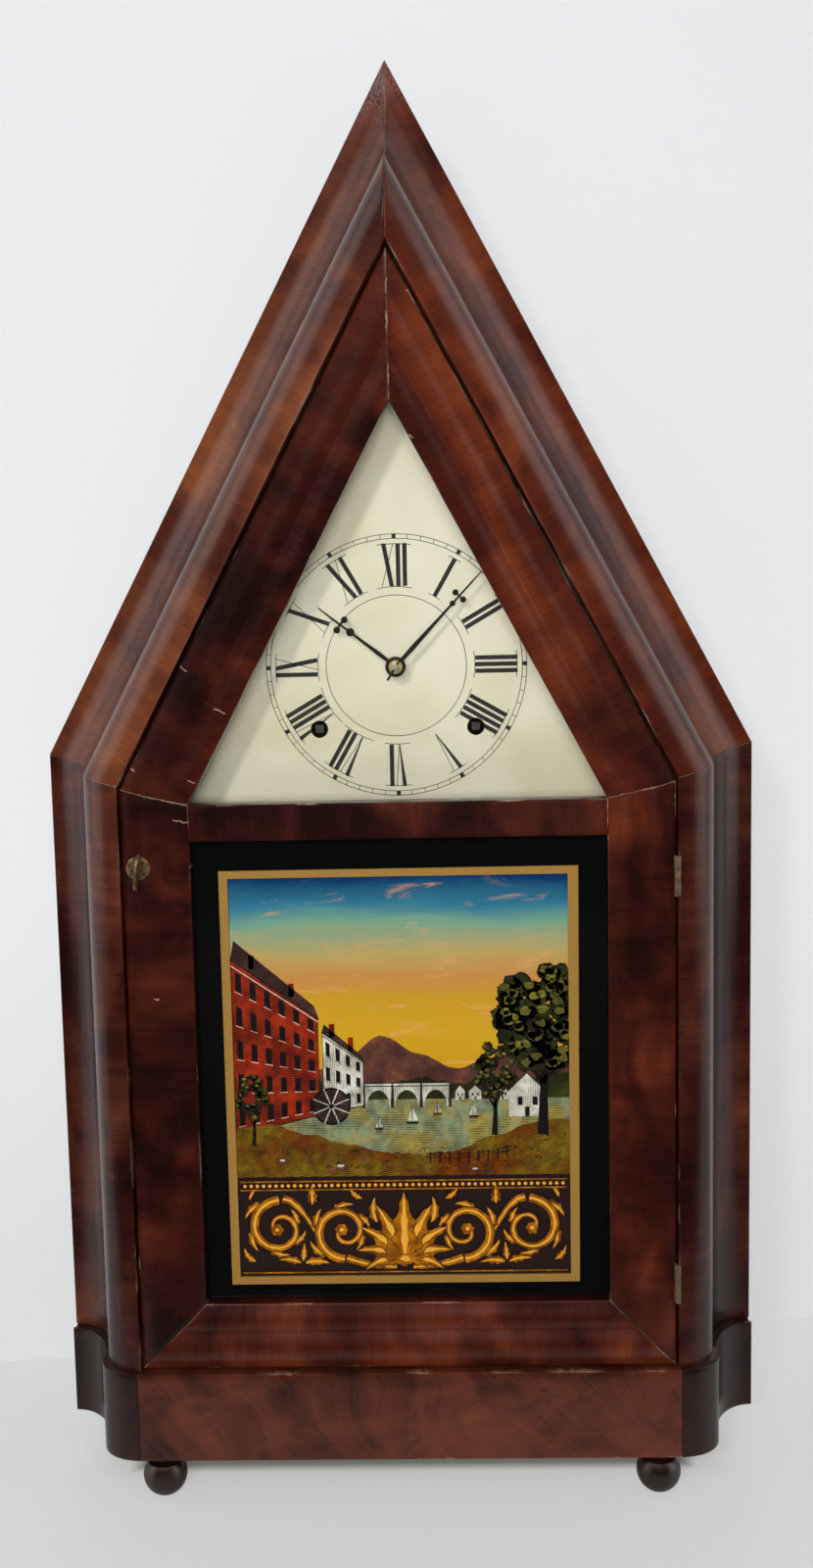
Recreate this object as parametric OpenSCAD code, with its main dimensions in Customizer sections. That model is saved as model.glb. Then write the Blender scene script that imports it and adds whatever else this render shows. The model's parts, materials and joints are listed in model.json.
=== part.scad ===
// Steeple clock in a pointed mahogany case, with a glazed door, an enamelled
// dial, an eight-day time and strike movement, a pendulum and a wire gong.
// Units are millimetres. X runs to the viewer's right, Y away from the viewer
// and Z up. The origin lies on the floor under the middle of the case.
// Depths are measured back from the plane of the door's face.

/* [Case] */
// Width of the door opening in the front frame
opening_w = 257.2; // [230:0.2:300]
// Height of the vertical side of the opening above the base
opening_side_h = 282.4; // [240:0.2:340]
// Slope of the roof from the horizontal
roof_angle = 61.9; // [56:0.1:66]
// Depth from the door's face to the back of the case
case_depth = 120; // [114:1:160]
// Thickness of the side and roof boards
board_t = 9; // [6:0.5:12]
// Thickness of the backboard
back_t = 8; // [5:0.5:8]
// Thickness of the floor board
floor_t = 9; // [6:0.5:12]
// How far the boards stand in from the edge of the moulding
board_inset = 1.5; // [1:0.5:4]

/* [Front moulding] */
// Width of the ogee moulding
mould_w = 43; // [36:0.5:50]
// Depth of the ogee from its front arris to its outer arris
mould_d = 51.8; // [40:0.2:52.4]
// Width of the round front half of the ogee
bead_w = 18.8; // [14:0.2:24]
// Depth of the round front half of the ogee
bead_d = 18.2; // [12:0.2:24]
// Thickness of the outer edge of the moulding
mould_edge = 5; // [3:0.5:6]

/* [Base] */
// Height of the base
base_h = 43.7; // [34:0.1:56]
// How much wider the flat front of the base is than the door opening
base_flat_over = 2.2; // [2:0.2:5]
// How far the base stands proud of the door's face
base_proud = 2.8; // [2:0.1:6]
// Thickness of the base front board
base_t = 14; // [10:0.5:18]
// Width of the ogee corners of the base
base_mould_w = 42.3; // [41:0.1:50]
// Depth of the ogee corners of the base
base_mould_d = 49.3; // [44:0.1:52]
// Width of the round part of the base corners
base_bead_w = 20; // [15:0.5:24]
// Depth of the round part of the base corners
base_bead_d = 16.6; // [12:0.2:22]
// Thickness of the base side boards
base_side_t = 10; // [6:0.5:12]
// Height of the ball feet
foot_h = 20; // [16:0.5:28]
// Diameter of the ball feet
foot_d = 21.2; // [15:0.2:22]
// Diameter of the necks of the feet
foot_neck_d = 9; // [6:0.5:12]
// Distance of the feet from the middle, sideways
foot_x = 119.5; // [90:0.5:122]
// Distance of the front feet behind the base front
foot_front = 8; // [7:0.5:14]
// Distance of the rear feet before the back of the case
foot_back = 12; // [10:0.5:30]

/* [Door] */
// Gap between the door and the sides of the opening
door_gap = 1.1; // [0.8:0.1:1.6]
// Gap between the door and the sloping sides of the opening
roof_gap = 1.8; // [1:0.1:3]
// Gap between the door and the base
sill_gap = 0.8; // [0.5:0.1:1.5]
// Width of the stiles, rafters and bottom rail
stile_w = 30.8; // [26:0.2:36]
// Width of the middle rail
mid_rail_w = 16.8; // [14:0.2:24]
// Thickness of the door
door_t = 20; // [18:0.5:20.5]
// Width of the cushion on the outer part of the stiles
cushion_w = 18; // [12:0.5:22]
// Drop of the cushion at its edges
cushion_drop = 2.3; // [1:0.1:4]
// Drop of the stiles at the glass
sight_drop = 4.5; // [2.5:0.1:6]
// Height of the small roll next to the glass
roll_h = 1.4; // [0.6:0.1:2]
// Depth of the middle rail's face behind the door's face
mid_rail_set = 2.4; // [1:0.1:4]

/* [Glass] */
// Width of the rebates that hold the glass
rebate_w = 5; // [4:0.5:6]
// Depth of the glass behind the door's face
glass_depth = 12.2; // [10:0.2:13]
// Thickness of the glass
glass_t = 2; // [1.5:0.1:2.5]
// Thickness of the strips that hold the glass
strip_t = 3.6; // [2:0.2:4]

/* [Hinges and catch] */
// Height of the hinges
hinge_h = 18.7; // [14:0.1:24]
// Diameter of the hinge knuckles
knuckle_d = 2.8; // [2.4:0.1:3.6]
// Diameter of the hinge pins
hinge_pin_d = 1.2; // [0.8:0.1:1.4]
// Width of the hinge leaves
leaf_w = 10; // [7:0.5:14]
// Thickness of the hinge leaves
leaf_t = 0.9; // [0.6:0.1:1.2]
// Height of the lower hinge above the base
hinge_low = 32.5; // [25:0.5:60]
// Distance of the upper hinge below the shoulder of the opening
hinge_drop = 36.1; // [15:0.1:60]
// How far the hinge pins stand before the door's face
hinge_proud = 0.4; // [0.2:0.1:0.8]
// Distance of the catch from the door's outer edge
catch_in = 7.6; // [7:0.2:12]
// Distance of the catch below the shoulder of the opening
catch_drop = 37.8; // [25:0.2:80]
// Diameter of the round plate of the catch
catch_plate_d = 11; // [8:0.5:13]
// Height of the thumb piece of the catch
thumb_h = 17; // [12:0.5:22]
// Thickness of the thumb piece of the catch
thumb_t = 1.8; // [1.2:0.1:2.4]
// How far the thumb piece stands off the round plate
thumb_out = 7; // [5:0.5:9]
// Lean of the thumb piece from the vertical
thumb_lean = 6.6; // [0:0.1:10]
// Diameter of the catch spindle
spindle_d = 3; // [2:0.1:4]
// Length of the catch tongue from the spindle
tongue_l = 13; // [11.5:0.5:15]

/* [Dial and hands] */
// Height of the middle of the dial above the shoulder of the opening
dial_rise = 51.5; // [42:0.1:60]
// Depth of the dial behind the door's face
dial_depth = 39; // [37:0.5:40]
// Thickness of the dial sheet
dial_t = 1; // [0.6:0.1:1.2]
// Distance from the dial's lower edge down from its middle
dial_drop = 71.6; // [66:0.2:80]
// Diameter of the winding holes
winding_hole_d = 8.4; // [7:0.1:10]
// Diameter of the hole for the hands
hand_hole_d = 8; // [7:0.1:10]
// Length of the minute hand
minute_l = 62; // [50:0.5:66]
// Length of the hour hand
hour_l = 46.5; // [36:0.5:50]
// Position of the minute hand, clockwise from twelve
minute_angle = 43.2; // [0:0.1:360]
// Position of the hour hand, clockwise from twelve
hour_angle = 308; // [0:0.1:360]
// Thickness of the hands
hand_t = 0.7; // [0.5:0.1:1]
// Width of the hands at the middle
hand_w = 2; // [1.2:0.1:2.4]

/* [Movement] */
// Distance of the winding arbors from the middle
winding_x = 37.5; // [37:0.1:39]
// Drop of the winding arbors below the middle
winding_drop = 29.7; // [29:0.1:31]
// Distance of the front plate behind the dial's face
plate_set = 18.3; // [17:0.1:20]
// Thickness of the plates
plate_t = 1.6; // [1.2:0.1:1.8]
// Clear distance between the plates
plate_room = 30.4; // [30.4:0.1:30.8]
// Half width of the plates
plate_half = 62; // [60:0.5:63]
// Height of the plates above the middle
plate_up = 68; // [67:0.5:70]
// Depth of the plates below the middle
plate_down = 66; // [65:0.5:68]
// Diameter of the plate pillars
pillar_d = 6; // [5:0.5:7]
// Module of the great wheel teeth
great_mod = 0.75; // [0.72:0.01:0.76]
// Diameter of the winding arbors between the plates
winding_arbor_d = 6.4; // [5:0.1:6.6]
// Width of the winding squares across the flats
winding_square = 3.8; // [3:0.1:4]
// Width of the mainspring ribbons
spring_w = 19; // [15:0.5:19]
// Thickness of the mainspring ribbons
spring_t = 0.8; // [0.4:0.1:1]
// Radius of the wound mainsprings
spring_r = 23.5; // [20:0.5:24]
// Turns of the mainsprings
spring_turns = 9; // [6:1:10]

/* [Pendulum] */
// Distance of the pendulum from the middle, to the left
pendulum_left = 9; // [8.5:0.1:9.5]
// Length of the pendulum from its bend to the middle of the bob
pendulum_l = 278; // [240:1:290]
// Diameter of the bob
bob_d = 52; // [40:1:60]
// Thickness of the bob
bob_t = 10; // [6:0.5:14]
// Diameter of the pendulum rod
rod_d = 1.6; // [1.2:0.1:1.8]
// Distance of the pendulum rod behind the dial's face
rod_set = 5; // [4.5:0.1:6]

/* [Gong and hammer] */
// Height of the middle of the gong above the base
gong_rise = 76; // [60:1:100]
// Outer radius of the gong
gong_r = 38; // [38:0.5:39]
// Turns of the gong wire
gong_turns = 4; // [3:0.5:5]
// Thickness of the gong wire
gong_wire = 2.6; // [1.5:0.1:3]
// Distance of the gong wire before the backboard
gong_stand = 14.4; // [12:0.2:16]
// Diameter of the hammer head
hammer_d = 7; // [5:0.5:9]
// Length of the hammer head
hammer_l = 9; // [7:0.5:12]
// Gap between the hammer head and the gong at rest
hammer_gap = 0.8; // [0.3:0.1:1]

/* [Fits] */
// Running clearance of turning pieces, on the radius
run_fit = 0.05; // [0.03:0.01:0.08]
// Clearance of fixed pieces in their holes and rebates
seat_fit = 0.1; // [0.05:0.05:0.2]
// Clearance between pieces that move past each other
pass_fit = 0.3; // [0.2:0.05:0.4]

/* [Hidden] */
$fn = 64;
// Heights above the floor
base_top = foot_h + base_h;
shoulder_z = base_top + opening_side_h;
dial_z = shoulder_z + dial_rise;
hinge_zs = [base_top + hinge_low, shoulder_z - hinge_drop - hinge_h];
catch_at = shoulder_z - catch_drop;
// The catch stands furthest forward, and the backboard furthest back
thumb_front = 1 + thumb_out;
front_y = -(case_depth - thumb_front) / 2;
// Half widths of the opening and of the boards
half_w = opening_w / 2;
base_flat_w = opening_w + base_flat_over;
board_out = mould_w - board_inset;
board_in = board_out - board_t;
mould_back = mould_d + mould_edge;
rise = tan(roof_angle);
peak_z = shoulder_z + half_w * rise;
EPS = 0.01;
// Points in each quarter of an ogee
OGEE_STEPS = 10;

// Depths of the layers of the movement
plate_depth = dial_depth + plate_set;
rod_depth = dial_depth + rod_set;
plate_back = plate_depth + plate_t;
back_plate_depth = plate_back + plate_room;
back_plate_back = back_plate_depth + plate_t;
great_layer = plate_back + 1.9;
great_t = 2;
ratchet_layer = great_layer + great_t + 0.5;
ratchet_t = 1.5;
ratchet_root_r = 10;
ratchet_tip_r = 11.4;
spring_layer = ratchet_layer + ratchet_t + 0.9;
rear_layer = back_plate_depth - 2.6;
wheel_t = 1.3;
leaf_over = 1;
centre_in = 10.4;
pin_in = 14.4;
third_in = 18.4;
warning_in = 21.4;
centre_layer = plate_back + centre_in;
pin_layer = plate_back + pin_in;
third_layer = plate_back + third_in;
warning_layer = plate_back + warning_in;
escape_layer = plate_depth - 4.5;
minute_layer = plate_depth - 3;
hour_layer = plate_depth - 6.4;
count_layer = plate_back + 0.3;
count_t = 1;

// Tooth counts of the time train and of the motion work
GREAT_TEETH = 72;
SECOND_LEAVES = 12;
SECOND_TEETH = 48;
CENTRE_LEAVES = 24;
CENTRE_TEETH = 72;
THIRD_LEAVES = 8;
THIRD_TEETH = 72;
ESCAPE_LEAVES = 8;
ESCAPE_TEETH = 42;
CANNON_LEAVES = 12;
MINUTE_TEETH = 36;
MINUTE_LEAVES = 10;
HOUR_TEETH = 40;
// Tooth counts of the strike train
STRIKE_TEETH = 52;
PIN_LEAVES = 8;
PIN_TEETH = 48;
WARNING_LEAVES = 8;
WARNING_TEETH = 48;
FLY_LEAVES = 8;
RATCHET_TEETH = 16;
COUNT_SLOTS = 11;
// Modules
second_mod = 0.6;
centre_mod = 0.52;
third_mod = 0.5;
strike_mod = 0.55;
pin_mod = 0.5;
warning_mod = 0.45;
cannon_mod = 0.6;
hour_mod = cannon_mod * (CANNON_LEAVES + MINUTE_TEETH) / (MINUTE_LEAVES + HOUR_TEETH);
mesh_slack = 0.15;

function reach(teeth, leaves, mod) = (teeth + leaves) / 2 * mod + mesh_slack;
function polar(r, a) = [r * cos(a), r * sin(a)];
function heading(a, b) = atan2(b.y - a.y, b.x - a.x);
// The point at distance ra from a and rb from b, on the left of the way from a to b
function meet(a, ra, b, rb) =
    let (d = norm(b - a), s = (ra * ra - rb * rb + d * d) / (2 * d))
    a + polar(s, heading(a, b)) + polar(sqrt(ra * ra - s * s), heading(a, b) + 90);

// Arbor places, from the middle of the dial
CENTRE = [0, 0];
GREAT = [winding_x, -winding_drop];
great_reach = reach(GREAT_TEETH, SECOND_LEAVES, great_mod);
second_reach = reach(SECOND_TEETH, CENTRE_LEAVES, second_mod);
SECOND = meet(CENTRE, second_reach, GREAT, great_reach);
third_reach = reach(CENTRE_TEETH, THIRD_LEAVES, centre_mod);
THIRD = polar(third_reach, 85);
escape_reach = reach(THIRD_TEETH, ESCAPE_LEAVES, third_mod);
escape_across = THIRD.x + pendulum_left;
ESCAPE = [-pendulum_left, THIRD.y + sqrt(pow(escape_reach, 2) - pow(escape_across, 2))];
escape_r = 16;
pallet_span = 32;
VERGE = ESCAPE + [0, escape_r / cos(pallet_span)];
MINUTE = polar(reach(MINUTE_TEETH, CANNON_LEAVES, cannon_mod), -45);
STRIKE_GREAT = [-winding_x, -winding_drop];
STRIKE_SECOND = STRIKE_GREAT + polar(great_reach, 75);
PIN = STRIKE_SECOND + polar(reach(STRIKE_TEETH, PIN_LEAVES, strike_mod), 60);
WARNING = PIN + polar(reach(PIN_TEETH, WARNING_LEAVES, pin_mod), 110);
FLY = WARNING + polar(reach(WARNING_TEETH, FLY_LEAVES, warning_mod), 100);
LEVER = STRIKE_GREAT + [-19.5, 23.7];
HAMMER = [-gong_r - hammer_gap - hammer_l / 2, 5 - plate_down];
pillar_in = 16;
low_pillar_in = 6;
PILLARS = [
    [plate_half - pillar_in, plate_up - 8],
    [pillar_in - plate_half, plate_up - 8],
    [plate_half - low_pillar_in, low_pillar_in - plate_down],
    [low_pillar_in - plate_half, low_pillar_in - plate_down]];
SMALL_ARBORS = [SECOND, THIRD, STRIKE_SECOND, PIN, WARNING, FLY, LEVER];
arbor_r = 1.2;
pivot_r = 0.7;
fly_arbor_r = 0.9;
centre_r = 1.5;
hand_arbor_r = 1.4;
hammer_pivot_r = 0.9;
hammer_wire_r = 0.9;
stud_r = 1;
winding_pivot_r = 2.5;

// Rails that carry the movement, and their screws
rail_h = 15;
rail_l = 120;
tab_out = 15;
tab_w = 12;
tab_x = 46;
TAB_ZS = [plate_up + tab_out - 7, 7 - plate_down - tab_out];
screw_r = 1.3;
screw_head_r = 3;
screw_head_h = 1.8;
screw_l = 10;

// Dial cleats and dial screws
cleat_w = 9;
cleat_back = 12;
cleat_below_peak = 67.2;
cleat_top = peak_z - cleat_below_peak;
cleat_screw_in = 7;
cleat_screw_drop = 40;
DIAL_SCREW_ZS = [dial_z - dial_drop + cleat_screw_in, cleat_top - cleat_screw_drop];

// Gong
gong_z = base_top + gong_rise;
gong_post_r = 5;
gong_foot_w = 18;
gong_foot_h = 46;
gong_foot_t = 6;
gong_foot_depth = case_depth - back_t - gong_foot_t;
gong_depth = case_depth - back_t - gong_stand - gong_wire;
GONG_SCREWS = [17, -17];

// Place of a piece at depth d behind the door's face
function at_depth(d) = front_y + d;
// Height of the shoulder of an outline that lies a inside the opening's sides and p inside its slopes
function shoulder_at(a, p) = shoulder_z - (p - a * sin(roof_angle)) / cos(roof_angle);
function peak_at(p) = peak_z - p / cos(roof_angle);
// Half width at height z of the slope that lies p inside the opening's slope
function slope_x(z, p) = (peak_at(p) - z) / rise;
function door_x(a) = half_w - door_gap - a;
function door_shoulder(a) = shoulder_at(door_gap + a, roof_gap + a);
function door_peak(a) = peak_at(roof_gap + a);
door_bottom = base_top + sill_gap;
mid_top = door_shoulder(stile_w);
mid_bottom = mid_top - mid_rail_w;
sight_bottom = door_bottom + stile_w;

// An ogee from its front arris to its outer arris: a round half, then a hollow half
function ogee(w, d, round_w, round_d) = concat(
    [for (i = [0:OGEE_STEPS]) let (t = 90 * i / OGEE_STEPS)
        [round_w * sin(t), round_d * (1 - cos(t))]],
    [for (i = [1:OGEE_STEPS]) let (t = 90 * i / OGEE_STEPS)
        [w - (w - round_w) * cos(t), round_d + (d - round_d) * sin(t)]]);

// Depth of the door's face at distance a from the outer edge of a stile
function face_at(a) = a < cushion_w
    ? cushion_drop * (1 - sin(180 * a / cushion_w))
    : let (s = (a - cushion_w) / (stile_w - cushion_w))
        cushion_drop + s * (sight_drop - cushion_drop) - roll_h * sin(180 * s);
FACE_STEPS = 24;
function door_section() = concat(
    [for (i = [0:FACE_STEPS]) let (a = stile_w * i / FACE_STEPS) [a, face_at(a)]],
    [[stile_w, glass_depth], [stile_w - rebate_w, glass_depth],
        [stile_w - rebate_w, door_t], [0, door_t]]);

// A flat spiral ribbon that grows from r0 to r1 and ends at angle last
function spiral_r(r0, r1, s) = r0 + (r1 - r0) * s;
function spiral(r0, r1, turns, last, wire, steps) = concat(
    [for (i = [0:steps]) let (s = i / steps)
        polar(spiral_r(r0, r1, s) + wire / 2, last - 360 * turns * (1 - s))],
    [for (i = [steps:-1:0]) let (s = i / steps)
        polar(spiral_r(r0, r1, s) - wire / 2, last - 360 * turns * (1 - s))]);

// Shapes drawn in X and Z, from depth d for a thickness t
module slab(d, t) {
    translate([0, at_depth(d + t), 0])
        rotate([90, 0, 0])
            linear_extrude(t) children();
}

// A round bar along Y
module bar(place, d0, d1, r) {
    translate([place.x, at_depth(d0), place.y])
        rotate([-90, 0, 0])
            cylinder(h = d1 - d0, r = r);
}

module move_bar(place, d0, d1, r) {
    bar([place.x, dial_z + place.y], d0, d1, r);
}

module on_dial(place) {
    translate([place.x, dial_z + place.y]) children();
}

// A many-sided disc with straight sides
module disc(r, sides = 36) {
    polygon([for (i = [0:sides - 1]) polar(r, 360 * i / sides)]);
}

module left_twin() {
    mirror([1, 0, 0]) children();
}

// The screws share one form: a domed head at depth d and a plain shank
module screw(x, z, d) {
    bar([x, z], d - EPS, d + screw_l, screw_r);
    intersection() {
        bar([x, z], d - screw_head_h, d, screw_head_r);
        translate([x, at_depth(d + screw_head_r - screw_head_h), z]) sphere(screw_head_r * 1.18);
    }
}

module screw_hole(x, z, d0, d1) {
    bar([x, z], d0 - EPS, d1 + EPS, screw_r + run_fit);
}

// Case boards
module backboard() {
    color("#5a3a24") difference() {
        slab(case_depth - back_t, back_t) polygon([
            [-half_w - board_in, foot_h],
            [half_w + board_in, foot_h],
            [half_w + board_in, shoulder_at(-board_in, -board_in)],
            [0, peak_at(-board_in)],
            [-half_w - board_in, shoulder_at(-board_in, -board_in)]]);
        for (dz = GONG_SCREWS) screw_hole(0, gong_z + dz, case_depth - back_t, case_depth - back_t + 6);
    }
}

module side_board() {
    slab(mould_back, case_depth - mould_back) polygon([
        [half_w + board_in, base_top],
        [half_w + board_out, base_top],
        [half_w + board_out, shoulder_at(-board_out, -board_out)],
        [half_w + board_in, shoulder_at(-board_in, -board_in)]]);
}

module side_boards() {
    color("#4a2416") {
        side_board();
        left_twin() side_board();
    }
}

module roof_board() {
    slab(mould_back, case_depth - mould_back) polygon([
        [half_w + board_in, shoulder_at(-board_in, -board_in)],
        [half_w + board_out, shoulder_at(-board_out, -board_out)],
        [seat_fit, peak_at(-board_out) - seat_fit * rise],
        [seat_fit, peak_at(-board_in) - seat_fit * rise]]);
}

module roof_boards() {
    color("#4a2416") {
        roof_board();
        left_twin() roof_board();
    }
}

corner_back = base_mould_d - base_proud + 2.2;

module floor_board() {
    inner = base_flat_w / 2;
    outer = half_w + board_in;
    color("#6b4a30")
        translate([0, 0, foot_h])
            linear_extrude(floor_t) polygon([
                [-inner, at_depth(base_t - base_proud)],
                [inner, at_depth(base_t - base_proud)],
                [inner, at_depth(corner_back)],
                [outer, at_depth(corner_back)],
                [outer, at_depth(case_depth - back_t)],
                [-outer, at_depth(case_depth - back_t)],
                [-outer, at_depth(corner_back)],
                [-inner, at_depth(corner_back)]]);
}

// Front moulding
module ogee_bar(length) {
    linear_extrude(length) polygon(concat(
        [for (p = ogee(mould_w, mould_d, bead_w, bead_d)) [p.x, at_depth(p.y)]],
        [[mould_w, at_depth(mould_back)], [0, at_depth(mould_back)]]));
}

module side_moulding_blank() {
    intersection() {
        translate([half_w, 0, base_top]) ogee_bar(opening_side_h + mould_w);
        slab(-EPS, mould_back + 2 * EPS) polygon([
            [half_w, base_top],
            [half_w + mould_w, base_top],
            [half_w + mould_w, shoulder_at(-mould_w, -mould_w)],
            [half_w, shoulder_z]]);
    }
}

module roof_moulding_blank() {
    long = norm([half_w + mould_w, peak_at(-mould_w) - shoulder_z]) + 2 * mould_w;
    intersection() {
        translate([half_w, 0, shoulder_z])
            rotate([0, roof_angle - 90, 0])
                translate([0, 0, -mould_w]) ogee_bar(long);
        slab(-EPS, mould_back + 2 * EPS) polygon([
            [half_w, shoulder_z],
            [half_w + mould_w, shoulder_at(-mould_w, -mould_w)],
            [0, peak_at(-mould_w)],
            [0, peak_z]]);
    }
}

module right_side_moulding() {
    color("#5c1f12") difference() {
        side_moulding_blank();
        for (z = hinge_zs) {
            hinge_relief(z);
            case_leaf_mortise(z);
        }
    }
}

// The catch tongue sweeps through this slot when it turns
tongue_depth = door_t + pass_fit;
tongue_t = 1.5;
tongue_w = 4;
module tongue_slot() {
    slab(tongue_depth - pass_fit, tongue_t + 2 * pass_fit)
        translate([half_w - EPS, catch_at - tongue_w / 2 - 1])
            square([catch_axis_x() + tongue_l + pass_fit - half_w + 0.5, tongue_l + tongue_w / 2 + 1]);
}

module left_side_moulding() {
    color("#5c1f12") left_twin() difference() {
        side_moulding_blank();
        tongue_slot();
    }
}

module right_roof_moulding() {
    color("#64241a") roof_moulding_blank();
}

module left_roof_moulding() {
    color("#64241a") left_twin() roof_moulding_blank();
}

// Base
module base_front() {
    color("#6a2a1a")
        translate([-base_flat_w / 2, at_depth(-base_proud), foot_h])
            cube([base_flat_w, base_t, base_h]);
}

// Each side of the base is one run: the ogee corner, then the side board behind it
module base_side() {
    side_in = half_w + board_in;
    linear_extrude(base_h) {
        translate([base_flat_w / 2, 0]) polygon(concat(
            [for (p = ogee(base_mould_w, base_mould_d, base_bead_w, base_bead_d))
                [p.x, at_depth(p.y - base_proud)]],
            [[base_mould_w, at_depth(corner_back)], [0, at_depth(corner_back)]]));
        translate([side_in, at_depth(corner_back - EPS)])
            square([base_side_t, case_depth - corner_back + EPS]);
    }
}

module base_sides() {
    color("#3a2320") translate([0, 0, foot_h]) {
        base_side();
        left_twin() base_side();
    }
}

module ball_foot() {
    ball_z = foot_d / 2 - 0.5;
    intersection() {
        translate([0, 0, ball_z]) sphere(d = foot_d);
        cylinder(h = foot_h, r = foot_d);
    }
    translate([0, 0, ball_z]) cylinder(h = foot_h - ball_z, d = foot_neck_d);
}

module ball_feet() {
    color("#2e1512")
        for (side = [-1, 1], y = [at_depth(foot_front - base_proud), at_depth(case_depth - foot_back)])
            translate([side * foot_x, y, 0]) ball_foot();
}

// Door frame
module door_bar(length) {
    linear_extrude(length) polygon([for (p = door_section()) [-p.x, at_depth(p.y)]]);
}

module stile_blank() {
    intersection() {
        translate([door_x(0), 0, door_bottom]) door_bar(door_shoulder(0) - door_bottom);
        slab(-EPS, door_t + 2 * EPS) polygon([
            [door_x(0), door_bottom],
            [door_x(0), door_shoulder(0)],
            [door_x(stile_w), door_shoulder(stile_w)],
            [door_x(stile_w), sight_bottom]]);
    }
}

module rafter_blank() {
    long = norm([door_x(0), door_peak(0) - door_shoulder(0)]) + 2 * stile_w;
    intersection() {
        translate([door_x(0), 0, door_shoulder(0)])
            rotate([0, roof_angle - 90, 0])
                translate([0, 0, -stile_w]) door_bar(long);
        slab(-EPS, door_t + 2 * EPS) polygon([
            [door_x(0), door_shoulder(0)],
            [0, door_peak(0)],
            [0, door_peak(stile_w)],
            [door_x(stile_w), door_shoulder(stile_w)]]);
    }
}

module right_stile() {
    color("#5a1c10") difference() {
        stile_blank();
        for (z = hinge_zs) {
            hinge_relief(z);
            door_leaf_mortise(z);
        }
    }
}

module left_stile() {
    color("#5a1c10") difference() {
        left_twin() stile_blank();
        bar([-catch_axis_x(), catch_at], -1, door_t + 1, spindle_d / 2 + run_fit);
    }
}

module right_rafter() {
    color("#6a2414") rafter_blank();
}

module left_rafter() {
    color("#6a2414") left_twin() rafter_blank();
}

module bottom_rail() {
    color("#6e2a18") intersection() {
        translate([-door_x(0), 0, door_bottom])
            rotate([90, 0, 90])
                linear_extrude(2 * door_x(0))
                    polygon([for (p = door_section()) [at_depth(p.y), p.x]]);
        slab(-EPS, door_t + 2 * EPS) polygon([
            [-door_x(0), door_bottom],
            [door_x(0), door_bottom],
            [door_x(stile_w), sight_bottom],
            [-door_x(stile_w), sight_bottom]]);
    }
}

module mid_rail() {
    x = door_x(stile_w);
    lap = rebate_w - seat_fit;
    color("#7a3a24") {
        slab(mid_rail_set, glass_depth - mid_rail_set)
            translate([-x, mid_bottom]) square([2 * x, mid_rail_w]);
        slab(glass_depth - EPS, door_t - glass_depth + EPS)
            translate([-x, mid_bottom + rebate_w])
                square([2 * x, mid_rail_w - 2 * rebate_w]);
        // Its ends lie in the rebates of the stiles
        slab(glass_depth, door_t - glass_depth)
            translate([-x - lap, mid_bottom + rebate_w])
                square([2 * (x + lap), mid_rail_w - 2 * rebate_w]);
    }
}

// Glass, and the strips that hold it in its rebates
glass_lap = rebate_w - seat_fit;

module pane(lap) {
    x = door_x(stile_w) + lap;
    translate([-x, sight_bottom - lap]) square([2 * x, mid_bottom - sight_bottom + 2 * lap]);
}

module gable(lap) {
    x = door_x(stile_w - lap);
    polygon([
        [-x, mid_top - lap],
        [x, mid_top - lap],
        [x, door_shoulder(stile_w - lap)],
        [0, door_peak(stile_w - lap)],
        [-x, door_shoulder(stile_w - lap)]]);
}

module tablet_glass() {
    color("#203040") slab(glass_depth, glass_t) pane(glass_lap);
}

module dial_glass() {
    color("#c8d8d8") slab(glass_depth, glass_t) gable(glass_lap);
}

module glazing_strips() {
    color("#4a2416") slab(glass_depth + glass_t, strip_t) {
        difference() {
            pane(glass_lap);
            pane(0.6);
        }
        difference() {
            gable(glass_lap);
            gable(0.6);
        }
    }
}

// Hinges
hinge_x = half_w - door_gap / 2;
knuckle_r = knuckle_d / 2;
knuckle_gap = 0.2;
leaf_start = 1.6;

module hinge_relief(z) {
    translate([hinge_x, at_depth(-hinge_proud), z - pass_fit])
        cylinder(h = hinge_h + 2 * pass_fit, r = knuckle_r + pass_fit);
}

module case_leaf_mortise(z) {
    translate([half_w - EPS, at_depth(-1), z - seat_fit])
        cube([leaf_t + EPS, 1 + leaf_start + leaf_w + seat_fit, hinge_h + 2 * seat_fit]);
}

module door_leaf_mortise(z) {
    translate([door_x(0) - leaf_t, at_depth(-1), z - seat_fit])
        cube([leaf_t + EPS, 1 + leaf_start + leaf_w + seat_fit, hinge_h + 2 * seat_fit]);
}

module knuckle(z, h) {
    translate([hinge_x, at_depth(-hinge_proud), z]) cylinder(h = h, r = knuckle_r);
}

module pin_bore(z) {
    translate([hinge_x, at_depth(-hinge_proud), z - 1])
        cylinder(h = hinge_h + 2, r = hinge_pin_d / 2 + run_fit);
}

// A thin web from the leaf to its knuckle
module case_web(z, h) {
    translate([hinge_x + knuckle_r - leaf_t, at_depth(-hinge_proud), z])
        cube([half_w + leaf_t - hinge_x - knuckle_r + leaf_t, hinge_proud + leaf_start + EPS, h]);
}

module door_web(z, h) {
    translate([door_x(0) - leaf_t, at_depth(-hinge_proud), z])
        cube([hinge_x - knuckle_r + leaf_t - door_x(0) + leaf_t, hinge_proud + leaf_start + EPS, h]);
}

third = hinge_h / 3;

module hinge_case_leaves() {
    color("#b08a48") for (z = hinge_zs) difference() {
        union() {
            translate([half_w, at_depth(leaf_start), z]) cube([leaf_t, leaf_w, hinge_h]);
            for (part_z = [z, z + 2 * third + knuckle_gap]) {
                knuckle(part_z, third - knuckle_gap);
                case_web(part_z, third - knuckle_gap);
            }
        }
        pin_bore(z);
    }
}

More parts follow.
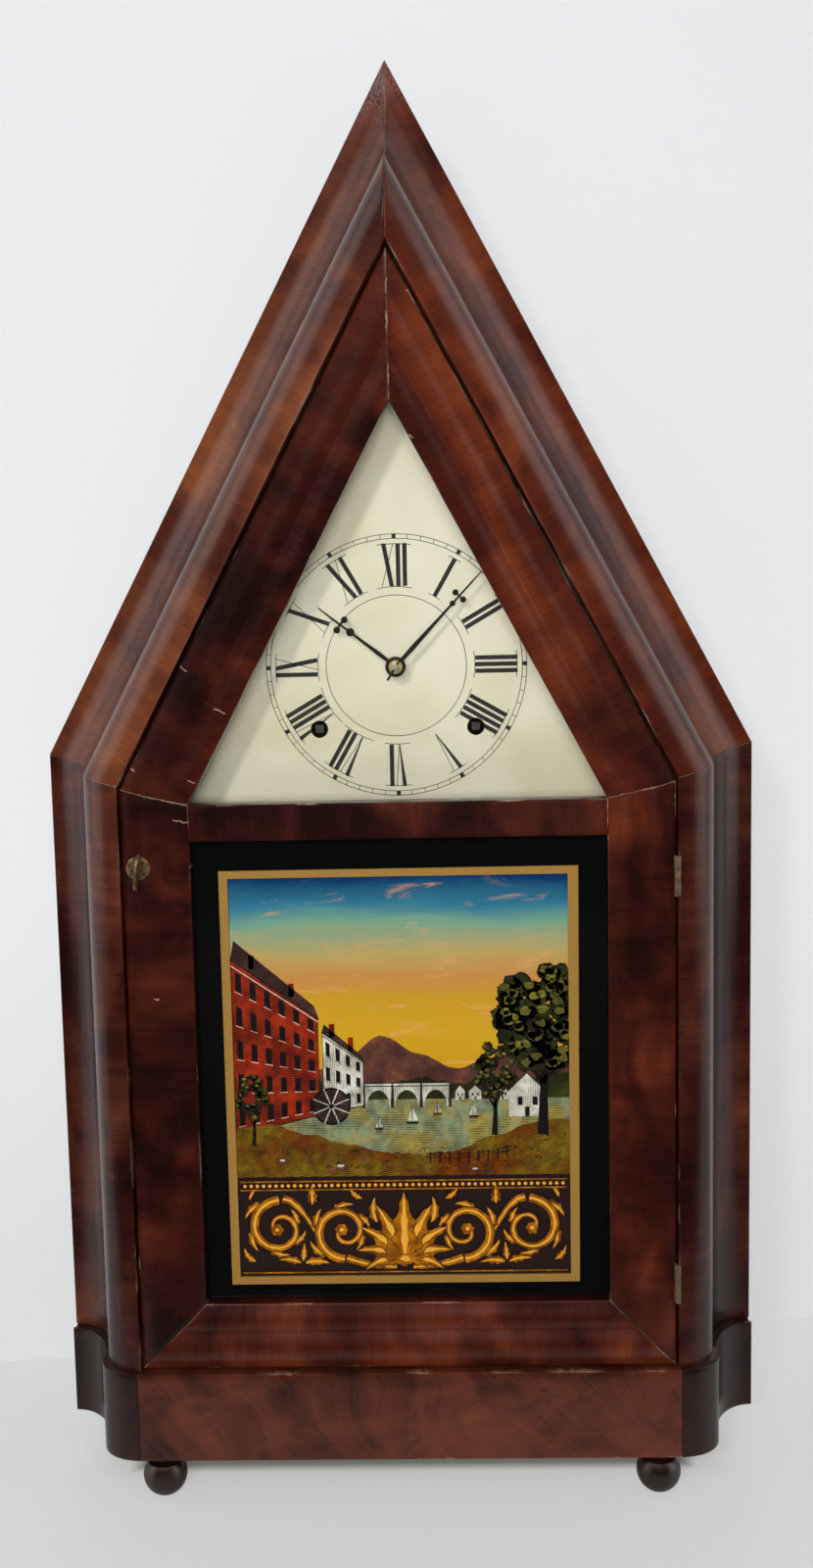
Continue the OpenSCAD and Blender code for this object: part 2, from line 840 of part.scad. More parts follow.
module hinge_door_leaves() {
    color("#b08a48") for (z = hinge_zs) difference() {
        union() {
            translate([door_x(0) - leaf_t, at_depth(leaf_start), z]) cube([leaf_t, leaf_w, hinge_h]);
            knuckle(z + third, third);
            door_web(z + third, third);
        }
        pin_bore(z);
    }
}

module hinge_pins() {
    color("#8a8a88") for (z = hinge_zs)
        translate([hinge_x, at_depth(-hinge_proud), z])
            cylinder(h = hinge_h, r = hinge_pin_d / 2);
}

// Catch: a thumb piece and plate in front, a spindle, and a tongue behind the door
function catch_axis_x() = door_x(0) - catch_in;

module catch_turn() {
    place = [-catch_axis_x(), catch_at];
    color("#b89858") {
        bar(place, -1, tongue_depth + tongue_t, spindle_d / 2);
        bar(place, -1, -pass_fit, catch_plate_d / 2);
        translate([place.x, at_depth(-thumb_front), place.y])
            rotate([0, thumb_lean, 0])
                intersection() {
                    translate([-thumb_t / 2, 0, -thumb_h / 2]) cube([thumb_t, thumb_out + EPS, thumb_h]);
                    translate([0, thumb_out, 0]) rotate([0, 90, 0])
                        cylinder(h = thumb_h, r = thumb_h / 2, center = true);
                }
        slab(tongue_depth, tongue_t) translate(place)
            translate([-tongue_w / 2, -tongue_w / 2]) square([tongue_w, tongue_l + tongue_w / 2]);
    }
}

// Dial, its cleats and the screws
// The opening of the front frame from the base up, drawn in by a
module opening_outline(a) {
    polygon([
        [a - half_w, base_top],
        [half_w - a, base_top],
        [half_w - a, shoulder_at(a, a)],
        [0, peak_at(a)],
        [a - half_w, shoulder_at(a, a)]]);
}

module dial_outline() {
    intersection() {
        opening_outline(0.5);
        translate([-half_w, dial_z - dial_drop]) square([2 * half_w, peak_z - dial_z + dial_drop]);
    }
}

module dial() {
    color("#e6dfc6") difference() {
        slab(dial_depth, dial_t) dial_outline();
        move_bar(CENTRE, dial_depth - 1, dial_depth + 2, hand_hole_d / 2);
        for (place = [GREAT, STRIKE_GREAT])
            move_bar(place, dial_depth - 1, dial_depth + 2, winding_hole_d / 2);
        for (place = dial_screws()) screw_hole(place.x, place.y, dial_depth, dial_depth + dial_t);
    }
}

function dial_screws() = [for (side = [-1, 1], z = DIAL_SCREW_ZS)
    [side * (min(half_w, slope_x(z, 0)) - cleat_w / 2), z]];

module cleat() {
    slab(dial_depth + dial_t, cleat_back) intersection() {
        difference() {
            opening_outline(0);
            opening_outline(cleat_w);
        }
        translate([0, dial_z - dial_drop]) square([half_w, cleat_top - dial_z + dial_drop]);
    }
}

module dial_cleats() {
    color("#7a5a3a") difference() {
        union() {
            cleat();
            left_twin() cleat();
        }
        for (place = dial_screws())
            screw_hole(place.x, place.y, dial_depth + dial_t, dial_depth + screw_l);
    }
}

function tab_screws() = [for (side = [-1, 1], dz = TAB_ZS) [side * tab_x, dial_z + dz]];

module wood_screws() {
    color("#9a9a94") {
        for (place = dial_screws()) screw(place.x, place.y, dial_depth);
        for (place = tab_screws()) screw(place.x, place.y, back_plate_depth);
        for (dz = GONG_SCREWS) screw(0, gong_z + dz, gong_foot_depth);
    }
}

module movement_rails() {
    color("#7a5a3a") difference() {
        for (dz = TAB_ZS)
            slab(back_plate_back, case_depth - back_t - back_plate_back)
                translate([-rail_l / 2, dial_z + dz - rail_h / 2]) square([rail_l, rail_h]);
        for (place = tab_screws())
            screw_hole(place.x, place.y, back_plate_back, back_plate_depth + screw_l);
    }
}

// Movement plates
window_w = 16;
window_h = 34;
window_drop = 58;
module plate_outline() {
    difference() {
        translate([-plate_half, -plate_down]) square([2 * plate_half, plate_down + plate_up]);
        translate([-window_w / 2, -window_drop]) square([window_w, window_h]);
    }
}

module front_plate() {
    post_w = 5;
    post_z = VERGE.y + 3.2;
    color("#c8a050") {
        difference() {
            slab(plate_depth, plate_t) translate([0, dial_z]) plate_outline();
            plate_holes(plate_depth);
            move_bar(ESCAPE, plate_depth - 1, plate_back + 1, arbor_r + run_fit);
            for (place = PILLARS) move_bar(place, plate_depth - 1, plate_back + 1, 1.5 + seat_fit);
        }
        // Studs for the verge and for the minute wheel
        move_bar(VERGE, escape_layer - 3.7, plate_depth + EPS, stud_r);
        move_bar(MINUTE, hour_layer - 1.4, plate_depth + EPS, stud_r);
        // Post that holds the suspension spring above the verge
        slab(rod_depth - 2, plate_depth - rod_depth + 2 + EPS) on_dial([VERGE.x - post_w / 2, post_z])
            square([post_w, 4.6]);
        slab(rod_depth - 2, 4) on_dial([VERGE.x - post_w / 2, VERGE.y])
            square([post_w, post_z - VERGE.y + EPS]);
    }
}

module plate_holes(d) {
    for (place = [GREAT, STRIKE_GREAT]) move_bar(place, d - 1, d + plate_t + 1, winding_pivot_r + run_fit);
    for (place = SMALL_ARBORS) move_bar(place, d - 1, d + plate_t + 1, pivot_r + run_fit);
    move_bar(HAMMER, d - 1, d + plate_t + 1, hammer_pivot_r + run_fit);
    move_bar(CENTRE, d - 1, d + plate_t + 1, centre_r + run_fit);
}

module back_plate() {
    color("#c8a050") difference() {
        slab(back_plate_depth, plate_t) translate([0, dial_z]) {
            plate_outline();
            for (side = [-1, 1]) {
                translate([side * tab_x - tab_w / 2, -plate_down - tab_out]) square([tab_w, tab_out + EPS]);
                translate([side * tab_x - tab_w / 2, plate_up - EPS]) square([tab_w, tab_out + EPS]);
            }
        }
        plate_holes(back_plate_depth);
        move_bar(ESCAPE, back_plate_depth - 1, back_plate_back + 1, pivot_r + run_fit);
        for (place = tab_screws())
            screw_hole(place.x, place.y, back_plate_depth, back_plate_back);
    }
}

module plate_pillars() {
    color("#b8903c") for (place = PILLARS) {
        move_bar(place, plate_back, back_plate_depth, pillar_d / 2);
        move_bar(place, plate_depth - 4, plate_back + EPS, 1.5);
    }
}

module pillar_nuts() {
    color("#8a8a84") for (place = PILLARS)
        difference() {
            slab(plate_depth - 3, 3) on_dial(place) circle(r = 3.6, $fn = 6);
            move_bar(place, plate_depth - 5, plate_depth + 1, 1.5 + run_fit);
        }
}

// Toothed wheels. The first tooth, or the first space of a pinion, points along aim
function tooth_ring(teeth, mod, aim, tip, root) =
    let (pitch = 360 / teeth, r = teeth * mod / 2)
    [for (i = [0:teeth - 1], c = [[-0.29, -root], [-0.1, tip], [0.1, tip], [0.29, -root]])
        polar(r + c[1] * mod, aim + pitch * (i + c[0]))];

module teeth_of(teeth, mod, aim) {
    polygon(tooth_ring(teeth, mod, aim, 0.85, 1.15));
}

module leaves_of(leaves, mod, aim) {
    polygon(tooth_ring(leaves, mod, aim + 180 / leaves, 0.7, 1.2));
}

// A crossed-out wheel with arms, bored to fit an arbor of radius bore
module crossed_wheel(teeth, mod, aim, bore, arms = 4) {
    rim = teeth * mod / 2 - 1.15 * mod - 2;
    hub = 4.2;
    difference() {
        teeth_of(teeth, mod, aim);
        disc((bore + 0.01) / cos(15), 12);
        difference() {
            disc(rim);
            disc(hub);
            for (i = [0:arms - 1]) rotate(aim + i * 360 / arms) translate([0, -1.2]) square([rim + 1, 2.4]);
        }
    }
}

module pinion(leaves, mod, aim, bore) {
    difference() {
        leaves_of(leaves, mod, aim);
        disc((bore + 0.01) / cos(15), 12);
    }
}

// A turned arbor between the plates with a pivot in each
module arbor(place, r = arbor_r) {
    move_bar(place, plate_back + pass_fit, back_plate_depth - pass_fit, r);
    move_bar(place, plate_depth, back_plate_back, pivot_r);
}

// Winding
module winding_arbor(place) {
    r = winding_arbor_d / 2;
    move_bar(place, plate_back + pass_fit, back_plate_depth - pass_fit, r);
    move_bar(place, plate_depth - 1.4, back_plate_back, winding_pivot_r);
    slab(dial_depth + dial_t + 1, plate_depth - 1.4 - dial_depth - dial_t - 1 + EPS)
        on_dial(place - [winding_square / 2, winding_square / 2]) square(winding_square);
    slab(ratchet_layer, ratchet_t) on_dial(place)
        polygon([for (i = [0:RATCHET_TEETH - 1], c = [[0, ratchet_root_r], [0.85, ratchet_tip_r]])
            polar(c[1], (i + c[0]) * 360 / RATCHET_TEETH)]);
}

module time_winding_arbor() {
    color("#a8a8a4") winding_arbor(GREAT);
}

module strike_winding_arbor() {
    color("#a8a8a4") winding_arbor(STRIKE_GREAT);
}

great_hole_at = 18.5;
great_hole_r = 3.6;
click_at = 17.5;
// A great wheel runs on its winding arbor, and carries the click and the click's rivet
module great_wheel(place, aim) {
    slab(great_layer, great_t) on_dial(place)
        difference() {
            teeth_of(GREAT_TEETH, great_mod, aim);
            circle(winding_arbor_d / 2 + run_fit);
            for (i = [0:4]) rotate(aim + 36 + i * 72) translate([great_hole_at, 0]) disc(great_hole_r, 24);
        }
    pivot = place + polar(click_at, aim);
    move_bar(pivot, great_layer + great_t - EPS, ratchet_layer + ratchet_t, 1.4);
    slab(ratchet_layer, ratchet_t) on_dial(pivot)
        rotate(aim + 90) polygon([[-2.4, -1], [0, -2.6], [2.6, 0], [1, 2.4], [-1, 5.2], [-2.6, 4.8], [-1.2, 1.6]]);
}

module time_great_wheel() {
    color("#c8a050") great_wheel(GREAT, heading(GREAT, SECOND));
}

module strike_great_wheel() {
    color("#c8a050") great_wheel(STRIKE_GREAT, heading(STRIKE_GREAT, STRIKE_SECOND));
}

// The count wheel is riveted to the strike great wheel, which turns once in twelve hours of striking
count_r = 22;
module count_wheel() {
    color("#c8a050") difference() {
        union() {
            slab(count_layer, great_layer - count_layer) on_dial(STRIKE_GREAT) disc(7);
            slab(count_layer, count_t) on_dial(STRIKE_GREAT) difference() {
                disc(count_r, 72);
                for (hour = [1:COUNT_SLOTS])
                    rotate(110 + 360 * hour * (hour + 1) / 156)
                        translate([count_r - 3, -0.6]) square([4, 1.2]);
            }
        }
        move_bar(STRIKE_GREAT, count_layer - 1, great_layer + 1, winding_arbor_d / 2 + run_fit);
    }
}

// The mainsprings' inner ends lie round the winding arbors, and their outer ends hook on the pillars
function spring_gap() = (spring_r - winding_arbor_d / 2 - 0.8) / spring_turns - spring_t;
echo(str("least gap in the mainsprings ", spring_gap()));

module mainspring(place, pillar, hand) {
    inner = winding_arbor_d / 2 + 0.4 + spring_t / 2;
    last = heading(place, pillar);
    away = norm(pillar - place);
    slab(spring_layer, spring_w) {
        on_dial(place) {
            rotate(last) mirror([0, hand, 0])
                polygon(spiral(inner, spring_r, spring_turns, 0, spring_t, 16 * spring_turns));
            rotate(last) translate([spring_r - spring_t / 2, -spring_t / 2])
                square([away - pillar_d / 2 - seat_fit - spring_r, spring_t]);
        }
        on_dial(pillar) difference() {
            disc(pillar_d / 2 + seat_fit + spring_t + 0.2, 24);
            disc(pillar_d / 2 + seat_fit + 0.05, 24);
        }
    }
}

module mainsprings() {
    color("#5c6670") {
        mainspring(GREAT, PILLARS[2], 0);
        mainspring(STRIKE_GREAT, PILLARS[3], 1);
    }
}

// Time train
module second_wheel() {
    color("#c8a050") {
        arbor(SECOND);
        slab(great_layer - leaf_over, great_t + 2 * leaf_over) on_dial(SECOND)
            pinion(SECOND_LEAVES, great_mod, heading(SECOND, GREAT), arbor_r);
        slab(rear_layer, wheel_t) on_dial(SECOND)
            crossed_wheel(SECOND_TEETH, second_mod, heading(SECOND, CENTRE), arbor_r);
    }
}

module centre_wheel() {
    color("#c8a050") {
        move_bar(CENTRE, plate_depth - 1.1, back_plate_back, centre_r);
        difference() {
            move_bar(CENTRE, minute_hand_depth - 4, plate_depth - 1.1 + EPS, hand_arbor_r);
            at_pin() cylinder(h = 6, r = pin_max_r + run_fit, center = true);
        }
        slab(rear_layer - 0.4, wheel_t + 0.8) on_dial(CENTRE)
            pinion(CENTRE_LEAVES, second_mod, heading(CENTRE, SECOND), centre_r);
        slab(centre_layer, wheel_t) on_dial(CENTRE)
            crossed_wheel(CENTRE_TEETH, centre_mod, heading(CENTRE, THIRD), centre_r);
        slab(minute_layer - 0.5, wheel_t + 0.8) on_dial(CENTRE)
            pinion(CANNON_LEAVES, cannon_mod, heading(CENTRE, MINUTE), hand_arbor_r);
    }
}

module third_wheel() {
    color("#c8a050") {
        arbor(THIRD);
        slab(centre_layer - leaf_over, wheel_t + 2 * leaf_over) on_dial(THIRD)
            pinion(THIRD_LEAVES, centre_mod, heading(THIRD, CENTRE), arbor_r);
        slab(third_layer, wheel_t) on_dial(THIRD)
            crossed_wheel(THIRD_TEETH, third_mod, heading(THIRD, ESCAPE), arbor_r);
    }
}

module escape_wheel() {
    color("#c8a050") {
        move_bar(ESCAPE, escape_layer - 0.6, back_plate_depth - pass_fit, arbor_r);
        move_bar(ESCAPE, back_plate_depth - 1, back_plate_back, pivot_r);
        slab(third_layer - leaf_over, wheel_t + 2 * leaf_over) on_dial(ESCAPE)
            pinion(ESCAPE_LEAVES, third_mod, heading(ESCAPE, THIRD), arbor_r);
        slab(escape_layer, 1.2) on_dial(ESCAPE) difference() {
            polygon([for (i = [0:ESCAPE_TEETH - 1], c = [[0, 13.6], [0.1, escape_r], [0.5, 13.6]])
                polar(c[1], (i + c[0]) * 360 / ESCAPE_TEETH)]);
            disc((arbor_r + 0.01) / cos(15), 12);
            difference() {
                disc(11.6);
                disc(3.6);
                for (i = [0:3]) rotate(i * 90) translate([0, -1]) square([13, 2]);
            }
        }
    }
}

// The verge rocks on its stud. Its pallets stand just clear of the escape wheel's tips
pallet_clear = 0.9;
crutch_drop = 26;
fork_r = 0.5;
module verge() {
    inner = escape_r + pallet_clear;
    prong = rod_d / 2 + pass_fit + fork_r;
    color("#7a8088") {
        difference() {
            union() {
                move_bar(VERGE, escape_layer - 3.1, escape_layer + 1.7, 2.4);
                slab(escape_layer, 1.2) on_dial(ESCAPE) {
                    polygon(concat(
                        [for (i = [-6:6]) polar(inner + 4.4, 90 + i * (pallet_span + 4) / 6)],
                        [for (i = [6:-1:-6]) polar(inner + 2.8, 90 + i * (pallet_span + 4) / 6)]));
                    for (side = [-1, 1]) polygon([
                        polar(inner, 90 + side * (pallet_span + 3)),
                        polar(inner + 3.4, 90 + side * (pallet_span + 4)),
                        polar(inner + 3.4, 90 + side * pallet_span),
                        polar(inner, 90 + side * pallet_span)]);
                }
                slab(escape_layer - 2.9, 1.2) on_dial(VERGE) {
                    translate([-0.8, -crutch_drop - 1]) square([1.6, crutch_drop]);
                    translate([-prong - fork_r, -crutch_drop - 1]) square([2 * (prong + fork_r), 2]);
                }
                for (side = [-1, 1])
                    move_bar(VERGE + [side * prong, -crutch_drop], rod_depth - 1.6, escape_layer - 2, fork_r);
            }
            move_bar(VERGE, escape_layer - 5, plate_depth, stud_r + run_fit);
        }
    }
}

// Pendulum: the suspension spring and rod, the bob and its nut
pendulum_x = -pendulum_left;
bend_z = dial_z + VERGE.y;
bob_z = bend_z - pendulum_l;
nut_h = 5;
bob_slot = 0.1;

module pendulum_rod() {
    spring_l = 20;
    color("#b09858") {
        slab(rod_depth - 1.9, 3.8)
            translate([pendulum_x - 0.15, bend_z - spring_l]) square([0.3, spring_l - pass_fit]);
        translate([pendulum_x, at_depth(rod_depth), bob_z - bob_d / 2 - nut_h - 4])
            cylinder(h = pendulum_l - spring_l + 1 + bob_d / 2 + nut_h + 4, d = rod_d);
    }
}

// Half section of a bob: two domes over an upright edge, each dome in DOME_STEPS chords
DOME_STEPS = 8;
bob_edge = 4;
function lens(r, rise) = let (ball = (r * r + rise * rise) / (2 * rise), top = asin(r / ball)) concat(
    [for (i = [0:DOME_STEPS]) let (a = top * i / DOME_STEPS)
        [ball * sin(a), bob_edge / 2 + rise - ball * (1 - cos(a))]],
    [for (i = [DOME_STEPS:-1:0]) let (a = top * i / DOME_STEPS)
        [ball * sin(a), ball * (1 - cos(a)) - rise - bob_edge / 2]]);

module pendulum_bob() {
    color("#c8a050") translate([pendulum_x, at_depth(rod_depth), bob_z]) difference() {
        rotate([90, 0, 0]) rotate_extrude() polygon(lens(bob_d / 2, (bob_t - bob_edge) / 2));
        translate([0, 0, -bob_d]) cylinder(h = 2 * bob_d, d = rod_d + 2 * bob_slot);
    }
}

module rating_nut() {
    color("#b8903c") translate([pendulum_x, at_depth(rod_depth), bob_z - bob_d / 2 - nut_h]) difference() {
        cylinder(h = nut_h, r = 4.5);
        translate([0, 0, -1]) cylinder(h = nut_h + 2, d = rod_d + 2 * bob_slot);
    }
}

// Motion work and hands
pipe_r = 3;
pipe_bore = 1.8;
hour_hand_depth = dial_depth - 9;
minute_hand_depth = dial_depth - 13;

module minute_wheel() {
    color("#c8a050") difference() {
        union() {
            slab(minute_layer, wheel_t) on_dial(MINUTE)
                teeth_of(MINUTE_TEETH, cannon_mod, heading(MINUTE, CENTRE));
            slab(hour_layer - 0.8, minute_layer - hour_layer + 0.8 + EPS) on_dial(MINUTE)
                leaves_of(MINUTE_LEAVES, hour_mod, heading(MINUTE, CENTRE));
        }
        move_bar(MINUTE, hour_layer - 2, plate_depth, stud_r + run_fit);
    }
}

module hour_wheel() {
    color("#c8a050") {
        slab(hour_layer, wheel_t) on_dial(CENTRE) difference() {
            teeth_of(HOUR_TEETH, hour_mod, heading(CENTRE, MINUTE));
            circle(pipe_bore);
        }
        difference() {
            move_bar(CENTRE, hour_hand_depth - 0.3, hour_layer + EPS, pipe_r);
            move_bar(CENTRE, hour_hand_depth - 2, hour_layer + 1, pipe_bore);
        }
    }
}

// A slim hand that points up, with a boss, a long taper and three small balls
module hand(length, ball_at, boss) {
    circle(boss);
    polygon([[-hand_w / 2, 0], [-0.4, length - 2], [0, length], [0.4, length - 2], [hand_w / 2, 0]]);
    translate([0, ball_at + 4.4]) circle(1.9);
    for (side = [-1, 1]) translate([side * 2.7, ball_at]) circle(2.1);
    translate([-2.7, ball_at - 0.6]) square([5.4, 1.2]);
}

module hour_hand() {
    color("#1c1c22") difference() {
        union() {
            slab(hour_hand_depth, hand_t) on_dial(CENTRE)
                rotate(-hour_angle) hand(hour_l, hour_l - 16, pipe_r + 1.6);
            move_bar(CENTRE, hour_hand_depth, hour_hand_depth + 1.6, pipe_r + 1.2);
        }
        move_bar(CENTRE, hour_hand_depth - 1, hour_hand_depth + 2, pipe_r + 0.02);
    }
}

module minute_hand() {
    color("#1c1c22") difference() {
        union() {
            slab(minute_hand_depth, hand_t) on_dial(CENTRE)
                rotate(-minute_angle) hand(minute_l, minute_l - 17, 4.8);
            move_bar(CENTRE, minute_hand_depth, hour_hand_depth - 0.9, 2.8);
        }
        move_bar(CENTRE, minute_hand_depth - 1, hour_hand_depth, hand_arbor_r + 0.02);
    }
}

washer_r = 3.8;
washer_t = 1.4;
module hand_washer() {
    color("#c8a860") translate([0, at_depth(minute_hand_depth), dial_z])
        rotate([90, 0, 0]) rotate_extrude() difference() {
            polygon(concat(
                [[0, 0], [washer_r, 0]],
                [for (i = [1:DOME_STEPS]) let (a = 90 * i / DOME_STEPS)
                    [washer_r * cos(a), washer_t * sin(a)]]));
            square([hand_arbor_r + 0.02, washer_t + 1]);
        }
}

// A taper pin through the tip of the arbor holds the washer and the hands
pin_max_r = 0.6;
pin_l = 11;
module at_pin() {
    translate([0, at_depth(minute_hand_depth - 2.4), dial_z]) rotate([0, 30, 0]) children();
}

module taper_pin() {
    color("#8a8a88") at_pin()
        translate([0, 0, -pin_l / 2]) cylinder(h = pin_l, r1 = 0.35, r2 = pin_max_r);
}

// Strike train
module strike_second_wheel() {
    color("#c8a050") {
        arbor(STRIKE_SECOND);
        slab(great_layer - leaf_over, great_t + 2 * leaf_over) on_dial(STRIKE_SECOND)
            pinion(SECOND_LEAVES, great_mod, heading(STRIKE_SECOND, STRIKE_GREAT), arbor_r);
        slab(rear_layer, wheel_t) on_dial(STRIKE_SECOND)
            crossed_wheel(STRIKE_TEETH, strike_mod, heading(STRIKE_SECOND, PIN), arbor_r);
    }
}

module pin_wheel() {
    color("#c8a050") {
        arbor(PIN);
        slab(rear_layer - leaf_over, wheel_t + 2 * leaf_over) on_dial(PIN)
            pinion(PIN_LEAVES, strike_mod, heading(PIN, STRIKE_SECOND), arbor_r);
        slab(pin_layer, wheel_t) on_dial(PIN)
            crossed_wheel(PIN_TEETH, pin_mod, heading(PIN, WARNING), arbor_r);
        // Two pins lift the hammer, so one turn gives two blows
        for (a = [0, 180]) move_bar(PIN + polar(9.6, a), pin_layer + wheel_t - EPS, third_layer - pass_fit, 0.5);
    }
}

module warning_wheel() {
    color("#c8a050") {
        arbor(WARNING);
        slab(pin_layer - leaf_over, wheel_t + 2 * leaf_over) on_dial(WARNING)
            pinion(WARNING_LEAVES, pin_mod, heading(WARNING, PIN), arbor_r);
        slab(warning_layer, wheel_t) on_dial(WARNING)
            crossed_wheel(WARNING_TEETH, warning_mod, heading(WARNING, FLY), arbor_r);
    }
}

fly_r = 9.5;
fly_l = 12;
module fly() {
    color("#c8a050") {
        slab(warning_layer - leaf_over, wheel_t + 2 * leaf_over) on_dial(FLY)
            pinion(FLY_LEAVES, warning_mod, heading(FLY, WARNING), fly_arbor_r);
        // The vane is folded round the arbor
        union() {
            arbor(FLY, fly_arbor_r);
            slab(plate_back + 4, fly_l) on_dial(FLY)
                rotate(50) translate([-fly_r, -0.4]) square([2 * fly_r, 0.8]);
            move_bar(FLY, plate_back + 3, plate_back + 5 + fly_l, 2);
        }
    }
}

// The lever drops into the count wheel's slots and lifts as the clock strikes
module strike_lever() {
    tip = STRIKE_GREAT.x - 3.5;
    under = STRIKE_GREAT.y + sqrt(pow(count_r, 2) - pow(3.5, 2)) + 0.5;
    color("#a8a8a4") {
        arbor(LEVER);
        slab(count_layer, count_t) on_dial([LEVER.x, under]) square([tip - LEVER.x, 2.4]);
    }
}

module hammer() {
    wire_depth = gong_depth + gong_wire / 2;
    elbow = plate_back + plate_room / 2;
    turn_z = dial_z - plate_down - tab_out - 5;
    x = HAMMER.x;
    color("#a8a8a4") {
        move_bar(HAMMER, plate_back + pass_fit, back_plate_depth - pass_fit, 1.6);
        move_bar(HAMMER, plate_depth, back_plate_back, hammer_pivot_r);
        // The wire leaves the arbor downwards, then runs back to the gong below the movement's rail
        translate([x, at_depth(elbow), turn_z])
            cylinder(h = dial_z + HAMMER.y - turn_z, r = hammer_wire_r);
        bar([x, turn_z], elbow, wire_depth, hammer_wire_r);
        translate([x, at_depth(wire_depth), gong_z]) cylinder(h = turn_z - gong_z, r = hammer_wire_r);
        translate([x - hammer_l / 2, at_depth(wire_depth), gong_z])
            rotate([0, 90, 0]) cylinder(h = hammer_l, r = hammer_d / 2);
    }
}

// Gong
function gong_pitch() = (gong_r - gong_post_r - gong_wire) / gong_turns;
echo(str("least gap in the gong ", gong_pitch() - gong_wire));

module gong() {
    color("#4a5260") translate([0, at_depth(gong_depth + gong_wire), gong_z])
        rotate([90, 0, 0]) linear_extrude(gong_wire)
            polygon(spiral(gong_post_r + gong_wire / 2, gong_r - gong_wire / 2, gong_turns, 180,
                gong_wire, 24 * gong_turns));
}

module gong_block() {
    color("#2c2c2e") difference() {
        union() {
            bar([0, gong_z], gong_depth - 1, gong_foot_depth + EPS, gong_post_r);
            slab(gong_foot_depth, gong_foot_t) translate([-gong_foot_w / 2, gong_z - gong_foot_h / 2])
                square([gong_foot_w, gong_foot_h]);
        }
        for (dz = GONG_SCREWS) screw_hole(0, gong_z + dz, gong_foot_depth, gong_foot_depth + gong_foot_t);
    }
}

backboard();
side_boards();
roof_boards();
floor_board();
left_side_moulding();
right_side_moulding();
left_roof_moulding();
right_roof_moulding();
base_front();
base_sides();
ball_feet();
left_stile();
right_stile();
left_rafter();
right_rafter();
mid_rail();
bottom_rail();
dial_glass();
tablet_glass();
glazing_strips();
hinge_case_leaves();
hinge_door_leaves();
hinge_pins();
catch_turn();
dial();
dial_cleats();
wood_screws();
movement_rails();
front_plate();
back_plate();
plate_pillars();
pillar_nuts();
mainsprings();
time_winding_arbor();
time_great_wheel();
second_wheel();
centre_wheel();
third_wheel();
escape_wheel();
verge();
pendulum_rod();
pendulum_bob();
rating_nut();
minute_wheel();
hour_wheel();
hour_hand();
minute_hand();
hand_washer();
taper_pin();
strike_winding_arbor();
strike_great_wheel();
count_wheel();
strike_second_wheel();
pin_wheel();
warning_wheel();
fly();
strike_lever();
hammer();
gong();
gong_block();
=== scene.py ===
"""Dresses the steeple clock: veneered case, glazed door, painted tablet, dial, hands and brass movement."""

from __future__ import annotations

import json
import logging
import math
import random
from dataclasses import dataclass
from enum import Enum, IntEnum
from typing import Callable, Optional, Sequence

import bmesh
import bpy
from mathutils import Matrix, Vector

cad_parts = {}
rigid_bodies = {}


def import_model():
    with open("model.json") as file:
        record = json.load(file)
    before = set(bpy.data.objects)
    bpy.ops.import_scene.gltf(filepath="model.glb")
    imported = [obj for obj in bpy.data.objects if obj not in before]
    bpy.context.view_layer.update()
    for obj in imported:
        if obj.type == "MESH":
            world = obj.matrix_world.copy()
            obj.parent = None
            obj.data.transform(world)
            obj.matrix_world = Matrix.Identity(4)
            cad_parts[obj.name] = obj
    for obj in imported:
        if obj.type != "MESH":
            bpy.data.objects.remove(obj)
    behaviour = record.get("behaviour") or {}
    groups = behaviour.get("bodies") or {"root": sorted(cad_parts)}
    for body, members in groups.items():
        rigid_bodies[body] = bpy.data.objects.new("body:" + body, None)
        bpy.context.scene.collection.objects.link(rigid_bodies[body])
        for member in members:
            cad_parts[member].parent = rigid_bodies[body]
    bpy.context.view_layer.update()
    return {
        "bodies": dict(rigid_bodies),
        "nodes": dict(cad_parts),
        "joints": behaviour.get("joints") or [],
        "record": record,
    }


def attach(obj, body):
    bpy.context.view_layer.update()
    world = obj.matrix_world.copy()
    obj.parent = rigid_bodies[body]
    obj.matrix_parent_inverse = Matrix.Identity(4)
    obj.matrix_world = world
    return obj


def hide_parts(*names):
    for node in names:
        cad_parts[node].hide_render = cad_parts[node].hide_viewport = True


LOG = logging.getLogger("steeple_clock")

MM = 0.001
FRONT_Y = -56.0
Point2 = tuple[float, float]
Colour = tuple[float, float, float]
Width = float | Callable[[float], float]
AWAY = Vector((0, 1, 0))
UP = Vector((0, 0, 1))
OGEE_STEPS = 22
RING_STEPS = 180
WEAR_REACH = 3.0
BAR_ANGLE = 28


# Small tools


def colour(red: int, green: int, blue: int) -> Colour:
    """Turns a colour as seen on a screen into scene values.

    Args:
        red: Red from 0 to 255.
        green: Green from 0 to 255.
        blue: Blue from 0 to 255.

    Returns:
        The linear red, green and blue.
    """

    def one(value: int) -> float:
        """Linear value of one channel."""
        share = value / 255
        return share / 12.92 if share <= 0.04045 else ((share + 0.055) / 1.055) ** 2.4

    return one(red), one(green), one(blue)


def place(x: float, depth: float, z: float) -> Vector:
    """A point in metres from millimetres across, behind the door's face and above the floor."""
    return Vector((x * MM, (FRONT_Y + depth) * MM, z * MM))


def polar(radius: float, degrees: float) -> Point2:
    """A point at a radius and an angle clockwise from the top."""
    turn = math.radians(degrees)
    return radius * math.sin(turn), radius * math.cos(turn)


def area(shape: Sequence[Point2]) -> float:
    """Signed area of an outline, positive when it runs anticlockwise.

    Args:
        shape: Corners, across and up, in millimetres.

    Returns:
        The area in square millimetres.
    """
    return 0.5 * sum(
        shape[i - 1][0] * shape[i][1] - shape[i][0] * shape[i - 1][1] for i in range(len(shape))
    )


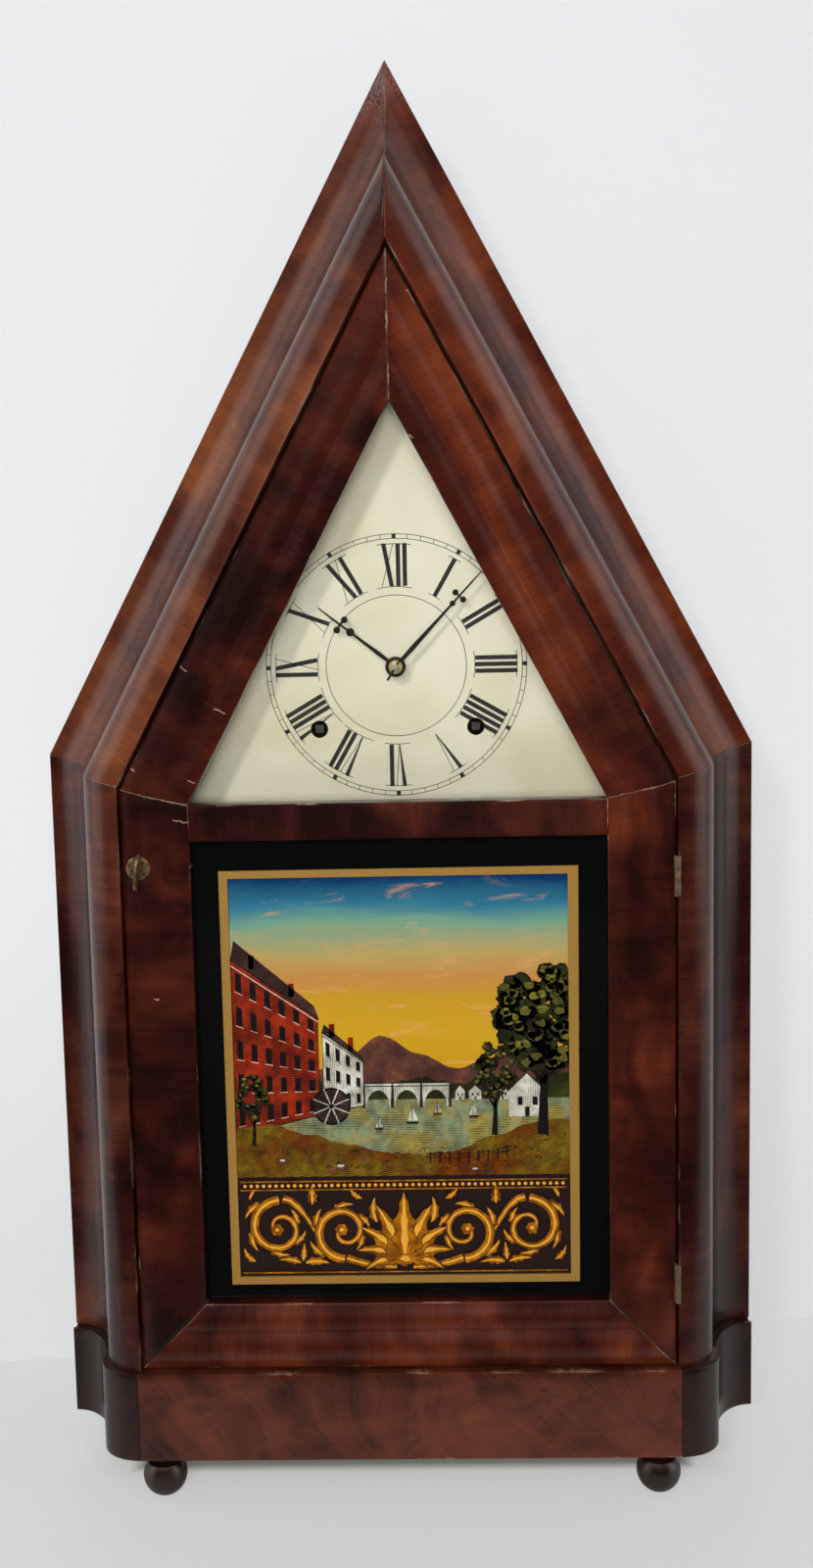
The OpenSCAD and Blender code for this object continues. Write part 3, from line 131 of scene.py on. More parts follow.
# Sizes of the case


@dataclass(frozen=True)
class CaseSizes:
    """The sizes of the case and the door in millimetres, as the solids have them."""

    opening_w: float = 257.2
    side_h: float = 282.4
    roof_angle: float = 61.9
    mould_w: float = 43.0
    mould_d: float = 51.8
    bead_w: float = 18.8
    bead_d: float = 18.2
    mould_edge: float = 5.0
    base_h: float = 43.7
    base_flat_w: float = 259.4
    base_proud: float = 2.8
    base_t: float = 14.0
    base_mould_w: float = 42.3
    base_mould_d: float = 49.3
    base_bead_w: float = 20.0
    base_bead_d: float = 16.6
    base_side_t: float = 10.0
    case_depth: float = 120.0
    board_in: float = 32.5
    foot_h: float = 20.0
    foot_d: float = 21.2
    foot_neck_z: float = 17.0
    foot_neck_d: float = 9.0
    foot_x: float = 119.5
    foot_front: float = 8.0
    foot_back: float = 12.0
    door_gap: float = 1.1
    roof_gap: float = 1.8
    sill_gap: float = 0.8
    stile_w: float = 30.8
    mid_rail_w: float = 16.8
    door_t: float = 20.0
    cushion_w: float = 18.0
    cushion_drop: float = 2.3
    sight_drop: float = 4.5
    roll_h: float = 1.4
    mid_rail_set: float = 2.4
    rebate_w: float = 5.0
    glass_depth: float = 12.2
    dial_rise: float = 333.9
    dial_depth: float = 39.0
    hinge_proud: float = 0.4
    knuckle_r: float = 1.4
    hinge_h: float = 18.7
    hinge_low: float = 32.5
    hinge_drop: float = 36.1
    pass_fit: float = 0.3
    catch_in: float = 7.6
    catch_drop: float = 37.8
    tongue_l: float = 13.0
    tongue_w: float = 4.0
    tongue_t: float = 1.5
    spindle_d: float = 3.0

    @property
    def half_w(self) -> float:
        """Half the width of the opening."""
        return self.opening_w / 2

    @property
    def base_top(self) -> float:
        """Height of the top of the base."""
        return self.foot_h + self.base_h

    @property
    def shoulder_z(self) -> float:
        """Height of the shoulder of the opening."""
        return self.base_top + self.side_h

    @property
    def rise(self) -> float:
        """Rise of the roof for each millimetre sideways."""
        return math.tan(math.radians(self.roof_angle))

    @property
    def peak_z(self) -> float:
        """Height of the peak of the opening."""
        return self.shoulder_z + self.half_w * self.rise

    @property
    def dial_z(self) -> float:
        """Height of the middle of the dial."""
        return self.base_top + self.dial_rise

    @property
    def door_bottom(self) -> float:
        """Height of the door's lower edge."""
        return self.base_top + self.sill_gap

    @property
    def mid_top(self) -> float:
        """Height of the top of the middle rail."""
        return self.door_shoulder(self.stile_w)

    @property
    def mid_bottom(self) -> float:
        """Height of the bottom of the middle rail."""
        return self.mid_top - self.mid_rail_w

    def shoulder_at(self, across: float, slope: float) -> float:
        """Height of the shoulder on lines drawn in by across at the side and by slope at the roof."""
        turn = math.radians(self.roof_angle)
        return self.shoulder_z - (slope - across * math.sin(turn)) / math.cos(turn)

    def peak_at(self, slope: float) -> float:
        """Height of the peak of a roof line drawn in by slope."""
        return self.peak_z - slope / math.cos(math.radians(self.roof_angle))

    def door_x(self, across: float) -> float:
        """Half width of the door at a distance across from its edge."""
        return self.half_w - self.door_gap - across

    def door_shoulder(self, across: float) -> float:
        """Height of the door's shoulder at a distance across from its edge."""
        return self.shoulder_at(self.door_gap + across, self.roof_gap + across)

    def door_peak(self, across: float) -> float:
        """Height of the door's peak at a distance across from its edge."""
        return self.peak_at(self.roof_gap + across)

    def hinge_heights(self) -> tuple[float, float]:
        """Heights of the lower ends of the two hinges."""
        return self.base_top + self.hinge_low, self.shoulder_z - self.hinge_drop - self.hinge_h

    def catch_place(self) -> Point2:
        """Place of the catch spindle, across and up."""
        return -(self.door_x(0) - self.catch_in), self.shoulder_z - self.catch_drop


SIZES = CaseSizes()


# Node trees


class Nodes:
    """A node tree, with short calls for the nodes that finishes, the world and repeats share."""

    def __init__(self, tree: bpy.types.NodeTree) -> None:
        """Keeps the tree."""
        self.tree = tree

    def put(self, socket: bpy.types.NodeSocket, value: object) -> None:
        """Links a socket to an output, or sets its value.

        Args:
            socket: The input to fill.
            value: An output to link, or a plain value.
        """
        if isinstance(value, bpy.types.NodeSocket):
            self.tree.links.new(value, socket)
        elif socket.type == "RGBA" and len(value) == 3:
            socket.default_value = (*value, 1.0)
        else:
            socket.default_value = value

    def node(self, kind: str, inputs: Optional[dict] = None, **settings: object) -> bpy.types.Node:
        """Adds a node.

        Args:
            kind: Blender's name of the node type.
            inputs: Values or links by socket name or index.
            settings: Properties of the node.

        Returns:
            The node.
        """
        made = self.tree.nodes.new(kind)
        for key, value in settings.items():
            setattr(made, key, value)
        for key, value in (inputs or {}).items():
            self.put(made.inputs[key], value)
        return made

    def math(self, operation: str, first: object, second: object = 0.0) -> bpy.types.NodeSocket:
        """Adds a sum, product or other operation on one or two values."""
        return self.node("ShaderNodeMath", {0: first, 1: second}, operation=operation).outputs[0]

    def plus(self, first: object, second: object) -> bpy.types.NodeSocket:
        """The sum of two values."""
        return self.math("ADD", first, second)

    def less(self, first: object, second: object) -> bpy.types.NodeSocket:
        """The first value less the second."""
        return self.math("SUBTRACT", first, second)

    def times(self, first: object, second: object) -> bpy.types.NodeSocket:
        """The product of two values."""
        return self.math("MULTIPLY", first, second)

    def sway(self, pattern: object, size: float) -> bpy.types.NodeSocket:
        """A pattern round one half, turned into steps to both sides of nought."""
        return self.times(self.less(pattern, 0.5), size)

    def part(self, vector: object, axis: str) -> bpy.types.NodeSocket:
        """The part of a vector along X, Y or Z."""
        return self.node("ShaderNodeSeparateXYZ", {0: vector}).outputs[axis]

    def spread(
        self, value: object, low: float, high: float, to_low: float = 0.0, to_high: float = 1.0
    ) -> bpy.types.NodeSocket:
        """Maps a stretch of values onto another one, smoothly and within its ends.

        Args:
            value: What is mapped.
            low: Value at which the change begins.
            high: Value at which it ends.
            to_low: Result up to the low value.
            to_high: Result from the high value on.

        Returns:
            The mapped value.
        """
        made = self.node(
            "ShaderNodeMapRange",
            {"Value": value, "From Min": low, "From Max": high, "To Min": to_low, "To Max": to_high},
            interpolation_type="SMOOTHSTEP",
        )
        return made.outputs["Result"]


class Graph(Nodes):
    """The node tree of one finish, with short calls for patterns, colours and relief."""

    def __init__(self, name: str) -> None:
        """Starts an empty material.

        Args:
            name: Name of the material.
        """
        self.material = bpy.data.materials.new(name)
        self.material.use_nodes = True
        super().__init__(self.material.node_tree)
        self.tree.nodes.clear()
        self.output = self.tree.nodes.new("ShaderNodeOutputMaterial")

    def noise(
        self, vector: object, size: Sequence[float], detail: float = 3.0, rough: float = 0.5,
        twist: float = 0.0, shift: Sequence[float] = (0, 0, 0), turn: Sequence[float] = (0, 0, 0)
    ) -> bpy.types.NodeSocket:
        """Adds a noise pattern with values around one half.

        Args:
            vector: The place that the pattern reads.
            size: Its fineness along X, Y and Z.
            detail: How many finer layers it has.
            rough: How strong the finer layers are.
            twist: How far it is bent.
            shift: Shift along X, Y and Z.
            turn: Turn about X, Y and Z in radians.

        Returns:
            The pattern.
        """
        where = self.stretch(vector, size, shift, turn)
        made = self.node(
            "ShaderNodeTexNoise",
            {"Vector": where, "Scale": 1.0, "Detail": detail, "Roughness": rough, "Distortion": twist},
        )
        return made.outputs["Fac"]

    def stretch(
        self, vector: object, size: Sequence[float], shift: Sequence[float] = (0, 0, 0),
        turn: Sequence[float] = (0, 0, 0)
    ) -> bpy.types.NodeSocket:
        """Scales, shifts and turns the place that a pattern reads.

        Args:
            vector: The place.
            size: Scale along X, Y and Z.
            shift: Shift along X, Y and Z.
            turn: Turn about X, Y and Z in radians.

        Returns:
            The new place.
        """
        made = self.node(
            "ShaderNodeMapping", {"Vector": vector, "Location": shift, "Rotation": turn, "Scale": size}
        )
        return made.outputs[0]

    def ramp(self, value: object, stops: Sequence[tuple[float, Colour]]) -> bpy.types.NodeSocket:
        """Adds a colour ramp.

        Args:
            value: The place on the ramp.
            stops: Places and colours.

        Returns:
            The colour.
        """
        made = self.node("ShaderNodeValToRGB", {"Fac": value})
        while len(made.color_ramp.elements) < len(stops):
            made.color_ramp.elements.new(0.5)
        for element, (at, shade) in zip(made.color_ramp.elements, stops):
            element.position = at
            element.color = (*shade, 1.0)
        return made.outputs["Color"]

    def mix(self, share: object, first: object, second: object, blend: str = "MIX") -> bpy.types.NodeSocket:
        """Mixes two colours.

        Args:
            share: Share of the second colour.
            first: The first colour.
            second: The second colour.
            blend: Blender's name of the way to mix.

        Returns:
            The colour.
        """
        made = self.node("ShaderNodeMix", data_type="RGBA", blend_type=blend, clamp_factor=True)
        self.put(made.inputs[0], share)
        self.put(made.inputs[6], first)
        self.put(made.inputs[7], second)
        return made.outputs[2]

    def bump(
        self, height: object, distance: float, strength: float = 1.0, normal: object = None
    ) -> bpy.types.NodeSocket:
        """Adds small relief in metres.

        Args:
            height: A value that stands for height.
            distance: Height of one unit in metres.
            strength: Share of the relief that is shown.
            normal: The relief below, if any.

        Returns:
            The normal.
        """
        inputs = {"Height": height, "Distance": distance, "Strength": strength}
        if normal is not None:
            inputs["Normal"] = normal
        return self.node("ShaderNodeBump", inputs).outputs["Normal"]

    def coords(self) -> bpy.types.NodeSocket:
        """The place on the piece in metres."""
        return self.node("ShaderNodeTexCoord").outputs["Object"]

    def grain(self) -> bpy.types.NodeSocket:
        """The place along and across a veneered bar in metres."""
        return self.node("ShaderNodeUVMap", uv_map="Grain").outputs[0]

    def attribute(self, name: str) -> bpy.types.NodeSocket:
        """A number kept on the mesh."""
        made = self.node("ShaderNodeAttribute", attribute_name=name, attribute_type="GEOMETRY")
        return made.outputs["Fac"]

    def wear(
        self, name: str, chips: object, stretches: object, ragged: float, strip: Point2, whole: Point2
    ) -> bpy.types.NodeSocket:
        """A mask of broken wear along a joint or an arris.

        Args:
            name: The attribute that holds the distance in metres.
            chips: Fine noise that breaks the edge.
            stretches: Coarse noise that leaves some stretches whole.
            ragged: How far the edge is broken, in metres.
            strip: Distances between which the wear fades out, in metres.
            whole: Values of the coarse noise between which the wear sets in.

        Returns:
            The mask.
        """
        away = self.plus(self.attribute(name), self.sway(chips, ragged))
        return self.times(self.spread(away, *strip, 1.0, 0.0), self.spread(stretches, *whole))

    def veneer_relief(self, wave: object, lines: object, worn: object) -> bpy.types.NodeSocket:
        """The relief of veneer, from its gentle wave, its grain lines and its wear.

        Args:
            wave: Broad noise.
            lines: Fine noise along the grain.
            worn: The mask of the wear.

        Returns:
            The normal.
        """
        normal = self.bump(wave, 0.0003, 0.3)
        normal = self.bump(lines, 0.00001, 0.5, normal)
        return self.bump(worn, 0.00015, 0.8, normal)

    def finish(self, **inputs: object) -> bpy.types.Material:
        """Ends the tree in the common surface shader.

        Args:
            inputs: Values or links, by socket name with underscores for spaces.

        Returns:
            The material.
        """
        shader = self.node("ShaderNodeBsdfPrincipled")
        for key, value in inputs.items():
            self.put(shader.inputs[key.replace("_", " ")], value)
        self.tree.links.new(shader.outputs[0], self.output.inputs["Surface"])
        return self.material


# Finishes


OPEN_MITRE = ((0.0, 566.5, 4.0, 90), (0.0, 551.8, 4.0, 90), (0.0, 528.8, 5.0, 90))


@dataclass(frozen=True)
class Veneer:
    """Polished mahogany veneer laid across a bar, with figure, pores, worn arrises and open mitres."""

    name: str
    dark: Colour = colour(26, 8, 5)
    deep: Colour = colour(45, 13, 8)
    body: Colour = colour(66, 22, 11)
    warm: Colour = colour(90, 36, 16)
    flame: Colour = colour(118, 56, 26)
    patch: float = 0.045
    run: float = 1.0
    cracks: tuple[tuple[float, float, float, float], ...] = ()
    # Height in millimetres above which crazed lacquer and a painted grey sheen grow towards the peak.
    tip: float = 900.0
    tone: float = 0.0
    seed: float = 0.0
    worn: float = 1.0
    gloss: float = 0.24

    def build(self) -> bpy.types.Material:
        """Makes the material.

        Returns:
            The material, which reads the bar's grain map.
        """
        g = Graph(self.name)
        at = g.grain()
        long, wide = 0.6 / self.patch / self.run, 0.6 / self.patch * self.run
        figure = g.noise(at, (long, wide, 1), 2.0, 0.5, 0.3, shift=(self.seed, self.seed * 0.7, 0))
        smoke = g.noise(at, (2.6 * long, 2.2 * wide, 1), 3.0, 0.5, 0.8, shift=(self.seed * 2, 3, 0))
        bands = g.noise(at, (90, 12, 1), 2.0, 0.55, 0.25, shift=(self.seed * 3, 0, 0))
        lines = g.noise(at, (900, 60, 1), 3.0, 0.6, 0.1, shift=(self.seed, 2, 0))
        pores = g.noise(at, (2600, 130, 1), 2.0, 0.5, shift=(0, self.seed, 0))
        tone = g.plus(g.times(figure, 0.44), g.times(smoke, 0.3))
        tone = g.plus(tone, g.times(bands, 0.13))
        tone = g.plus(tone, g.times(lines, 0.13))
        tone = g.plus(tone, self.tone)
        shade = g.ramp(
            tone,
            [
                (0.38, self.dark), (0.45, self.deep), (0.52, self.body), (0.59, self.warm),
                (0.68, self.flame)
            ],
        )
        pitted = g.spread(pores, 0.56, 0.7)
        shade = g.mix(g.times(pitted, 0.2), shade, self.dark)
        chips = g.noise(g.coords(), (420, 420, 420), 2.0, 0.6)
        stretches = g.noise(g.coords(), (45, 45, 45), 1.0, 0.5, shift=(self.seed, 0, 0))
        open_joint = g.wear("mitre", chips, stretches, 0.00135, (0.000135, 0.00045), (0.42, 0.54))
        rubbed = g.wear("arris", chips, stretches, 0.0015, (0.00015, 0.0005), (0.6, 0.72))
        worn = g.times(g.math("MAXIMUM", open_joint, rubbed), 0.55 * self.worn)
        for crack in self.cracks:
            worn = g.math("MAXIMUM", worn, self._crack(g, crack, chips))
        shade = g.mix(worn, shade, colour(164, 136, 118))
        # Above the tip height the veneer takes crazed, worn lacquer mixed with a painted grey sheen,
        # growing over 34 mm towards the peak.
        up = g.part(g.coords(), "Z")
        crazed = g.noise(g.coords(), (900, 900, 500), 3.0, 0.7)
        crazing_and_sheen_at_tip = g.times(
            g.spread(up, self.tip * MM, (self.tip + 34) * MM), g.spread(crazed, 0.4, 0.62)
        )
        shade = g.mix(g.times(crazing_and_sheen_at_tip, 0.5), shade, colour(138, 126, 130))
        worn = g.math("MAXIMUM", worn, g.times(crazing_and_sheen_at_tip, 0.6))
        wave = g.noise(at, (30, 12, 1), 2.0, 0.5, shift=(self.seed, 0, 0))
        normal = g.veneer_relief(wave, lines, worn)
        rough = g.plus(g.spread(figure, 0.3, 0.7, self.gloss, self.gloss + 0.1), g.times(worn, 0.3))
        return g.finish(
            Base_Color=shade, Roughness=rough, Normal=normal, Coat_Weight=0.45, Coat_Roughness=0.25,
            Specular_IOR_Level=0.1
        )

    def _crack(
        self, g: Graph, crack: tuple[float, float, float, float], chips: object
    ) -> bpy.types.NodeSocket:
        """A mask of one short crack in the lacquer.

        Args:
            g: The material's tree.
            crack: Its middle across and up and half its length in millimetres, and its slant in degrees.
            chips: Fine noise that breaks its edge.

        Returns:
            The mask.
        """
        x, z, half, slant = crack
        moved = g.node(
            "ShaderNodeVectorMath", {0: g.coords(), 1: (x * MM, 0, z * MM)}, operation="SUBTRACT"
        ).outputs[0]
        split = g.node(
            "ShaderNodeSeparateXYZ", {0: g.stretch(moved, (1, 1, 1), turn=(0, math.radians(slant), 0))}
        )
        away = g.plus(split.outputs["Z"], g.sway(chips, 0.0022))
        thin = g.spread(g.math("ABSOLUTE", away), 0.00012, 0.00042, 0.8, 0.0)
        return g.times(
            thin,
            g.spread(g.math("ABSOLUTE", split.outputs["X"]), half * MM * 0.7, half * MM, 1.0, 0.0)
        )


@dataclass(frozen=True)
class Board:
    """Stained and polished board with the grain running one way."""

    name: str
    dark: Colour
    light: Colour
    size: tuple[float, float, float] = (30, 300, 6)
    rough: float = 0.45
    coat: float = 0.15

    def build(self) -> bpy.types.Material:
        """Makes the material, which reads the place on the piece.

        Returns:
            The material.
        """
        g = Graph(self.name)
        at = g.coords()
        broad = g.noise(at, self.size, 3.0, 0.6, 0.8)
        fine = g.noise(at, tuple(5 * s for s in self.size), 3.0, 0.6, 0.2)
        tone = g.plus(g.times(broad, 0.7), g.times(fine, 0.3))
        shade = g.ramp(tone, [(0.36, self.dark), (0.64, self.light)])
        blots = g.noise(at, (14, 14, 14), 3.0, 0.6)
        shade = g.mix(g.spread(blots, 0.5, 0.75, 0.0, 0.4), shade, self.dark)
        normal = g.bump(fine, 0.00008, 0.6)
        return g.finish(
            Base_Color=shade, Roughness=g.spread(broad, 0.3, 0.7, self.rough, self.rough + 0.15),
            Normal=normal, Coat_Weight=self.coat, Coat_Roughness=0.25,
        )


@dataclass(frozen=True)
class Metal:
    """Metal with tarnish in blots and fine scratches."""

    name: str
    bright: Colour
    tarnish: Colour
    rough: float = 0.35
    amount: float = 0.5
    size: float = 220.0
    metallic: float = 1.0

    def build(self) -> bpy.types.Material:
        """Makes the material, which reads the place on the piece.

        Returns:
            The material.
        """
        g = Graph(self.name)
        at = g.coords()
        blots = g.noise(at, (self.size,) * 3, 4.0, 0.6, 0.4)
        specks = g.noise(at, (self.size * 9,) * 3, 2.0, 0.6)
        scratch = g.noise(at, (4000, 300, 1500), 2.0, 0.5, turn=(0.3, 0.5, 0.2))
        share = g.spread(
            g.plus(g.times(blots, 0.75), g.times(specks, 0.25)),
            0.62 - 0.3 * self.amount, 0.78 - 0.2 * self.amount
        )
        shade = g.mix(share, self.bright, self.tarnish)
        rough = g.plus(self.rough, g.times(share, 0.2))
        normal = g.bump(scratch, 0.00001, 0.4)
        normal = g.bump(specks, 0.00002, 0.5, normal)
        return g.finish(Base_Color=shade, Metallic=self.metallic, Roughness=rough, Normal=normal)


@dataclass(frozen=True)
class DialPaint:
    """Cream paint on the dial, a little yellowed and rubbed."""

    name: str = "cream_dial_paint"
    cream: Colour = colour(226, 221, 199)
    aged: Colour = colour(214, 206, 178)

    def build(self) -> bpy.types.Material:
        """Makes the material.

        Returns:
            The material.
        """
        g = Graph(self.name)
        at = g.coords()
        clouds = g.noise(at, (16, 16, 16), 4.0, 0.55, 0.3)
        brush = g.noise(at, (25, 25, 420), 3.0, 0.6)
        specks = g.noise(at, (900, 900, 900), 2.0, 0.5)
        shade = g.mix(g.spread(clouds, 0.38, 0.68), self.cream, self.aged)
        shade = g.mix(g.spread(specks, 0.74, 0.82, 0.0, 0.35), shade, colour(150, 130, 95))
        normal = g.bump(brush, 0.00004, 0.5)
        return g.finish(
            Base_Color=shade, Roughness=g.spread(clouds, 0.3, 0.7, 0.38, 0.5), Normal=normal,
            Specular_IOR_Level=0.4
        )


@dataclass(frozen=True)
class Ink:
    """Printed or painted flat colour with slight breaks."""

    name: str
    tint: Colour
    rubbed: Colour
    rough: float = 0.5
    coat: float = 0.0

    def build(self) -> bpy.types.Material:
        """Makes the material.

        Returns:
            The material.
        """
        g = Graph(self.name)
        fine = g.noise(g.coords(), (1500, 1500, 1500), 3.0, 0.6)
        shade = g.mix(g.spread(fine, 0.5, 0.72), self.tint, self.rubbed)
        return g.finish(
            Base_Color=shade, Roughness=self.rough, Coat_Weight=self.coat, Coat_Roughness=0.04,
            Specular_IOR_Level=0.5 * (1 - self.coat),
        )


@dataclass(frozen=True)
class ClearGlass:
    """Thin clear glass that lets light through and shows soft reflections."""

    name: str = "clear_door_glass"

    def build(self) -> bpy.types.Material:
        """Makes the material.

        Returns:
            The material.
        """
        g = Graph(self.name)
        sway = g.noise(g.coords(), (9, 9, 14), 1.0, 0.5)
        normal = g.bump(sway, 0.002, 0.25)
        clear = g.node("ShaderNodeBsdfTransparent", {"Color": (0.985, 0.99, 0.98, 1.0)})
        shine = g.node("ShaderNodeBsdfGlossy", {"Roughness": 0.02, "Normal": normal, "Color": (1, 1, 1, 1)})
        edge = g.node("ShaderNodeFresnel", {"IOR": 1.33})
        inner = g.node("ShaderNodeNewGeometry").outputs["Backfacing"]
        front = g.times(edge.outputs[0], g.less(1.0, inner))
        joined = g.node("ShaderNodeMixShader", {0: front, 1: clear.outputs[0], 2: shine.outputs[0]})
        g.tree.links.new(joined.outputs[0], g.output.inputs["Surface"])
        return g.material


@dataclass(frozen=True)
class Etching:
    """Paint on the tablet under fine engraved hatching, seen through the gloss of the glass."""

    name: str
    light: Colour
    shade: Colour
    line: Colour = colour(26, 22, 20)
    slant: float = 0.0
    pitch: float = 0.9
    weight: float = 0.5
    blotch: float = 0.012

    def build(self) -> bpy.types.Material:
        """Makes the material.

        Returns:
            The material.
        """
        g = Graph(self.name)
        at = g.coords()
        wash = g.noise(at, (1 / self.blotch,) * 3, 3.0, 0.6)
        paint = g.mix(g.spread(wash, 0.35, 0.65), self.light, self.shade)
        turned = g.stretch(at, (1, 1, 1), turn=(0, math.radians(self.slant), 0))
        wobble = g.noise(at, (260, 260, 260), 2.0, 0.5)
        across = g.part(turned, "Z")
        phase = g.plus(g.times(across, 2 * math.pi * 1000 / self.pitch), g.times(wobble, 5.0))
        comb = g.math("SINE", phase)
        tone = g.noise(at, (170, 170, 170), 3.0, 0.6, shift=(4, 0, 0))
        cut = g.plus(comb, g.sway(tone, 5.0))
        lines = g.spread(cut, 1.1 - 1.6 * self.weight, 1.5 - 1.6 * self.weight)
        shade = g.mix(g.times(lines, 0.85), paint, self.line)
        return g.finish(
            Base_Color=shade, Roughness=0.45, Coat_Weight=0.8, Coat_Roughness=0.03, Specular_IOR_Level=0.0
        )


@dataclass(frozen=True)
class EveningSky:
    """A sky that runs from deep blue through teal to yellow and orange, with thin cloud."""

    name: str = "tablet_sky"
    low: float = 190.0
    high: float = 301.0

    def build(self) -> bpy.types.Material:
        """Makes the material.

        Returns:
            The material.
        """
        g = Graph(self.name)
        at = g.coords()
        up = g.part(at, "Z")
        drift = g.noise(at, (14, 14, 60), 4.0, 0.6, 0.4)
        height = g.plus(up, g.sway(drift, 0.016))
        share = g.math("DIVIDE", g.less(height, self.low * MM), (self.high - self.low) * MM)
        shade = g.ramp(
            share,
            [
                (0.0, colour(186, 128, 28)),
                (0.3, colour(192, 150, 30)),
                (0.47, colour(186, 142, 38)),
                (0.57, colour(184, 128, 66)),
                (0.67, colour(172, 148, 86)),
                (0.8, colour(108, 150, 126)),
                (0.88, colour(48, 112, 136)),
                (1.0, colour(12, 46, 88)),
            ],
        )
        cloud = g.noise(at, (38, 38, 150), 4.0, 0.62, 0.6, shift=(3, 0, 1))
        shade = g.mix(g.spread(cloud, 0.56, 0.74, 0.0, 0.5), shade, colour(222, 158, 104))
        smudge = g.noise(at, (70, 70, 70), 4.0, 0.7, shift=(9, 0, 0))
        shade = g.mix(g.spread(smudge, 0.64, 0.8, 0.0, 0.25), shade, colour(60, 80, 90))
        return g.finish(
            Base_Color=shade, Roughness=0.4, Coat_Weight=0.8, Coat_Roughness=0.03, Specular_IOR_Level=0.0
        )


@dataclass(frozen=True)
class FlameVeneer:
    """Crotch-figured veneer whose feathers sweep across the base."""

    name: str

    def build(self) -> bpy.types.Material:
        """Makes the material.

        Returns:
            The material.
        """
        g = Graph(self.name)
        at = g.coords()
        sweep = g.noise(at, (7, 1, 12), 2.0, 0.5, 0.6, shift=(1.4, 0, 0.2))
        split = g.node("ShaderNodeSeparateXYZ", {0: g.stretch(at, (1, 1, 1), turn=(0, 0.75, 0))})
        across = g.plus(split.outputs["X"], g.times(sweep, 0.09))
        along = g.plus(split.outputs["Z"], g.times(sweep, 0.05))
        grain = g.node("ShaderNodeCombineXYZ", {"X": across, "Y": 0.0, "Z": along}).outputs[0]
        feather = g.noise(grain, (75, 1, 11), 3.0, 0.55, 0.5, shift=(5, 0, 0))
        lines = g.noise(grain, (620, 1, 30), 3.0, 0.6, shift=(2, 0, 0))
        smoke = g.noise(at, (24, 24, 40), 3.0, 0.55, 1.0, shift=(0.35, 0, 0))
        tone = g.plus(g.times(feather, 0.26), g.times(lines, 0.16))
        tone = g.plus(g.plus(tone, g.times(smoke, 0.38)), g.times(sweep, 0.2))
        shade = g.ramp(
            tone,
            [
                (0.38, colour(36, 14, 11)), (0.46, colour(62, 27, 17)), (0.53, colour(82, 37, 23)),
                (0.61, colour(97, 46, 27)), (0.72, colour(114, 56, 31))
            ],
        )
        shade = g.mix(g.spread(smoke, 0.6, 0.72, 0.0, 0.6), shade, colour(44, 24, 20))
        chips = g.noise(at, (420, 420, 420), 2.0, 0.6)
        stretches = g.noise(at, (45, 45, 45), 1.0, 0.5)
        worn = g.wear("arris", chips, stretches, 0.002, (0.0002, 0.0006), (0.52, 0.66))
        shade = g.mix(g.times(worn, 0.5), shade, colour(150, 118, 96))
        wave = g.noise(at, (30, 30, 14), 2.0, 0.5)
        normal = g.veneer_relief(wave, lines, worn)
        return g.finish(
            Base_Color=shade, Roughness=g.spread(feather, 0.3, 0.7, 0.28, 0.36), Normal=normal,
            Coat_Weight=0.4, Coat_Roughness=0.16, Specular_IOR_Level=0.15
        )


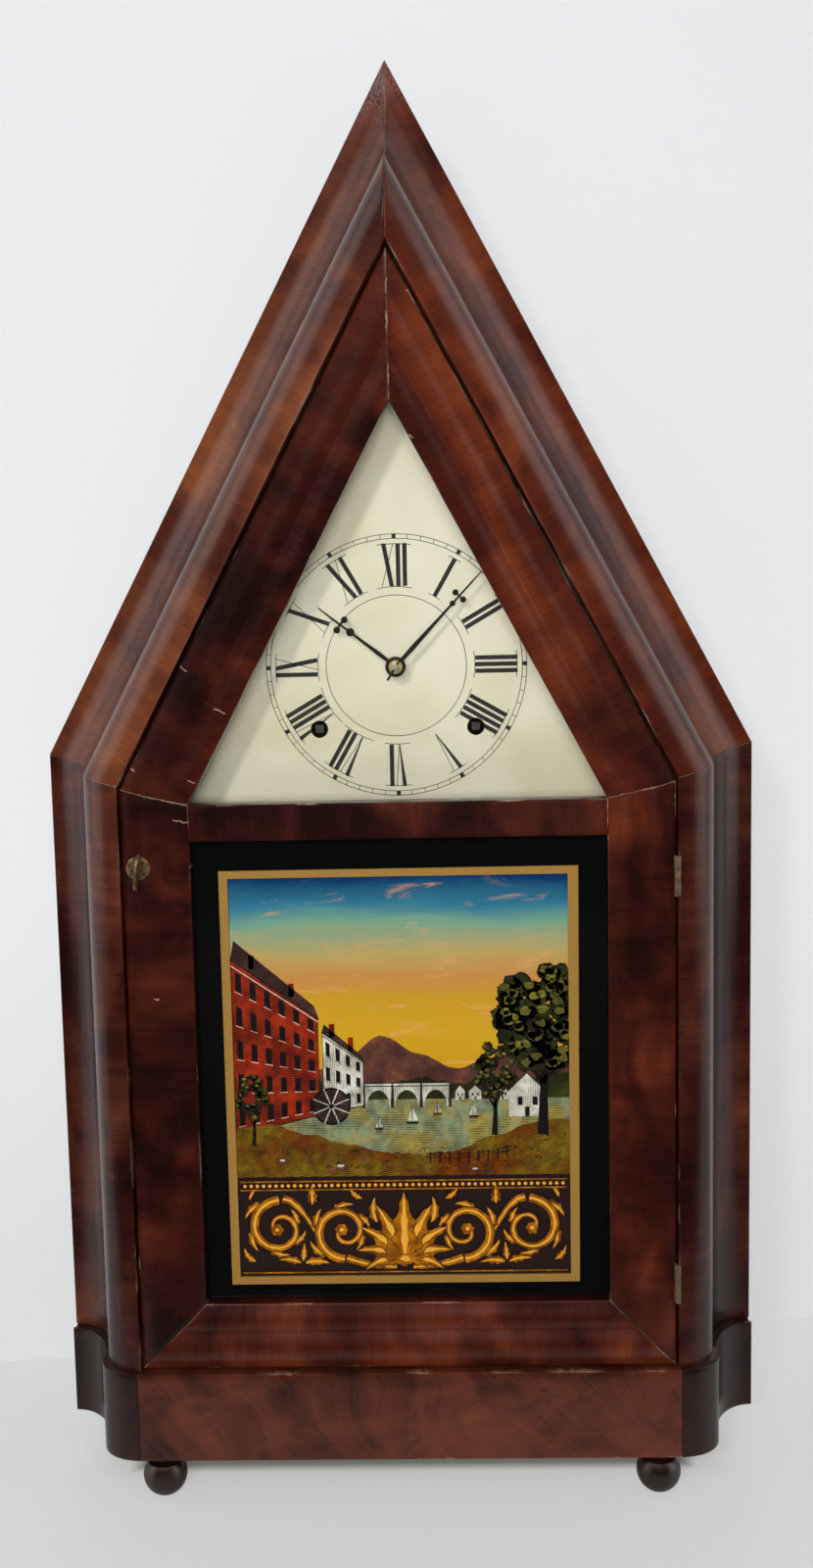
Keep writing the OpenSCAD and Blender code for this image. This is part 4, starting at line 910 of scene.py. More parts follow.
class Finishes:
    """All the finishes of the clock, each made once."""

    def __init__(self) -> None:
        """Makes every material."""
        brown = {"body": colour(68, 30, 20), "warm": colour(92, 46, 27), "flame": colour(120, 66, 36)}
        self.side_veneer = Veneer(
            "mahogany_side_veneer", seed=3.1, tone=-0.02, patch=0.05, worn=0.5, run=1.3, **brown
        ).build()
        self.side_veneer_right = Veneer(
            "mahogany_side_veneer_right", seed=8.4, tone=-0.03, patch=0.055, worn=0.5, run=1.3, **brown
        ).build()
        self.roof_veneer = Veneer(
            "mahogany_roof_veneer", seed=5.7, tone=0.07, patch=0.05, worn=1.0, run=1.3, tip=642, **brown
        ).build()
        self.roof_veneer_right = Veneer(
            "mahogany_roof_veneer_right", seed=12.9, tone=0.055, patch=0.05, worn=1.0, run=1.3, tip=650
        ).build()
        self.stile_veneer = Veneer(
            "mahogany_stile_veneer", seed=1.7, tone=-0.05, patch=0.04,
            cracks=((-99, 329, 5, -16), (-96.6, 308, 1.2, 70), (-114, 246, 1.5, -10)),
        ).build()
        self.stile_veneer_right = Veneer(
            "mahogany_stile_veneer_right", seed=6.2, tone=-0.01, patch=0.045, run=1.4
        ).build()
        self.rafter_veneer = Veneer(
            "mahogany_rafter_veneer", seed=2.3, tone=-0.045, patch=0.045, cracks=(
                (-80, 380, 3.4, -28), (-94.3, 347.7, 2, -31), (-121.5, 354, 2, -32), (-96.5, 400, 3, -37),
                (-35.4, 522.2, 2.8, 8), (-101, 335.6, 6, -15), *OPEN_MITRE,
            ),
        ).build()
        self.rafter_veneer_right = Veneer(
            "mahogany_rafter_veneer_right", seed=9.5, tone=0.03, patch=0.06, run=1.9, worn=1.5,
            cracks=((10.9, 564.9, 2.6, 29), (9.7, 501.5, 1.6, -40), *OPEN_MITRE)
        ).build()
        self.rail_veneer = Veneer("mahogany_rail_veneer", seed=4.4, tone=0.035, patch=0.045).build()
        self.mid_veneer = Veneer(
            "mahogany_middle_rail_veneer", seed=7.7, tone=-0.05, patch=0.035, worn=1.6
        ).build()
        self.base_veneer = FlameVeneer("mahogany_base_flame").build()
        self.corner_veneer = Veneer(
            "dark_corner_veneer", dark=colour(18, 8, 7), deep=colour(28, 13, 11), body=colour(38, 18, 14),
            warm=colour(52, 25, 19), flame=colour(70, 34, 24), seed=2.9, patch=0.03, worn=0.7, gloss=0.24,
        ).build()
        self.case_board = Board(
            "stained_case_board", colour(34, 13, 10), colour(84, 34, 22), (120, 8, 8)
        ).build()
        self.back_board = Board(
            "bare_backboard", colour(78, 52, 31), colour(142, 105, 68), (40, 40, 3), 0.7, 0.0
        ).build()
        self.inner_wood = Board(
            "bare_inner_wood", colour(98, 68, 42), colour(160, 122, 82), (6, 60, 60), 0.7, 0.0
        ).build()
        self.strip_wood = Board(
            "stained_strip", colour(38, 16, 12), colour(78, 36, 24), (60, 60, 60), 0.5, 0.05
        ).build()
        self.foot_wood = Board(
            "dark_turned_wood", colour(12, 5, 4), colour(38, 13, 9), (90, 90, 200), 0.3, 0.2
        ).build()
        self.hinge_brass = Metal(
            "aged_hinge_brass", colour(128, 108, 84), colour(66, 52, 42), 0.45, 0.45, 700, 0.7
        ).build()
        self.catch_brass = Metal(
            "rubbed_catch_brass", colour(152, 128, 88), colour(70, 50, 38), 0.36, 0.75, 330, 0.75
        ).build()
        self.plate_brass = Metal(
            "satin_plate_brass", colour(188, 152, 84), colour(128, 92, 46), 0.36, 0.4, 60
        ).build()
        self.wheel_brass = Metal(
            "satin_wheel_brass", colour(196, 160, 90), colour(136, 100, 52), 0.32, 0.35, 120
        ).build()
        self.washer_brass = Metal(
            "polished_washer_brass", colour(222, 204, 128), colour(176, 152, 84), 0.26, 0.3, 500, 0.55
        ).build()
        self.bob_brass = Metal(
            "pressed_bob_brass", colour(196, 158, 88), colour(120, 84, 44), 0.3, 0.4, 50, 0.7
        ).build()
        self.steel = Metal(
            "aged_steel", colour(158, 156, 150), colour(92, 84, 76), 0.36, 0.45, 300, 0.6
        ).build()
        self.pin_steel = Metal(
            "bright_pin_steel", colour(160, 162, 168), colour(120, 116, 110), 0.35, 0.3, 300, 0.4
        ).build()
        self.arbor_steel = Metal(
            "grey_arbor_steel", colour(92, 90, 88), colour(40, 36, 34), 0.4, 0.6, 400, 0.5
        ).build()
        self.spring_steel = Metal(
            "blued_spring_steel", colour(70, 84, 104), colour(40, 42, 50), 0.35, 0.4, 120
        ).build()
        self.hand_steel = Metal(
            "blued_black_hand_steel", colour(46, 42, 37), colour(62, 54, 46), 0.4, 0.35, 500, 0.5
        ).build()
        self.gong_iron = Metal(
            "black_gong_iron", colour(30, 30, 31), colour(52, 40, 34), 0.6, 0.5, 200, 0.6
        ).build()
        self.dial_paint = DialPaint().build()
        self.dial_ink = Ink("dial_ink", colour(40, 40, 41), colour(72, 71, 68)).build()
        self.clear_glass = ClearGlass().build()
        self.black_border = Ink("tablet_black", colour(9, 9, 10), colour(12, 12, 12), 0.08, 0.3).build()


# Handing over and shaping pieces


class Body(Enum):
    """The rigid bodies that pieces ride on."""

    CASE = "case"
    DOOR = "door"
    CATCH = "catch"
    MINUTE = "minute_arbor"
    HOUR = "hour_pipe"


class Workshop:
    """Keeps the loaded frame and the finishes, and hands finished pieces over."""

    def __init__(self, frame: dict, finishes: Finishes) -> None:
        """Keeps what every sub-assembly needs.

        Args:
            frame: What the frame's loader returned.
            finishes: The materials.
        """
        self.frame = frame
        self.finish = finishes
        self.bodies = {
            node: body
            for body, members in frame["record"]["behaviour"]["bodies"].items()
            for node in members
        }
        self.slots = {s["node"]: s["material_slot"] for s in frame["record"]["subparts"]}

    def hand_over(
        self, piece: bpy.types.Object, body: str, *nodes: str, slot: Optional[str] = None
    ) -> bpy.types.Object:
        """Makes a piece ride on its body and stand for its nodes.

        Args:
            piece: The finished piece.
            body: Name of the body that it moves with.
            nodes: The nodes that it stands for.
            slot: Not used.

        Returns:
            The piece.
        """
        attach(piece, body)
        if nodes:
            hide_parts(*nodes)
        LOG.info("%s rides on %s with %d faces", piece.name, body, len(piece.data.polygons))
        return piece

    def finish_off(
        self, piece: bpy.types.Object, material: bpy.types.Material, body: Body, *nodes: str,
        bevel: float = 0.0, angle: float = BAR_ANGLE, slot: Optional[str] = None
    ) -> bpy.types.Object:
        """Dresses, eases, smooths and hands over a piece of one finish.

        Args:
            piece: The piece.
            material: Its finish.
            body: The body that it moves with.
            nodes: The nodes that it stands for.
            bevel: Width of its eased arrises in millimetres.
            angle: Edges sharper than this stay sharp, in degrees.
            slot: Passed on to hand_over.

        Returns:
            The piece.
        """
        dress(piece, material)
        if bevel:
            ease(piece, bevel)
        smooth(piece, angle)
        return self.hand_over(piece, body.value, *nodes, slot=slot)

    def refined(
        self, node: str, material: bpy.types.Material, bevel: float = 0.0,
        tip: Optional[bpy.types.Material] = None, tip_depth: float = 0.0,
    ) -> bpy.types.Object:
        """Stands a welded, smoothed copy in for a node, with its arrises eased.

        Args:
            node: The node to copy.
            material: Finish of the copy.
            bevel: Width of the eased arrises in millimetres.
            tip: Finish of the faces in front of the tip depth, where they differ.
            tip_depth: Depth of the tip behind the front of the case in millimetres.

        Returns:
            The copy.
        """
        mesh = self.frame["nodes"][node].data.copy()
        mesh.name = node + "_piece"
        work = bmesh.new()
        work.from_mesh(mesh)
        bmesh.ops.remove_doubles(work, verts=work.verts, dist=1e-6)
        bmesh.ops.dissolve_limit(work, angle_limit=math.radians(0.5), verts=work.verts, edges=work.edges)
        work.to_mesh(mesh)
        work.free()
        piece = bpy.data.objects.new(node + "_piece", mesh)
        bpy.context.scene.collection.objects.link(piece)
        dress(piece, material)
        if tip:
            piece.data.materials.append(tip)
            for face in piece.data.polygons:
                face.material_index = int(face.center.y < place(0, tip_depth, 0).y)
        if bevel:
            ease(piece, bevel)
        smooth(piece)
        return self.hand_over(piece, self.bodies[node], node)


def dress(piece: bpy.types.Object, *materials: bpy.types.Material) -> None:
    """Puts finishes on a piece in the order of its face numbers.

    Args:
        piece: The piece.
        materials: The finishes, in the order of the face numbers.
    """
    numbers = [face.material_index for face in piece.data.polygons]
    piece.data.materials.clear()
    for material in materials:
        piece.data.materials.append(material)
    if len(materials) > 1:
        piece.data.polygons.foreach_set("material_index", numbers)


def smooth(piece: bpy.types.Object, angle: float = 32.0) -> None:
    """Shades a piece smooth, with edges over the angle kept sharp."""
    piece.data.shade_smooth()
    piece.data.set_sharp_from_angle(angle=math.radians(angle))


def settle(piece: bpy.types.Object) -> None:
    """Turns a piece's modifiers into plain mesh.

    Args:
        piece: The piece with its modifiers.
    """
    bpy.context.view_layer.update()
    whole = piece.evaluated_get(bpy.context.evaluated_depsgraph_get())
    mesh = bpy.data.meshes.new_from_object(
        whole, preserve_all_data_layers=True, depsgraph=bpy.context.evaluated_depsgraph_get()
    )
    piece.modifiers.clear()
    piece.data = mesh
    mesh.name = piece.name


def ease(piece: bpy.types.Object, width: float, angle: float = 30.0) -> None:
    """Rounds the arrises of a piece by a width in millimetres.

    Args:
        piece: The piece.
        width: Width of the rounding in millimetres.
        angle: Edges sharper than this are rounded, in degrees.
    """
    bevel = piece.modifiers.new("eased_arrises", "BEVEL")
    bevel.width = width * MM
    bevel.segments = 2
    bevel.limit_method = "ANGLE"
    bevel.angle_limit = math.radians(angle)
    bevel.harden_normals = False
    settle(piece)


def cut_away(piece: bpy.types.Object, cutters: Sequence[bpy.types.Object]) -> None:
    """Cuts shapes out of a piece and removes the cutters.

    Args:
        piece: The piece to cut.
        cutters: Closed shapes, gone afterwards.
    """
    for cutter in cutters:
        cut = piece.modifiers.new("cut", "BOOLEAN")
        cut.operation = "DIFFERENCE"
        cut.solver = "EXACT"
        cut.object = cutter
    settle(piece)
    for cutter in cutters:
        bpy.data.objects.remove(cutter)


def from_bmesh(name: str, work: bmesh.types.BMesh) -> bpy.types.Object:
    """Turns a finished bmesh into an object at the origin.

    Args:
        name: Name of the object and its mesh.
        work: The bmesh, freed afterwards.

    Returns:
        The object.
    """
    mesh = bpy.data.meshes.new(name)
    work.to_mesh(mesh)
    work.free()
    piece = bpy.data.objects.new(name, mesh)
    bpy.context.scene.collection.objects.link(piece)
    return piece


def lathe(
    name: str, outline: Sequence[Point2], middle: Vector, axis: Vector, steps: int = 48
) -> bpy.types.Object:
    """Turns an outline about an axis into a closed piece.

    Args:
        name: Name of the piece.
        outline: Radii and heights in millimetres, from one end of the axis to the other.
        middle: Where height nought lies, in metres.
        axis: Direction in which the heights grow.
        steps: Number of steps round the axis.

    Returns:
        The piece.
    """
    side = axis.orthogonal().normalized()
    other = axis.cross(side).normalized()
    turns = [2 * math.pi * i / steps for i in range(steps)]
    spokes = [side * math.cos(turn) + other * math.sin(turn) for turn in turns]
    work = bmesh.new()
    rings: list[list[bmesh.types.BMVert]] = []
    for radius, height in outline:
        base = middle + axis * height * MM
        if radius < 1e-6:
            rings.append([work.verts.new(base)])
            continue
        rings.append([work.verts.new(base + spoke * radius * MM) for spoke in spokes])
    for lower, upper in zip(rings, rings[1:]):
        for i in range(steps):
            j = (i + 1) % steps
            corners = []
            for ring, index in ((lower, i), (lower, j), (upper, j), (upper, i)):
                corner = ring[index % len(ring)]
                if corner not in corners:
                    corners.append(corner)
            if len(corners) > 2:
                work.faces.new(corners)
    for ring in (rings[0], rings[-1]):
        if len(ring) > 2:
            work.faces.new(ring)
    bmesh.ops.recalc_face_normals(work, faces=work.faces)
    return from_bmesh(name, work)


def block(name: str, low: Vector, high: Vector) -> bpy.types.Object:
    """A plain box, used as a cutter.

    Args:
        name: Name of the box.
        low: Its lowest corner in metres.
        high: Its highest corner in metres.

    Returns:
        The box.
    """
    work = bmesh.new()
    bmesh.ops.create_cube(work, size=1.0)
    size = high - low
    for corner in work.verts:
        corner.co = Vector(low[i] + (corner.co[i] + 0.5) * size[i] for i in range(3))
    return from_bmesh(name, work)


# Veneered bars


def ogee(width: float, depth: float, round_w: float, round_d: float) -> list[Point2]:
    """An ogee from its front arris to its outer arris.

    Args:
        width: Width of the whole moulding.
        depth: Depth of the whole moulding.
        round_w: Width of its round half.
        round_d: Depth of its round half.

    Returns:
        Distances across and depths.
    """
    turns = [math.pi / 2 * i / OGEE_STEPS for i in range(OGEE_STEPS + 1)]
    shape = [(round_w * math.sin(turn), round_d * (1 - math.cos(turn))) for turn in turns]
    return shape + [
        (width - (width - round_w) * math.cos(turn), round_d + (depth - round_d) * math.sin(turn))
        for turn in turns[1:]
    ]


def door_face(across: float) -> float:
    """Depth of the door's face at a distance from the outer edge of a stile.

    Args:
        across: The distance in millimetres.

    Returns:
        The depth in millimetres.
    """
    s = SIZES
    if across < s.cushion_w:
        return s.cushion_drop * (1 - math.sin(math.pi * across / s.cushion_w))
    share = (across - s.cushion_w) / (s.stile_w - s.cushion_w)
    return s.cushion_drop + share * (s.sight_drop - s.cushion_drop) - s.roll_h * math.sin(math.pi * share)


@dataclass
class VeneeredBar:
    """A straight bar of one section, mitred at both ends, with its grain map and wear distances."""

    name: str
    section: list[Point2]
    arrises: list[int]
    start: Callable[[float], Point2]
    end: Callable[[float], Point2]
    reach: float = WEAR_REACH
    mitred: tuple[bool, bool] = (True, True)

    def build(self) -> bpy.types.Object:
        """Makes the bar.

        Returns:
            A closed piece at the origin.
        """
        along = Vector(self.end(0)) - Vector(self.start(0))
        along.normalize()
        runs = [0.0]
        for (a0, d0), (a1, d1) in zip(self.section, self.section[1:]):
            runs.append(runs[-1] + math.hypot(a1 - a0, d1 - d0))
        total = runs[-1] + math.dist(self.section[-1], self.section[0])
        worn = [
            min(min(abs(run - runs[k]), total - abs(run - runs[k])) for k in self.arrises) for run in runs
        ]
        work = bmesh.new()
        grain = work.loops.layers.uv.new("Grain")
        mitre = work.verts.layers.float.new("mitre")
        arris = work.verts.layers.float.new("arris")
        rings: list[list[bmesh.types.BMVert]] = []
        places: dict[bmesh.types.BMVert, tuple[float, float]] = {}
        for step in range(6):
            ring = []
            for k, (a, d) in enumerate(self.section):
                first, last = Vector(self.start(a)), Vector(self.end(a))
                length = (last - first).length
                travel = (0.0, self.reach, length / 3, 2 * length / 3, length - self.reach, length)[step]
                spot = first + along * travel
                vert = work.verts.new(place(spot.x, d, spot.y))
                vert[mitre] = (0.0 if step in (0, 5) and self.mitred[step // 5] else self.reach) * MM
                vert[arris] = min(worn[k], self.reach) * MM
                places[vert] = (spot.dot(along) * MM, runs[k] * MM)
                ring.append(vert)
            rings.append(ring)
        count = len(self.section)
        for lower, upper in zip(rings, rings[1:]):
            for k in range(count):
                j = (k + 1) % count
                face = work.faces.new((lower[k], lower[j], upper[j], upper[k]))
                for loop in face.loops:
                    u, v = places[loop.vert]
                    loop[grain].uv = (u, total * MM if j == 0 and loop.vert in (lower[0], upper[0]) else v)
        for ring in (rings[0], rings[-1]):
            face = work.faces.new(ring)
            for loop in face.loops:
                loop[grain].uv = places[loop.vert]
        bmesh.ops.recalc_face_normals(work, faces=work.faces)
        return from_bmesh(self.name, work)


# Front of the case


class Side(Enum):
    """Which side of the clock a piece lies on."""

    LEFT = -1
    RIGHT = 1


@dataclass
class CaseFront:
    """The ogee mouldings round the front, the base with its ogee ends and the turned feet."""

    shop: Workshop
    moulding_ease: float = 0.35
    base_ease: float = 0.4

    def section(self) -> tuple[list[Point2], list[int]]:
        """The moulding's section, and the places of its arrises in it.

        Returns:
            The corners, across and in depth, and the places of the arrises.
        """
        s = SIZES
        front = ogee(s.mould_w, s.mould_d, s.bead_w, s.bead_d)
        back = s.mould_d + s.mould_edge
        return front + [(s.mould_w, back), (0.0, back)], [0, len(front) - 1]

    def hinge_cutters(self) -> list[bpy.types.Object]:
        """Rounds that leave room for the hinge knuckles.

        Returns:
            One round for each hinge.
        """
        s = SIZES
        radius, top = s.knuckle_r + s.pass_fit, s.hinge_h + s.pass_fit
        outline = [(0, -s.pass_fit), (radius, -s.pass_fit), (radius, top), (0, top)]
        spots = [place(s.half_w - s.door_gap / 2, -s.hinge_proud, low) for low in s.hinge_heights()]
        return [lathe("hinge_room", outline, spot, UP, 32) for spot in spots]

    def tongue_cutter(self) -> bpy.types.Object:
        """A slot that the catch tongue turns into.

        Returns:
            The slot.
        """
        s = SIZES
        x, z = s.catch_place()
        low = place(x - s.tongue_l - 1.0, s.door_t, z - s.tongue_w / 2 - 1)
        high = place(-s.half_w + 0.5, s.door_t + s.tongue_t + 2 * s.pass_fit, z + s.tongue_l)
        return block("tongue_slot", low, high)

    def sides(self) -> None:
        """Builds the two upright mouldings."""
        s = SIZES
        section, arrises = self.section()
        for side, finish in (
            (Side.LEFT, self.shop.finish.side_veneer), (Side.RIGHT, self.shop.finish.side_veneer_right)
        ):
            sign = side.value
            bar = VeneeredBar(
                side.name.lower() + "_side_moulding_piece", section, arrises,
                lambda a: (sign * (s.half_w + a), s.base_top),
                lambda a: (sign * (s.half_w + a), s.shoulder_at(-a, -a)),
                mitred=(False, True),
            ).build()
            cut_away(bar, self.hinge_cutters() if side is Side.RIGHT else [self.tongue_cutter()])
            node = side.name.lower() + "_side_moulding"
            self.shop.finish_off(bar, finish, Body.CASE, node, bevel=self.moulding_ease)

    def roof(self) -> None:
        """Builds the two sloping mouldings."""
        s = SIZES
        section, arrises = self.section()
        for side, finish in (
            (Side.LEFT, self.shop.finish.roof_veneer), (Side.RIGHT, self.shop.finish.roof_veneer_right)
        ):
            sign = side.value
            bar = VeneeredBar(
                side.name.lower() + "_roof_moulding_piece", section, arrises,
                lambda a: (sign * (s.half_w + a), s.shoulder_at(-a, -a)),
                lambda a: (0.0, s.peak_at(-a)),
            ).build()
            node = side.name.lower() + "_roof_moulding"
            self.shop.finish_off(bar, finish, Body.CASE, node, bevel=self.moulding_ease)

    def base(self) -> None:
        """Builds the flat base front and the two ogee ends with their side boards."""
        s = SIZES
        half = s.base_flat_w / 2
        face = [(s.base_h * i / 12, -s.base_proud) for i in range(13)]
        front = face + [(s.base_h, s.base_t - s.base_proud), (0.0, s.base_t - s.base_proud)]
        bar = VeneeredBar(
            "base_front_piece", front, [0, 12],
            lambda a: (-half, s.foot_h + a),
            lambda a: (half, s.foot_h + a),
        ).build()
        veneer = self.shop.finish.base_veneer
        self.shop.finish_off(bar, veneer, Body.CASE, "base_front", bevel=self.base_ease)
        back = s.base_mould_d - s.base_proud + 2.2
        side_in = s.half_w + s.board_in
        for side in Side:
            sign = side.value
            plan = [
                (half + a, d - s.base_proud)
                for a, d in ogee(s.base_mould_w, s.base_mould_d, s.base_bead_w, s.base_bead_d)
            ]
            corner = len(plan) - 1
            outer = half + s.base_mould_w
            plan += [
                (outer, back), (side_in + s.base_side_t, back), (side_in + s.base_side_t, s.case_depth),
                (side_in, s.case_depth), (side_in, back), (half, back)
            ]
            name = side.name.lower() + "_base_end_piece"
            self.upright(name, [(sign * x, d) for x, d in plan], [0, corner])
        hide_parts("base_sides")

    def upright(self, name: str, plan: list[Point2], arrises: list[int]) -> None:
        """Stands a plan up to the height of the base, with worn top and bottom arrises.

        Args:
            name: Name of the piece.
            plan: Distances across and depths in millimetres.
            arrises: Places in the plan of its upright arrises.
        """
        s = SIZES
        runs = [0.0]
        for p, q in zip(plan, plan[1:]):
            runs.append(runs[-1] + math.dist(p, q))
        work = bmesh.new()
        grain = work.loops.layers.uv.new("Grain")
        mitre = work.verts.layers.float.new("mitre")
        arris = work.verts.layers.float.new("arris")
        heights = [0.0, 2.5, s.base_h - 2.5, s.base_h]
        rings = []
        spots = {}
        for height in heights:
            ring = []
            for k, (x, d) in enumerate(plan):
                vert = work.verts.new(place(x, d, s.foot_h + height))
                edge = min(abs(runs[k] - runs[i]) for i in arrises)
                vert[mitre] = WEAR_REACH * MM
                vert[arris] = min(WEAR_REACH, edge + 0.6, height, s.base_h - height) * MM
                spots[vert] = (runs[k] * MM, height * MM)
                ring.append(vert)
            rings.append(ring)
        count = len(plan)
        for lower, upper in zip(rings, rings[1:]):
            for k in range(count):
                j = (k + 1) % count
                face = work.faces.new((lower[k], lower[j], upper[j], upper[k]))
                for loop in face.loops:
                    loop[grain].uv = spots[loop.vert]
        for ring in (rings[0], rings[-1]):
            face = work.faces.new(ring)
            for loop in face.loops:
                loop[grain].uv = (loop.vert.co.x, loop.vert.co.y)
        bmesh.ops.recalc_face_normals(work, faces=work.faces)
        self.shop.finish_off(
            from_bmesh(name, work), self.shop.finish.corner_veneer, Body.CASE, bevel=self.base_ease,
            slot="base_corner_veneer"
        )

    def feet(self) -> None:
        """Turns one ball foot and repeats it at the four corners."""
        s = SIZES
        radius = s.foot_d / 2
        middle = radius - 0.5
        outline = [(0.0, 0.0)]
        for i in range(25):
            turn = math.radians(-71.7 + i * (71.7 + 61) / 24)
            height = middle + radius * math.sin(turn)
            outline.append((radius * math.cos(turn), max(height, 0.0)))
        outline = [p for p in outline if p[1] <= s.foot_neck_z + 0.4]
        outline += [
            (s.foot_neck_d / 2 + 0.2, s.foot_neck_z + 0.6), (s.foot_neck_d / 2, s.foot_neck_z + 1.0),
            (s.foot_neck_d / 2, s.foot_h), (0.0, s.foot_h)
        ]
        foot = lathe("turned_feet_piece", outline, Vector((0, 0, 0)), UP, 56)
        spots = [
            place(side * s.foot_x, depth, 0)
            for side in (-1, 1)
            for depth in (s.foot_front - s.base_proud, s.case_depth - s.foot_back)
        ]
        Repeats("feet_at_corners").at_points(foot, spots, self.shop.finish.foot_wood)
        smooth(foot, 40)
        self.shop.hand_over(foot, Body.CASE.value, "ball_feet")

    def build(self) -> None:
        """Builds every piece of the front of the case."""
        self.sides()
        self.roof()
        self.base()
        self.feet()


# Repeated pieces


class Repeats(Nodes):
    """Geometry Nodes that repeat a small piece round a ring, in a row or at chosen points."""

    def __init__(self, name: str) -> None:
        """Starts a tree with a geometry input and output.

        Args:
            name: Name of the tree.
        """
        super().__init__(bpy.data.node_groups.new(name, "GeometryNodeTree"))
        self.tree.interface.new_socket("Piece", in_out="INPUT", socket_type="NodeSocketGeometry")
        self.tree.interface.new_socket("Repeated", in_out="OUTPUT", socket_type="NodeSocketGeometry")
        self.given = None
        self.names: dict[str, str] = {}

    def ask(self, **kinds: str) -> bpy.types.bpy_prop_collection:
        """Opens the tree with named inputs and one for the finish.

        Args:
            kinds: Blender's names of their types, by the names of the inputs.

        Returns:
            The outputs of the tree's first node, by the names of the inputs.
        """
        for name, kind in {**kinds, "Finish": "Material"}.items():
            socket = self.tree.interface.new_socket(name, in_out="INPUT", socket_type="NodeSocket" + kind)
            self.names[name] = socket.identifier
        self.given = self.node("NodeGroupInput").outputs
        return self.given

    def end(self, instances: bpy.types.NodeSocket) -> None:
        """Ends the tree in real geometry with its finish.

        Args:
            instances: The repeated piece.
        """
        real = self.node("GeometryNodeRealizeInstances", {"Geometry": instances})
        painted = self.node(
            "GeometryNodeSetMaterial", {"Geometry": real.outputs[0], "Material": self.given["Finish"]}
        )
        self.node("NodeGroupOutput", {0: painted.outputs[0]})

    def run(self, piece: bpy.types.Object, values: dict[str, object]) -> None:
        """Runs the tree on a piece and keeps the result as plain mesh.

        Args:
            piece: The piece.
            values: Values by the names of the inputs.
        """
        repeat = piece.modifiers.new(self.tree.name, "NODES")
        repeat.node_group = self.tree
        for name, value in values.items():
            repeat[self.names[name]] = value
        settle(piece)

    def at_points(
        self, piece: bpy.types.Object, spots: Sequence[Vector], finish: bpy.types.Material
    ) -> None:
        """Repeats a piece at chosen points.

        Args:
            piece: The piece, built at the origin.
            spots: The points.
            finish: Its material.
        """
        given = self.ask()
        joined = self.node("GeometryNodeJoinGeometry")
        for spot in spots:
            moved = self.node("GeometryNodeTransform", {"Geometry": given["Piece"], "Translation": spot})
            self.tree.links.new(moved.outputs[0], joined.inputs[0])
        self.end(joined.outputs[0])
        self.run(piece, {"Finish": finish})

    def round_ring(
        self, piece: bpy.types.Object, middle: Vector, radius: float, count: int, finish: bpy.types.Material
    ) -> None:
        """Repeats a piece round a ring that faces the viewer, turned with the ring.

        Args:
            piece: The piece, built at the origin as it stands at the top of the ring.
            middle: The middle of the ring.
            radius: Its radius in metres.
            count: The number of copies.
            finish: Its material.
        """
        given = self.ask(Count="Int", Radius="Float", Middle="Vector")
        index = self.node("GeometryNodeInputIndex").outputs[0]
        turn = self.times(self.math("DIVIDE", index, given["Count"]), 2 * math.pi)
        x = self.times(self.math("SINE", turn), given["Radius"])
        z = self.times(self.math("COSINE", turn), given["Radius"])
        spot = self.node("ShaderNodeCombineXYZ", {"X": x, "Z": z}).outputs[0]
        moved = self.node("ShaderNodeVectorMath", {0: spot, 1: given["Middle"]}, operation="ADD").outputs[0]
        points = self.node("GeometryNodePoints", {"Count": given["Count"], "Position": moved})
        about = self.node("ShaderNodeCombineXYZ", {"Y": turn}).outputs[0]
        held = self.node(
            "GeometryNodeInstanceOnPoints",
            {"Points": points.outputs[0], "Instance": given["Piece"], "Rotation": about}
        )
        self.end(held.outputs[0])
        self.run(piece, {"Count": count, "Radius": radius, "Middle": middle, "Finish": finish})

    def in_row(
        self, piece: bpy.types.Object, first: Vector, step: Vector, count: int, finish: bpy.types.Material
    ) -> None:
        """Repeats a piece in a straight row.

        Args:
            piece: The piece, built at the origin.
            first: Place of the first copy.
            step: Way from one copy to the next.
            count: The number of copies.
            finish: Its material.
        """
        given = self.ask(Count="Int", First="Vector", Step="Vector")
        line = self.node(
            "GeometryNodeMeshLine",
            {"Count": given["Count"], "Start Location": given["First"], "Offset": given["Step"]}
        )
        held = self.node(
            "GeometryNodeInstanceOnPoints", {"Points": line.outputs[0], "Instance": given["Piece"]}
        )
        self.end(held.outputs[0])
        self.run(piece, {"Count": count, "First": first, "Step": step, "Finish": finish})


# Door


